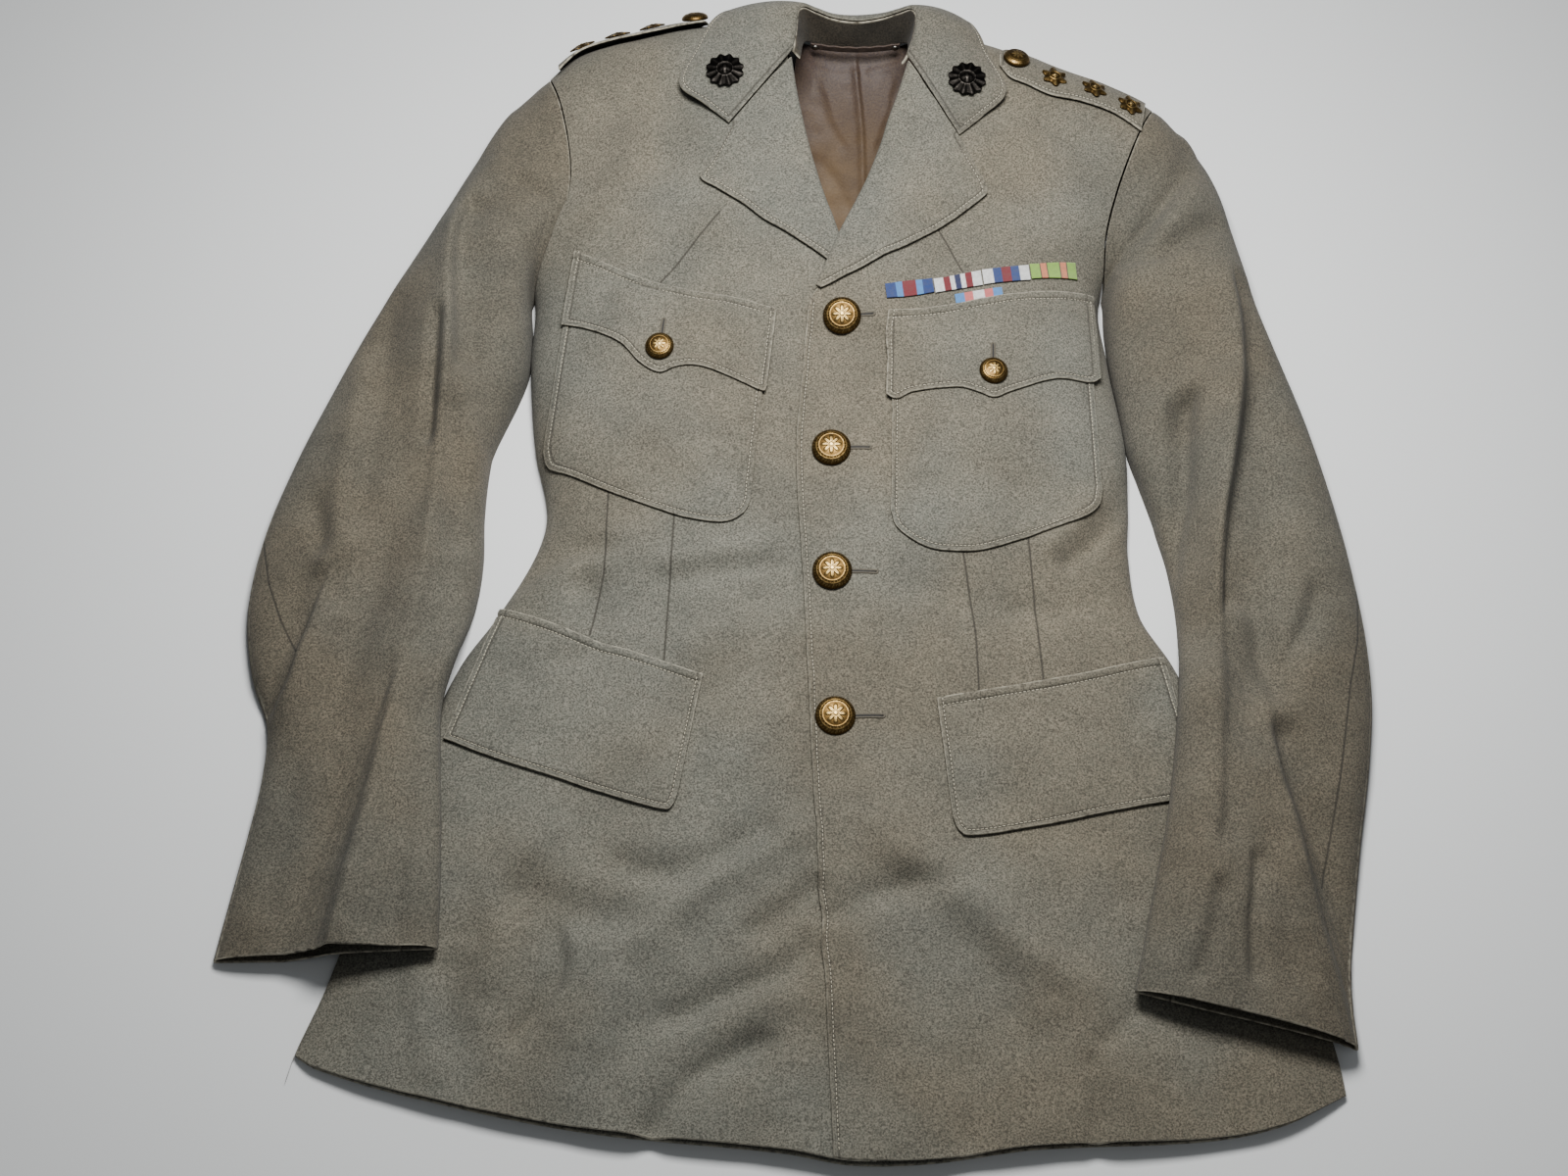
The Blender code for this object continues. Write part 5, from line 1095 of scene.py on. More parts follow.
def shell(name, face, back, cloth, edge, material):
    """A closed wall between two grids of points, standing for its solid."""
    rows, columns = face.shape[:2]
    count = rows * columns
    edge = np.broadcast_to(edge, (rows, columns))
    index = np.arange(count).reshape(rows, columns)
    quads = np.stack([index[:-1, :-1], index[:-1, 1:], index[1:, 1:], index[1:, :-1]], axis=-1).reshape(-1, 4)
    border = np.concatenate([index[0], index[1:, -1], index[-1, -2::-1], index[-2:0:-1, 0]])
    after = np.roll(border, -1)
    rim = np.stack([after, border, border + count, after + count], axis=-1)
    faces = np.vstack([quads, quads[:, ::-1] + count, rim])
    points = np.vstack([face.reshape(-1, 3), back.reshape(-1, 3)])
    if signed_volume(points, faces) < 0.0:
        faces = faces[:, ::-1]
    layers = {
        "cloth": np.vstack([cloth.reshape(-1, 3)] * 2),
        "place": points,
        "edge": np.tile(edge.ravel(), 2),
        "rim": np.tile(rim_distance(face).ravel(), 2),
    }
    item = add_object(name + "_cloth", points, faces.tolist(), material, layers)
    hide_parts(name)
    return item


def stitches(name, lines, material):
    """Short raised threads along lines, each a list of points with outward directions."""
    turns = around(THREAD_SIDES)
    chance = np.random.default_rng(len(name))
    _, sides = ring_faces(len(THREAD_RINGS), THREAD_SIDES)
    count = len(THREAD_RINGS) * THREAD_SIDES
    ends = [list(reversed(range(THREAD_SIDES))), list(range(count - THREAD_SIDES, count))]
    all_points = []
    all_faces = []
    for points, normals in lines:
        length = reach(points[None], 1)[0]
        for k in range(int(length[-1] / THREAD_PITCH)):
            middle = (k + 0.5) * THREAD_PITCH + chance.uniform(-THREAD_JITTER, THREAD_JITTER)
            centre = read_line(length, points, middle)
            outward = unit(read_line(length, normals, middle))
            ahead = read_line(length, points, middle + THREAD_LOOK)
            run = unit(ahead - read_line(length, points, middle - THREAD_LOOK))
            side = unit(np.cross(run, outward))
            lean = side * chance.uniform(-THREAD_JITTER, THREAD_JITTER)
            base = len(all_points) * THREAD_SIDES
            for ring, girth in zip(THREAD_RINGS, THREAD_GIRTHS):
                core = centre + run * ring * THREAD_LENGTH / 2 + lean * ring
                core = core + outward * (THREAD_LIFT - THREAD_DIVE * ring**2)
                spokes = np.cos(turns)[:, None] * side + np.sin(turns)[:, None] * outward
                all_points.append(core + girth * THREAD_RADIUS * spokes)
            all_faces += [[base + i for i in reversed(face)] for face in sides]
            all_faces += [[base + i for i in face] for face in ends]
    points = np.vstack(all_points)
    layers = {"cloth": points, "place": points}
    return add_object(name + "_thread", points, all_faces, material, layers)


class Graph:
    """A material's nodes, joined with few words."""

    def __init__(self, name, roughness, metallic=0.0, sheen=0.0):
        self.material = bpy.data.materials.new(name)
        self.material.use_nodes = True
        self.tree = self.material.node_tree
        self.shader = self.tree.nodes["Principled BSDF"]
        self.shader.inputs["Roughness"].default_value = roughness
        self.shader.inputs["Metallic"].default_value = metallic
        self.shader.inputs["Sheen Weight"].default_value = sheen
        self.shader.inputs["Sheen Roughness"].default_value = 0.6

    def feed(self, socket, value):
        if isinstance(value, bpy.types.NodeSocket):
            self.tree.links.new(value, socket)
        else:
            socket.default_value = value

    def node(self, kind, inputs, **settings):
        node = self.tree.nodes.new("ShaderNode" + kind)
        for name, value in settings.items():
            setattr(node, name, value)
        for key, value in inputs.items():
            self.feed(node.inputs[key], value)
        return node.outputs

    def attribute(self, name, output="Fac"):
        return self.node("Attribute", {}, attribute_name=name)[output]

    def math(self, operation, a, b=0.0):
        return self.node("Math", {0: a, 1: b}, operation=operation)[0]

    def vector(self, operation, a, b, output="Vector"):
        return self.node("VectorMath", {0: a, 1: b}, operation=operation)[output]

    def parts(self, vector):
        return self.node("SeparateXYZ", {0: vector})

    def noise(self, vector, scale, detail=2.0, roughness=0.5):
        inputs = {"Vector": vector, "Scale": scale, "Detail": detail, "Roughness": roughness}
        return self.node("TexNoise", inputs)["Fac"]

    def between(self, value, low, high, start=0.0, end=1.0):
        inputs = {"Value": value, "From Min": low, "From Max": high, "To Min": start, "To Max": end}
        return self.node("MapRange", inputs)["Result"]

    def mix(self, share, a, b, blend="MIX"):
        return self.node("Mix", {0: share, 6: a, 7: b}, data_type="RGBA", blend_type=blend)[2]

    def stripe(self, value, centre, reach):
        """1 on a line of an attribute, falling to 0 at its reach."""
        off = self.math("ABSOLUTE", self.math("SUBTRACT", value, centre))
        return self.between(off, 0.0, reach, 1.0, 0.0)

    def seam(self, place, line):
        """1 on a seam line in plan, falling to 0 beside it."""
        flat = self.vector("MULTIPLY", place, (1.0, 1.0, 0.0))
        run = (line.x1 - line.x0, line.y1 - line.y0, 0.0)
        away = self.vector("SUBTRACT", flat, (line.x0, line.y0, 0.0))
        t = self.math("DIVIDE", self.vector("DOT_PRODUCT", away, run, "Value"), math.hypot(*run) ** 2)
        held = self.between(t, 0.0, 1.0)
        step = self.node("VectorMath", {0: run, "Scale": held}, operation="SCALE")["Vector"]
        distance = self.vector("DISTANCE", away, step, "Value")
        return self.between(distance, 0.02, SEAM_REACH, 1.0, 0.0)

    def bumped(self, height, distance, strength=1.0):
        inputs = {"Height": height, "Distance": distance, "Strength": strength}
        self.feed(self.shader.inputs["Normal"], self.node("Bump", inputs)["Normal"])

    def finish(self, color):
        self.feed(self.shader.inputs["Base Color"], color)
        return self.material


def make_wool(name, seams=(), warmth=0.0, shade=NO_SHADE):
    """Twill wool of a grey-olive and brown mix, worn paler along its edges, with painted shade in the stitch
    trough and over pieces that lie in shade.
    """
    g = Graph(name, 0.95, sheen=0.05)
    place = g.attribute("place", "Vector")
    cloth = g.attribute("cloth", "Vector")
    flecks = g.noise(place, 8.5, 3.0, 0.65)
    mottle = g.noise(place, 2.2, 2.0, 0.5)
    patch = g.noise(place, 0.24, 3.0, 0.55)
    tint = g.noise(place, 0.075, 2.0, 0.5)
    hair = g.noise(g.vector("MULTIPLY", cloth, (22.0, 5.0, 9.0)), 1.0, 2.0, 0.6)
    x, y, _ = g.parts(cloth)
    twill = g.math("SINE", g.math("MULTIPLY", g.math("ADD", x, y), 2.0 * math.pi / TWILL))
    color = g.mix(g.between(flecks, 0.38, 0.62), WOOL_DARK, WOOL_LIGHT)
    color = g.mix(g.between(hair, 0.55, 0.75, 0.0, 0.35), color, WOOL_GREY)
    color = g.mix(g.between(mottle, 0.35, 0.7, 0.0, 0.32), color, WOOL_GREEN)
    brown = g.math("ADD", g.between(tint, 0.40, 0.62, 0.0, 0.75), warmth)
    color = g.mix(g.math("MINIMUM", brown, 1.0), color, WOOL_BROWN, "MULTIPLY")
    color = g.mix(g.between(patch, 0.38, 0.66, 0.0, 0.9), color, WOOL_SHADE, "MULTIPLY")
    # Painted shade: a piece that lies in shade has its whole colour darkened here.
    color = g.mix(1.0, color, shade, "MULTIPLY")
    edge = g.attribute("edge")
    worn = g.between(g.attribute("rim"), 0.0, 0.16, 0.75, 0.0)
    worn = g.math("MULTIPLY", worn, g.between(mottle, 0.3, 0.6))
    color = g.mix(worn, color, WOOL_WORN)
    # Painted shade: the stitch trough beside a sewn edge is darkened with the seam colour.
    trough = g.math("MULTIPLY", g.stripe(edge, STITCH_INSET, 0.11), 0.7)
    color = g.mix(trough, color, WOOL_SEAM_AND_TROUGH_SHADE)
    lift = g.math("MULTIPLY", g.stripe(edge, STITCH_INSET, 0.09), -0.6)
    for line in seams:
        mark = g.seam(place, line)
        color = g.mix(g.math("MULTIPLY", mark, 0.8), color, WOOL_SEAM_AND_TROUGH_SHADE)
        lift = g.math("SUBTRACT", lift, mark)
    grain = g.math("ADD", g.math("MULTIPLY", flecks, 0.9), g.math("MULTIPLY", twill, 0.14))
    grain = g.math("ADD", grain, g.math("MULTIPLY", hair, 0.5))
    g.bumped(g.math("ADD", grain, lift), 0.0004, 0.7)
    return g.finish(color)


def make_thread(name, color, dark):
    g = Graph(name, 0.7, sheen=0.15)
    ply = g.noise(g.attribute("place", "Vector"), 24.0, 2.0)
    g.bumped(ply, 0.0002)
    return g.finish(g.mix(g.between(ply, 0.3, 0.7), dark, color))


def make_lining():
    """Brown lining twill, stained purple-brown towards the collar and worn to tan below."""
    g = Graph("lining_twill", 0.6, sheen=0.08)
    place = g.attribute("place", "Vector")
    blotch = g.noise(place, 0.45, 4.0, 0.6)
    fine = g.noise(place, 7.0, 3.0, 0.6)
    threads = g.noise(g.vector("MULTIPLY", place, (30.0, 6.0, 6.0)), 1.0, 2.0)
    level = g.math("ADD", g.parts(place)[1], g.math("MULTIPLY", blotch, 7.0))
    color = g.mix(g.between(level, 35.5, 46.0), LINING_TAN, LINING_PURPLE)
    color = g.mix(g.between(blotch, 0.42, 0.7, 0.0, 0.6), color, LINING_STAIN)
    color = g.mix(g.between(fine, 0.35, 0.7, 0.0, 0.35), color, LINING_PALE)
    g.bumped(g.math("ADD", fine, g.math("MULTIPLY", threads, 0.6)), 0.0003, 0.6)
    return g.finish(color)


def make_metal(name, bright, dark, roughness):
    """Struck metal, dark in its hollows and rubbed on its high places."""
    g = Graph(name, roughness, metallic=1.0)
    place = g.attribute("place", "Vector")
    stain = g.noise(place, 3.5, 4.0, 0.6)
    fine = g.noise(place, 16.0, 3.0, 0.6)
    rubbed = g.math("ADD", g.attribute("relief"), g.between(stain, 0.3, 0.7, -0.35, 0.25))
    color = g.mix(g.between(rubbed, 0.15, 1.15), dark, bright)
    g.feed(g.shader.inputs["Roughness"], g.between(fine, 0.3, 0.7, roughness - 0.08, roughness + 0.12))
    g.bumped(fine, 0.00008, 0.5)
    return g.finish(color)


def make_ribbon(name):
    """Ribbed silk: bands along its length and fine ribs across it, with painted shade in the grooves between
    the ribs.
    """
    g = Graph(name + "_silk", 0.62, sheen=0.25)
    cloth = g.attribute("cloth", "Vector")
    x = g.parts(cloth)[0]
    wander = g.math("SUBTRACT", g.noise(cloth, 6.0, 2.0), 0.5)
    across = g.math("DIVIDE", g.math("ADD", x, g.math("MULTIPLY", wander, 0.03)), RIBBON_LENGTH)
    half = HALF_BANDS[name]
    place, color = half[0]
    for width, next_color in half[1:] + half[-2::-1]:
        color = g.mix(g.between(across, place - BAND_BLEND, place + BAND_BLEND), color, next_color)
        place += width
    rib = g.math("SINE", g.math("MULTIPLY", x, 2.0 * math.pi / RIB))
    dirt = g.noise(cloth, 4.0, 4.0, 0.65)
    color = g.mix(g.between(dirt, 0.4, 0.75, 0.0, 0.35), color, RIBBON_DIRT)
    # Painted shade: the grooves between the ribs are darkened towards black.
    color = g.mix(g.between(rib, -1.0, 1.0, 0.22, 0.0), color, BLACK)
    g.bumped(g.math("ADD", g.math("MULTIPLY", rib, 0.5), dirt), 0.0003, 0.8)
    return g.finish(color)


def plain(name, color, roughness):
    return Graph(name, roughness).finish(color)


def height_at(line, x):
    """How far up the plan the hem's or the shoulders' line runs at X."""
    return read_table(line, "x", "y", x)


def front_grid(edge, side_column, armhole, sign, inset_from):
    """Places in plan over one front, from its inner edge out to its side."""
    side_low = HEM[0] if side_column == "right_edge" else HEM[-1]
    low_x = edge[0].x
    low_y = float(height_at(HEM, low_x))
    end = armhole[-1]
    top_x = edge[-1].x
    top_y = float(height_at(SHOULDER, top_x))
    v = spaced([UNDERARM_Y - low_y], RIM_LINES, [0.0], FRONT_ROWS)[0]
    inner_y = low_y + (UNDERARM_Y - low_y) * v
    side_y = side_low.y + (UNDERARM_Y - side_low.y) * v
    side_x = read_table(BODY, "y", side_column, side_y)
    side_x[0] = side_low.x
    high = (1.0 - np.cos(np.linspace(0.0, math.pi, ARMHOLE_ROWS + 1)[1:])) / 2.0
    arm_x, arm_y = along(armhole, high)
    high_y = UNDERARM_Y + (top_y - UNDERARM_Y) * high
    inner_y = np.concatenate([inner_y, high_y])[:, None]
    side_x = np.concatenate([side_x, arm_x])[:, None]
    side_y = np.concatenate([side_y, arm_y])[:, None]
    inner_x = read_table(edge, "y", "x", inner_y)
    inner_x = inner_x + sign * ROLL_INSET * smoothstep(inset_from, inset_from + ROLL_FADE, inner_y)
    u = spaced(np.abs(side_x - inner_x), EDGE_LINES, RIM_LINES, FRONT_COLUMNS, SIDE_EASE)
    hem_bend = height_at(HEM, low_x + (side_low.x - low_x) * u) - (low_y + (side_low.y - low_y) * u)
    shoulder_bend = height_at(SHOULDER, top_x + (end.x - top_x) * u) - (top_y + (end.y - top_y) * u)
    low_share = np.concatenate([1.0 - v, np.zeros(len(high))])[:, None]
    high_share = np.concatenate([np.zeros(len(v)), high])[:, None]
    x = inner_x + (side_x - inner_x) * u
    y = inner_y + (side_y - inner_y) * u + hem_bend * low_share + shoulder_bend * high_share
    return x, y


def build_front(name, edge, side_column, armhole, over, sign, inset_from, material):
    x, y = front_grid(edge, side_column, armhole, sign, inset_from)
    surface = Surface(x, y, over)
    edge_y = np.arange(EDGE_START, inset_from, EDGE_STEP)
    line = np.stack([read_table(edge, "y", "x", edge_y), edge_y], axis=-1)
    distance = line_distance(surface.base, line)
    relief = surface.normal * sewn_relief(distance)[..., None]
    face, back = round_rims(surface.point(0.0), surface.point(-WALL))
    return shell(name, face + relief, back, join(x, y, 0.0), distance, material)


def outline_of_back():
    """The back panel in plan, going round from the hem's right corner."""
    hem_x = np.linspace(HEM[0].x, HEM[-1].x, 160)
    left_y = np.linspace(HEM[-1].y, UNDERARM_Y, 140)[1:]
    right_y = left_y[::-1]
    arm_left = along(ARMHOLE_LEFT, np.linspace(0.0, 1.0, 50)[1:])
    arm_right = along(ARMHOLE_RIGHT, np.linspace(1.0, 0.0, 50)[1:])
    left_x = np.linspace(ARMHOLE_LEFT[-1].x, FRONT_LEFT_EDGE[-1].x, 40)[1:]
    right_x = np.linspace(FRONT_RIGHT_EDGE[-1].x, ARMHOLE_RIGHT[-1].x, 40)
    return np.vstack([
        np.stack([hem_x, height_at(HEM, hem_x)], axis=-1),
        np.stack([read_table(BODY, "y", "left_edge", left_y), left_y], axis=-1),
        np.stack(arm_left, axis=-1),
        np.stack([left_x, height_at(SHOULDER, left_x)], axis=-1),
        np.array(BACK_NECK, float),
        np.stack([right_x, height_at(SHOULDER, right_x)], axis=-1),
        np.stack(arm_right, axis=-1),
        np.stack([read_table(BODY, "y", "right_edge", right_y), right_y], axis=-1)[:-1],
    ])


def build_back(material):
    """The back lies flat on the surface, round at its rim."""
    outline = outline_of_back()
    count = len(outline)
    run = unit(np.roll(outline, -1, axis=0) - np.roll(outline, 1, axis=0))
    inward = np.stack([-run[:, 1], run[:, 0]], axis=-1)
    rings = [outline + inward * inset for inset in BACK_RIM_RINGS]
    low = BACK_LATTICE_LOW
    high = BACK_LATTICE_HIGH
    grid = np.meshgrid(np.arange(low.x, high.x, BACK_LATTICE), np.arange(low.y, high.y, BACK_LATTICE))
    plan = np.vstack(rings + [np.stack([part.ravel() for part in grid], axis=-1)])
    edges = [(i, (i + 1) % count) for i in range(count)]
    verts, _, faces, _, _, _ = delaunay_2d_cdt([Vector(p) for p in plan], edges, [], 1, 1e-5)
    flat = np.array([(v.x, v.y) for v in verts])
    distance = line_distance(flat, np.vstack([outline, outline[:1]]))
    thick = np.sqrt(1.0 - (1.0 - np.clip(distance / BACK_RIM_RADIUS, 0.0, 1.0)) ** 2)
    half = BACK_TOP / 2 * np.maximum(thick, RIM_THINNEST)
    points = np.vstack([join(flat[:, 0], flat[:, 1], BACK_TOP / 2 + side * half) for side in (1.0, -1.0)])
    number = len(flat)
    skins = [tuple(face) for face in faces]
    open_edges = {}
    for face in skins:
        for a, b in zip(face, face[1:] + face[:1]):
            open_edges[(a, b)] = open_edges.get((a, b), 0) + 1
    rim = [(b, a, a + number, b + number) for a, b in open_edges if (b, a) not in open_edges]
    solid = skins + [tuple(i + number for i in reversed(face)) for face in skins] + rim
    edge = np.full(len(points), NO_EDGE)
    layers = {"cloth": points, "place": points, "edge": edge, "rim": np.tile(distance, 2)}
    item = add_object("back_cloth", points, solid, material, layers)
    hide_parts("back")
    return item


def sleeve_support(x, y):
    """Height that the skirt holds the sleeve at, widened so the sleeve bridges its edge."""
    total = np.zeros(np.shape(x))
    right = read_table(BODY, "y", "right_edge", y)
    left = read_table(BODY, "y", "left_edge", y)
    for shift in BRIDGE_BLUR:
        tops = np.zeros(np.shape(x))
        for extra in BRIDGE_REACH:
            place = x + shift + extra
            inside = (place > right) & (place < left)
            height = body_height(np.clip(place, right, left), y, False) + RIDE_CLEARANCE
            tops = np.maximum(tops, np.where(inside, height, 0.0))
        total += tops
    return total / len(BRIDGE_BLUR)


def sleeve_plan(rung, armhole, outward, share):
    arm_x, arm_y = along(armhole, share)
    chord_x = armhole[0].x + (armhole[-1].x - armhole[0].x) * share
    chord_y = armhole[0].y + (armhole[-1].y - armhole[0].y) * share
    x = rung.inner_x + (rung.outer_x - rung.inner_x) * share + (arm_x - chord_x) * rung.bow
    y = rung.inner_y + (rung.outer_y - rung.inner_y) * share + (arm_y - chord_y) * rung.bow
    return x + outward * ARMHOLE_GAP, y


def sleeve_rows(rungs, count):
    """Rows along the sleeve's middle line."""
    rung = read_rows(rungs, np.linspace(0.0, 1.0, PATH_SAMPLES))
    middle = np.stack([(rung.inner_x + rung.outer_x) / 2, (rung.inner_y + rung.outer_y) / 2], axis=-1)
    return even_rows(middle, RIM_LINES, EDGE_LINES, count)


def sleeve_skins(sleeve, at, run, angles):
    """Outer and inner grids of a stretch round the sleeve."""
    rung = read_rows(sleeve.rungs, at[:, None])
    angle = np.radians(angles)[None, :]
    share = (1.0 - np.cos(angle)) / 2.0
    width = np.hypot(rung.outer_x - rung.inner_x, rung.outer_y - rung.inner_y)
    x, y = sleeve_plan(rung, sleeve.armhole, sleeve.outward, share)
    base = np.where(rung.ride > 0.0, sleeve_support(x, y) * rung.ride, 0.0)
    rise = np.maximum(np.sin(angle), 0.0)
    swell = rise**SLEEVE_ROUNDNESS
    relief = sum(line_fold(x, y, fold) for fold in sleeve.folds) + creases_height(x, y, sleeve.creases)
    relief = relief + swells_height(x + SLEEVE_SWELL_SHIFT, y)
    own = base + rung.crown * swell + relief * swell
    shaped = body_height(x, y) * np.minimum(1.0, rise * 3.0)
    puff = HEAD_PUFF * bump(run[:, None], HEAD_PUFF_RUN, HEAD_PUFF_REACH)
    top = own + (shaped - own) * rung.shaped + puff * swell
    level = np.clip(rung.inner_y, sleeve.close[0].y, sleeve.close[-1].y)
    lean = read_table(sleeve.close, "y", "reach", level) * (1.0 - share) ** 2
    lean = lean + SEAM_CLOSE * bump(run[:, None], 0.0, SEAM_CLOSE_REACH)
    skins = []
    for inset in (0.0, WALL):
        inner_share = (inset + (width - 2.0 * inset) * share) / width
        place_x, place_y = sleeve_plan(rung, sleeve.armhole, sleeve.outward, inner_share)
        height = np.maximum(top - inset * (2.0 * swell - 1.0), base + inset)
        height = np.where(rise <= 0.0, base + inset, height)
        skins.append(join(place_x - sleeve.outward * lean, place_y, height))
    return skins


def build_sleeve(sleeve, material):
    """The top sleeve and the under sleeve, parted at the two seams of the arm."""
    low = INNER_SEAM_ANGLE
    high = HIND_SEAM_ANGLE
    spans = [
        ("top_sleeve_", low, high, TOP_SLEEVE_COLUMNS, SLEEVE_ROWS),
        ("under_sleeve_", high + HIND_GAP_ANGLE, 360.0 + low - INNER_GAP_ANGLE, UNDER_SLEEVE_COLUMNS,
         UNDER_SLEEVE_ROWS),
    ]
    made = {}
    for name, first, last, columns, rows in spans:
        at, run, length = sleeve_rows(sleeve.rungs, rows)
        wide = (last - first) * SLEEVE_CM_PER_DEGREE
        angles = first + (last - first) * spaced([wide], RIM_LINES, RIM_LINES, columns)[0]
        outer, inner = sleeve_skins(sleeve, at, run, angles)
        face, back = round_rims(outer, inner)
        cloth = join(reach(outer, 1), run[:, None], 0.0)
        edge = (length - run)[:, None] + CUFF_FROM_STITCH
        made[name + sleeve.side] = shell(name + sleeve.side, face, back, cloth, edge, material)
    return made


def across(rung, t):
    """Places in plan between a rung's two ends."""
    return rung.top_x + (rung.end_x - rung.top_x) * t, rung.top_y + (rung.end_y - rung.top_y) * t


def rung_length(rung):
    return np.hypot(rung.end_x - rung.top_x, rung.end_y - rung.top_y)


def strip_border(strips, names):
    """The sewn borders of a laid piece as one plan line, in the order given."""
    parts = []
    for name in names:
        t = np.linspace(0.0, 1.0, BORDER_SAMPLES)
        if name == "end":
            rung = read_rows(strips, t)
            parts.append(np.stack([rung.end_x, rung.end_y], axis=-1))
        elif name == "first":
            parts.append(np.stack(across(strips[0], t), axis=-1))
        else:
            parts.append(np.stack(across(strips[-1], 1.0 - t), axis=-1))
    line = np.vstack(parts)
    keep = np.concatenate([[True], np.hypot(*np.diff(line, axis=0).T) > 1e-4])
    return line[keep]


def roll_edge(outer, inner, roll, direction, normal, angle, wall):
    """Carry both skins of a piece on round its rolled edge."""
    turn = np.linspace(angle, 0.0, ROLL_STEPS + 1)[:-1][None, :, None]
    centre = outer[:, 0:1] - normal * roll
    spoke = normal * np.cos(turn) - direction * np.sin(turn)
    outer = np.concatenate([centre + spoke * roll, outer], axis=1)
    return outer, np.concatenate([centre + spoke * (roll - wall), inner], axis=1)


def build_laid(piece, material):
    """A flat piece on the fronts. A lapel also rolls round the front's edge."""
    is_lapel = piece.name.startswith("lapel")
    is_flap = "flap" in piece.name
    is_strap = piece.curl > 0.0
    ends = (RIM_LINES, [0.0]) if is_lapel else (EDGE_LINES, EDGE_LINES)
    rung = read_rows(piece.strips, np.linspace(0.0, 1.0, STRIP_SAMPLES))
    middle = np.stack([(rung.top_x + rung.end_x) / 2, (rung.top_y + rung.end_y) / 2], axis=-1)
    at = even_rows(middle, *ends, piece.rows)[0]
    rung = read_rows(piece.strips, at[:, None])
    run = rung_length(rung)
    low_lines = FLAP_LINES if is_flap else EDGE_LINES if is_strap else RIM_LINES
    t = spaced(run, low_lines, EDGE_LINES, piece.columns)
    roll = np.minimum(ROLL_RADIUS, LAPEL_ROLL_SHARE * run)
    if is_lapel:
        t = (roll + (run - roll) * t) / run
    x, y = across(rung, t)
    surface = Surface(x, y, piece.over)
    lift = piece.lift + piece.curl * (1.0 - t)
    if is_lapel:
        spring = np.sin(math.pi * np.clip(t, 0.0, 1.0)) * smoothstep(LAPEL_SPRING_START, LAPEL_SPRING_FULL, y)
        lift = lift + LAPEL_SPRING * spring
    outer = surface.point(lift + piece.wall)
    inner = surface.point(lift)
    if is_lapel:
        inner = surface.point(lift + piece.wall - SHELL_WALL)
        direction = unit(outer[:, 1:2] - outer[:, 0:1])
        thick = np.minimum(SHELL_WALL, roll * 0.7)[..., None]
        normal = surface.normal[:, 0:1]
        outer, inner = roll_edge(outer, inner, roll[..., None], direction, normal, math.pi, thick)
    if piece.borders:
        distance = line_distance(outer, strip_border(piece.strips, piece.borders))
        if is_lapel:
            distance[:, :ROLL_STEPS] = NO_EDGE
    else:
        distance = np.minimum(np.minimum(reach(outer, 1), reach(outer, 1, True)), reach(outer, 0))
    height = sewn_relief(distance)
    if is_flap:
        top = reach(outer, 1)
        height = height - FLAP_SEAM_DEPTH * bump(top, FLAP_SEAM_INSET, 0.1)
        height = height + FLAP_TOP_PUFF * bump(top, 0.3, 0.2)
        from_seam = np.abs(top - FLAP_SEAM_INSET) + STITCH_INSET
        distance = np.where(top < 1.0, np.minimum(distance, from_seam), distance)
    face, back = round_rims(outer, inner)
    face = face + unit(outer - inner) * height[..., None]
    cloth = join(face[..., 0] + LAID_WEAVE, face[..., 1], 0.0)
    return shell(piece.name, face, back, cloth, distance, material)


def collar_rungs(at):
    rung = read_rows(COLLAR, at)
    fold = join(rung.x, rung.y, rung.z)
    edge = join(rung.fall_x, rung.fall_y, rung.fall_z)
    seam = join(rung.seam_x, rung.seam_y, rung.seam_z)
    ahead = read_rows(COLLAR, np.minimum(1.0, at + COLLAR_STEP))
    behind = read_rows(COLLAR, np.maximum(0.0, at - COLLAR_STEP))
    tangent = unit(join(ahead.x - behind.x, ahead.y - behind.y, ahead.z - behind.z))
    normal = unit(np.cross(edge - fold, tangent))
    normal = np.where(normal[..., 2:] < 0.0, -normal, normal)
    side = unit(np.cross(unit(seam - fold), tangent))
    towards = np.array([NECK_CENTRE.x, NECK_CENTRE.y, 0.0]) - fold
    towards[..., 2] = 0.0
    side = np.where((side * towards).sum(axis=-1, keepdims=True) < 0.0, -side, side)
    return fold, edge, seam, normal, side


def fall_point(fold, edge, normal, t, wave):
    """Places on the fall, from the collar's fold at t = 0 to its outer edge at 1."""
    swell = FALL_BULGE * 4.0 * t * (1.0 - t) + wave * t
    return fold + (edge - fold) * t[..., None] + normal * swell[..., None]


def collar_wave(at):
    """The fall's long waves, still at the collar's two ends."""
    still = smoothstep(0.0, COLLAR_END_FADE, at) * smoothstep(0.0, COLLAR_END_FADE, 1.0 - at)
    return sum(wave.height * np.sin(at * wave.turns + wave.phase) for wave in COLLAR_WAVES) * still


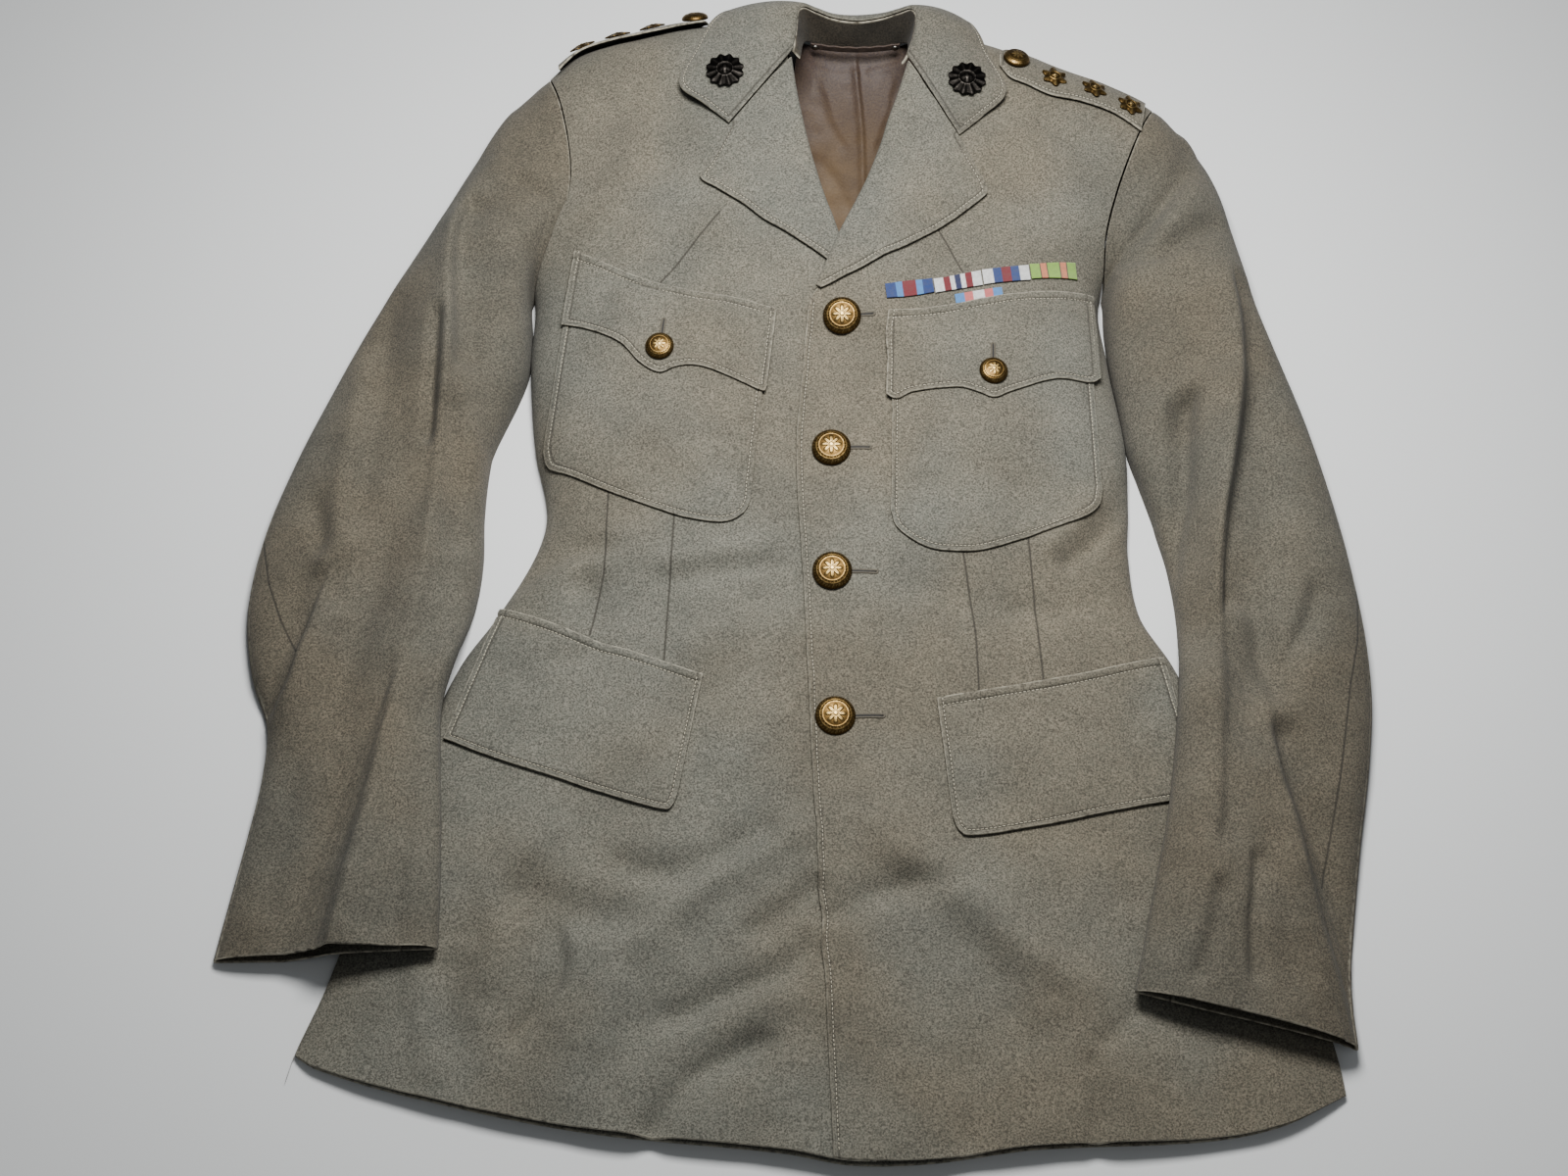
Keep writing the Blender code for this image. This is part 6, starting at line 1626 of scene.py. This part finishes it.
def build_collar(material, stand_material):
    at = spaced([COLLAR_LENGTH], EDGE_LINES, EDGE_LINES, COLLAR_ROWS)[0]
    fold, edge, seam, normal, side = [part[:, None, :] for part in collar_rungs(at)]
    width = np.linalg.norm(edge - fold, axis=-1)
    t = spaced(width[:, 0], [0.0], EDGE_LINES, FALL_COLUMNS)
    outer = fall_point(fold, edge, normal, t, collar_wave(at)[:, None])
    direction = unit(outer[:, 1:2] - outer[:, 0:1])
    outer, inner = roll_edge(outer, outer - normal * WALL, COLLAR_ROLL, direction, normal,
                             math.radians(COLLAR_ROLL_ANGLE), WALL)
    distance = np.minimum(np.minimum(reach(outer, 1, True), reach(outer, 0)), reach(outer, 0, True))
    face, back = round_rims(outer, inner)
    face = face + unit(outer - inner) * sewn_relief(distance)[..., None]
    cloth = join(reach(outer, 0) + FALL_WEAVE, reach(outer, 1), 0.0)
    fall = shell("collar_fall", face, back, cloth, distance, material)
    top = fold - normal * (WALL + SEAM_GAP * 2) + side * SEAM_GAP
    share = spaced([STAND_WIDTH], RIM_LINES, RIM_LINES, STAND_COLUMNS)[0][None, :, None]
    under = top + (seam - top) * share
    sag = STAND_SAG * np.sin(at * STAND_SAG_TURNS)[:, None, None] * np.sin(math.pi * share)
    face, back = round_rims(under + side * (WALL + sag), under)
    cloth = join(reach(face, 0) + STAND_WEAVE, reach(face, 1), 0.0)
    return fall, shell("collar_stand", face, back, cloth, NO_EDGE, stand_material)


def build_lining(material):
    rows, columns = LINING_COUNTS
    at = spaced([LINING_LENGTH], RIM_LINES, RIM_LINES, rows)[0][:, None]
    row = read_rows(BACK_LINING, at)
    t = spaced([LINING_WIDTH], RIM_LINES, RIM_LINES, columns)[0][None, :]
    x = row.low_x + (row.high_x - row.low_x) * t
    y = np.broadcast_to(row.y, x.shape)
    height = row.z + row.rim * np.abs(2.0 * t - 1.0) ** 3
    scale = LINING_SWELL_SCALE
    wrinkle = creases_height(x, y, LINING_CREASES) + LINING_SWELL * swells_height(x * scale, y * scale)
    height = height + np.maximum(wrinkle, WRINKLE_LOWEST) * smoothstep(WRINKLE_START, WRINKLE_FULL, y)
    face, back = round_rims(join(x, y, height + LINING_WALL), join(x, y, height))
    return shell("back_lining", face, back, join(x, y, 0.0), NO_EDGE, material)


def loop_bow(t):
    return LOOP_SAG * 4.0 * t * (1.0 - t)


def build_loop(material):
    columns, rows = LOOP_COUNTS
    t = spaced([LOOP_LENGTH], RIM_LINES, RIM_LINES, columns)[0][None, :]
    up = spaced([LOOP_HEIGHT], RIM_LINES[:3], RIM_LINES[:3], rows)[0][:, None]
    start = np.array(LOOP_START)
    bow = loop_bow(t)
    line = start + (np.array(LOOP_END) - start) * t[..., None]
    ripple = LOOP_RIPPLE * np.sin(t * LOOP_RIPPLE_TURNS) * up
    rise = up * LOOP_HEIGHT - bow * LOOP_DROOP
    face, back = round_rims(*[line + join(0.0 * up, push - bow - ripple, rise) for push in (0.0, THIN_WALL)])
    return shell("hanger_loop", face, back, face.copy(), NO_EDGE, material)


def build_ribbon(ribbon, material):
    """A ribbon bar lying on the left front over its pocket flap's seam."""
    slope = RIBBON_SLOPE
    lines = RIM_LINES[:4]
    run = spaced([RIBBON_LENGTH], lines, lines, RIBBON_COUNTS[0])[0][:, None] * RIBBON_LENGTH
    t = spaced([RIBBON_WIDTH], lines, lines, RIBBON_COUNTS[1])[0][None, :]
    x = ribbon.x + run - RIBBON_WIDTH * slope / 2 * (1.0 - t)
    y = ribbon.y + run * slope + RIBBON_WIDTH * (1.0 - t)
    surface = Surface(x, y, True)
    face, back = round_rims(surface.point(LAY_GAP + RIBBON_WALL), surface.point(LAY_GAP))
    cloth = join(np.broadcast_to(run, x.shape), t * RIBBON_WIDTH, 0.0)
    return shell(ribbon.name, face, back, cloth, NO_EDGE, material)


def seat(spot, lift, over, detail=True):
    """A place on the fronts' face and the directions of a piece set there."""
    step = SEAT_STEP
    xs = np.array([0.0, step, -step, 0.0, 0.0]) + spot.x
    ys = np.array([0.0, 0.0, 0.0, step, -step]) + spot.y
    points = Surface(xs, ys, over, detail).point(lift)
    outward = unit(np.cross(points[1] - points[2], points[3] - points[4]))
    across_it = unit(np.cross((0.0, 1.0, 0.0), outward))
    return points[0], np.stack([across_it, np.cross(outward, across_it), outward])


def polar(radii, turns):
    angle = around(turns)
    return radii[:, None] * np.cos(angle), radii[:, None] * np.sin(angle), angle[None, :]


def struck(node, seated, x, y, z, relief, material):
    """A closed turned form: rings from its centre to its rim, and a flat back."""
    place, axes = seated
    rings, turns = x.shape
    name = node + "_struck"
    top = np.array([[0.0, 0.0, float(z[0].mean())]])
    points = np.vstack([join(x, y, z).reshape(-1, 3), top, np.zeros((1, 3))])
    centre = rings * turns
    index, faces = ring_faces(rings, turns)
    after = np.roll(index, -1, axis=1)
    faces += [[centre, int(a), int(b)] for a, b in zip(index[0], after[0])]
    faces += [[centre + 1, int(b), int(a)] for a, b in zip(index[-1], after[-1])]
    marks = np.concatenate([relief.ravel(), [float(relief[0].mean()), 0.0]])
    layers = {"relief": marks, "place": points + np.array([len(name), 0.0, 0.0])}
    item = add_object(name, points @ axes + place, faces, material, layers)
    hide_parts(node)
    return item


def build_dome(node, radius, height, seated, material, bare=False):
    """A domed button: rope rim, beads, a ring and an open flower in low relief."""
    shares = np.concatenate([np.linspace(0.03, 0.955, DOME_RINGS), DOME_RIM])
    dome = cubic(DOME_KEYS, DOME_HEIGHTS, shares)
    dome[-3:] = DOME_BACK
    x, y, angle = polar(shares * radius, DOME_TURNS)
    r = shares[:, None]
    rope = 0.5 + 0.5 * np.cos(ROPE_COUNT * angle + ROPE_TWIST * r)
    rope = rope * smoothstep(*ROPE_BAND[:2], r) * (1.0 - smoothstep(*ROPE_BAND[2:], r))
    ring = sum(bump(r, *band) for band in RING_BANDS)
    beads = np.maximum(0.0, np.cos(BEAD_COUNT * angle)) * bump(r, *BEAD_BAND)
    petal = np.abs(np.cos(PETALS / 2 * angle))
    flower = smoothstep(0.0, 0.12, PETAL_ROOT + PETAL_LENGTH * petal - r) * smoothstep(0.1, 0.18, r)
    vein = bump(petal, 1.0, 0.02) * flower
    heart = 1.0 - smoothstep(*DOME_HEART, r)
    relief = rope * 0.8 + ring * 0.7 + beads * 0.8 + flower * 0.75 - vein * 0.35 + heart
    if bare:
        relief = ring * 0.5 + 0.0 * angle
    relief[-3:] = 0.0
    z = dome[:, None] * height + relief * DOME_RELIEF * radius
    return struck(node, seated, x, y, z, relief, material)


def build_star(node, size, seated, material):
    """A rayed rosette with a ring and a domed heart."""
    shares = np.concatenate([np.linspace(0.02, 0.97, STAR_RINGS), STAR_RIM])
    r = shares[:, None]
    x, y, angle = polar(shares, STAR_TURNS)
    wave = np.abs(((angle * size.rays / (2.0 * math.pi)) % 1.0) * 2.0 - 1.0)
    ray_end = 1.0 - (1.0 - size.notch) * smoothstep(0.0, 1.0, wave)
    scale = (1.0 + (ray_end - 1.0) * smoothstep(0.35, 1.0, r)) * size.radius
    ridge = (1.0 - wave) ** 1.5 * smoothstep(*RAY_START, r)
    ring = bump(r, *STAR_RING)
    leaf = smoothstep(0.0, 0.08, 0.16 + 0.14 * np.abs(np.cos(2.0 * angle)) - r)
    heart = 1.0 - smoothstep(*STAR_HEART, r)
    relief = ridge * 0.6 + ring + leaf * 0.6 + heart * 0.6
    body = cubic(STAR_KEYS, STAR_HEIGHTS, shares)
    body[-1:] = 0.0
    relief[-1:] = 0.0
    z = (body[:, None] + relief * STAR_RELIEF) * size.height
    return struck(node, seated, x * scale, y * scale, z, relief, material)


def build_hole(hole, material, dark):
    """A worked buttonhole: a ridge of close stitches round a slit of painted shadow."""
    length = math.hypot(hole.x1 - hole.x0, hole.y1 - hole.y0)
    run = ((hole.x1 - hole.x0) / length, (hole.y1 - hole.y0) / length)
    half = HOLE_WIDTH / 2
    number = int(length / HOLE_PITCH)
    straight = np.linspace(0.0, length, number)
    bend = np.linspace(-math.pi / 2, math.pi / 2, HOLE_BEND_STEPS)[1:-1]
    end_u = half * np.cos(bend)
    end_v = half * np.sin(bend)
    u = np.concatenate([straight, length + end_u, straight[::-1], -end_u])
    v = np.concatenate([np.full(number, -half), end_v, np.full(number, half), -end_v])
    surface = Surface(hole.x0 + u * run[0] - v * run[1], hole.y0 + u * run[1] + v * run[0], hole.over)
    lift = FLAP_LIFT + THIN_WALL if hole.on_flap else 0.0
    line = surface.point(lift + HOLE_LIFT)
    side = unit(np.cross(unit(np.roll(line, -1, axis=0) - np.roll(line, 1, axis=0)), surface.normal))
    ripple = HOLE_RADIUS * (1.0 + HOLE_RIPPLE * np.cos(np.arange(len(line)) * math.pi))
    points = tube(line, side, surface.normal, HOLE_TURNS, HOLE_FLATNESS, ripple)
    index = np.arange(len(points)).reshape(len(line), HOLE_TURNS)
    ahead = np.roll(index, -1, axis=0)
    faces = np.stack([index, ahead, np.roll(ahead, -1, axis=1), np.roll(index, -1, axis=1)], axis=-1)
    faces = faces.reshape(-1, 4).tolist()
    layers = {"cloth": points, "place": points}
    ridge = add_object("buttonhole_" + hole.name, points, faces, material, layers)
    return [ridge, build_slit(hole, run, length, lift, dark)]


def build_slit(hole, run, length, lift, material):
    """A dark tube in the opening between a buttonhole's two ridges: painted shadow."""
    at = np.linspace(0.0, 1.0, SLIT_STEPS)
    surface = Surface(hole.x0 + run[0] * at * length, hole.y0 + run[1] * at * length, hole.over)
    line = surface.point(lift + SLIT_LIFT)
    side = unit(np.cross(np.gradient(line, axis=0), surface.normal))
    girth = SLIT_HALF_WIDTH * np.sin(math.pi * np.clip(at, 0.02, 0.98)) ** 0.3
    points = tube(line, side, surface.normal, SLIT_TURNS, SLIT_FLATNESS, girth)
    index, faces = ring_faces(SLIT_STEPS, SLIT_TURNS)
    faces += [[int(i) for i in index[0]], [int(i) for i in index[-1][::-1]]]
    layers = {"cloth": points, "place": points}
    return add_object("buttonhole_slit_" + hole.name, points, faces, material, layers)


def plan_offset(line, inset, middle):
    """A plan line moved inward, without the places where it would fold over itself."""
    run = unit(np.gradient(line, axis=0))
    normal = np.stack([-run[:, 1], run[:, 0]], axis=-1)
    sides = [line + normal * inset, line - normal * inset]
    gaps = [np.hypot(*(side - middle).T).mean() for side in sides]
    inner = sides[int(np.argmin(gaps))]
    return inner[line_distance(inner, line) > inset * 0.96]


def sew(piece, material):
    """Threads along the sewn borders of a laid piece, and across a flap's top."""
    strips = piece.strips
    is_flap = "flap" in piece.name
    lines = []
    if piece.borders:
        border = strip_border(strips, piece.borders)
        length = reach(border[None], 1)[0]
        border = read_line(length, border, np.arange(0.0, length[-1], SEW_STEP))
        middle = border.mean(axis=0)
        lift = piece.lift + piece.wall
        if piece.borders == OUTER_END:
            rung = read_rows(strips, 0.5)
            middle = np.array([rung.top_x, rung.top_y], float)
            lift -= LAPEL_THREAD_SINK
        plan = plan_offset(border, STITCH_INSET, middle)
        surface = Surface(plan[:, 0], plan[:, 1], piece.over)
        lines.append((surface.point(lift), surface.normal))
    insets = [FLAP_SEAM_INSET] if is_flap else []
    if piece.curl > 0.0:
        insets += [STITCH_INSET, -STITCH_INSET]
    for inset in insets:
        rung = read_rows(strips, np.linspace(0.02, 0.98, SEW_SAMPLES))
        t = inset / rung_length(rung)
        t = t if inset > 0.0 else 1.0 + t
        surface = Surface(*across(rung, t), piece.over)
        sunk = FLAP_SEAM_DEPTH if is_flap else STITCH_TROUGH
        lift = piece.lift + piece.wall + piece.curl * (1.0 - t) - sunk
        lines.append((surface.point(lift), surface.normal))
    return stitches(piece.name, lines, material)


def sew_front(material):
    y = np.arange(*FRONT_SEAM, SEW_STEP)
    x = read_table(FRONT_LEFT_EDGE, "y", "x", y) + STITCH_INSET
    surface = Surface(x, y, True)
    return stitches("front_left", [(surface.point(-STITCH_TROUGH), surface.normal)], material)


def sew_collar(material):
    at = np.linspace(0.012, 0.988, COLLAR_SEW_SAMPLES)
    fold, edge, _, normal, _ = collar_rungs(at)
    t = 1.0 - STITCH_INSET / np.linalg.norm(edge - fold, axis=-1)
    points = fall_point(fold, edge, normal, t, collar_wave(at)) - normal * STITCH_TROUGH
    return stitches("collar_fall", [(points, normal)], material)


def build_cloths(thread):
    """Fronts, back, sleeves, laid pieces and collar, with the threads that go with each."""
    wool_right = make_wool("wool_right_front", SEAMS_RIGHT)
    wool_left = make_wool("wool_left_front", SEAMS_LEFT, 0.15)
    # Painted shade: the sleeves' wool is darker where they slope away from the lamp.
    wool_sleeve_right_painted_shade = make_wool("wool_right_sleeve", SEAMS_SLEEVE_RIGHT, 0.25, SLEEVE_PAINTED_SHADE)
    wool_sleeve_left_painted_shade = make_wool("wool_left_sleeve", SEAMS_SLEEVE_LEFT, 0.35, SLEEVE_PAINTED_SHADE)
    wool = make_wool("wool_plain")
    # Painted shade: the collar stand's wool is darker for the shade inside the collar.
    wool_stand = make_wool("wool_stand", (), 0.5, STAND_PAINTED_SHADE)
    made = {
        "back": build_back(wool),
        "front_right": build_front("front_right", FRONT_RIGHT_EDGE, "right_edge", ARMHOLE_RIGHT, False, -1.0,
                                   ROLL_START_RIGHT, wool_right),
        "front_left": build_front("front_left", FRONT_LEFT_EDGE, "left_edge", ARMHOLE_LEFT, True, 1.0,
                                  ROLL_START_LEFT, wool_left),
    }
    for sleeve, cloth in zip(SLEEVES, (wool_sleeve_right_painted_shade, wool_sleeve_left_painted_shade)):
        made.update(build_sleeve(sleeve, cloth))
    threads = {"front_left": [sew_front(thread)]}
    for piece in LAID:
        made[piece.name] = build_laid(piece, wool)
        threads[piece.name] = [sew(piece, thread)]
    made["collar_fall"], made["collar_stand"] = build_collar(wool, wool_stand)
    threads["collar_fall"] = [sew_collar(thread)]
    return made, threads


def build_buttons(gilt, bronze):
    """Buttons, pips and collar badges, each seated on the cloth below it."""
    for number, spot in enumerate(BUTTON_SPOTS, 1):
        seated = seat(spot, SEAM_GAP, True)
        build_dome("front_button_" + str(number), BUTTON_RADIUS, BUTTON_HEIGHT, seated, gilt)
    for button in SMALL_BUTTONS:
        seated = seat(button.spot, button.lift, button.over)
        build_dome(button.name, SMALL_BUTTON_RADIUS, SMALL_BUTTON_HEIGHT, seated, gilt)
    for side, spots, rise in (("left", PIPS_LEFT, PIP_LIFT_LEFT), ("right", PIPS_RIGHT, PIP_LIFT_RIGHT)):
        for number, spot in enumerate(spots, 1):
            seated = seat(spot, STRAP_TOP + rise, False)
            build_star("pip_" + side + "_" + str(number), PIP_SIZE, seated, gilt)
    for side, spot in (("right", BADGE_SPOT_RIGHT), ("left", BADGE_SPOT_LEFT)):
        seated = seat(spot, BADGE_LIFT, False, False)
        build_star("collar_badge_" + side, BADGE_SIZE, seated, bronze)


def build_studs(material):
    length = (LOOP_END - LOOP_START).length
    axes = np.array([[1.0, 0.0, 0.0], [0.0, 0.0, 1.0], [0.0, -1.0, 0.0]])
    for number, along_loop in enumerate((STUD_INSET, length - STUD_INSET), 1):
        t = along_loop / length
        bow = loop_bow(t)
        off = (0.0, -bow - SEAM_GAP * 2, LOOP_HEIGHT / 2 - bow * LOOP_DROOP)
        seated = (np.array(LOOP_START.lerp(LOOP_END, t)) + off, axes)
        build_dome("loop_stud_" + str(number), STUD_RADIUS, STUD_HEIGHT, seated, material, True)


def build_jacket():
    thread = make_thread("buff_thread", paint(0.50, 0.46, 0.36), paint(0.30, 0.27, 0.20))
    twist = make_thread("buttonhole_twist", paint(0.105, 0.090, 0.062), paint(0.055, 0.047, 0.034))
    # Painted shadow that fills the buttonholes' slits
    painted_slit_shadow = make_thread("slit_shadow", paint(0.012, 0.010, 0.008), paint(0.006, 0.005, 0.004))
    lining = make_lining()
    gilt = make_metal("gilt_worn", paint(0.46, 0.335, 0.155), paint(0.11, 0.07, 0.028), 0.42)
    bronze = make_metal("bronze_dark", paint(0.060, 0.054, 0.048), paint(0.010, 0.009, 0.008), 0.48)
    stud = make_metal("stud_pale", paint(0.55, 0.52, 0.46), paint(0.20, 0.19, 0.17), 0.40)
    made, threads = build_cloths(thread)
    made["back_lining"] = build_lining(lining)
    made["hanger_loop"] = build_loop(lining)
    for ribbon in RIBBONS:
        made[ribbon.name] = build_ribbon(ribbon, make_ribbon(ribbon.name))
    for hole in HOLES:
        threads[hole.owner] += build_hole(hole, twist, painted_slit_shadow)
    build_buttons(gilt, bronze)
    build_studs(stud)
    for cut in CUTS:
        threads.get(cut.node, [])


def link(name, data):
    item = bpy.data.objects.new(name, data)
    bpy.context.scene.collection.objects.link(item)
    return item


def build_lamp(lamp):
    data = bpy.data.lights.new(lamp.name, "AREA")
    data.shape = "RECTANGLE"
    data.size = lamp.width
    data.size_y = lamp.height
    data.energy = lamp.energy
    data.color = lamp.color
    item = link(lamp.name, data)
    item.location = lamp.place
    item.rotation_euler = (Vector(lamp.target) - Vector(lamp.place)).to_track_quat("-Z", "Y").to_euler()


def build_studio():
    mesh = bpy.data.meshes.new("floor")
    corners = [(-1, -1), (1, -1), (1, 1), (-1, 1)]
    mesh.from_pydata([(x * FLOOR_HALF, y * FLOOR_HALF, 0.0) for x, y in corners], [], [(0, 1, 2, 3)])
    mesh.materials.append(plain("pale_floor", FLOOR, 0.8))
    floor = link("floor", mesh)
    floor.location.z = -FLOOR_DROP
    world = bpy.context.scene.world or bpy.data.worlds.new("studio")
    bpy.context.scene.world = world
    world.use_nodes = True
    background = world.node_tree.nodes["Background"]
    background.inputs["Color"].default_value = WORLD_COLOR
    background.inputs["Strength"].default_value = WORLD_STRENGTH
    for lamp in LAMPS:
        build_lamp(lamp)


def build_camera():
    data = bpy.data.cameras.new("camera")
    data.lens = CAMERA_LENS
    data.sensor_width = CAMERA_SENSOR
    camera = link("camera", data)
    angle = math.radians(CAMERA_ELEVATION)
    camera.location = (
        SHIFT_X * CM,
        SHIFT_Y * CM - CAMERA_DISTANCE * math.cos(angle),
        CAMERA_DISTANCE * math.sin(angle) + CAMERA_AIM_HEIGHT,
    )
    camera.rotation_euler = (math.radians(90.0 - CAMERA_ELEVATION), 0.0, 0.0)
    bpy.context.scene.camera = camera
    bpy.context.scene.view_settings.look = "AgX - Medium High Contrast"


for leftover in ("Cube", "Light", "Camera"):
    if leftover in bpy.data.objects:
        bpy.data.objects.remove(bpy.data.objects[leftover], do_unlink=True)
build_camera()
build_studio()
build_jacket()
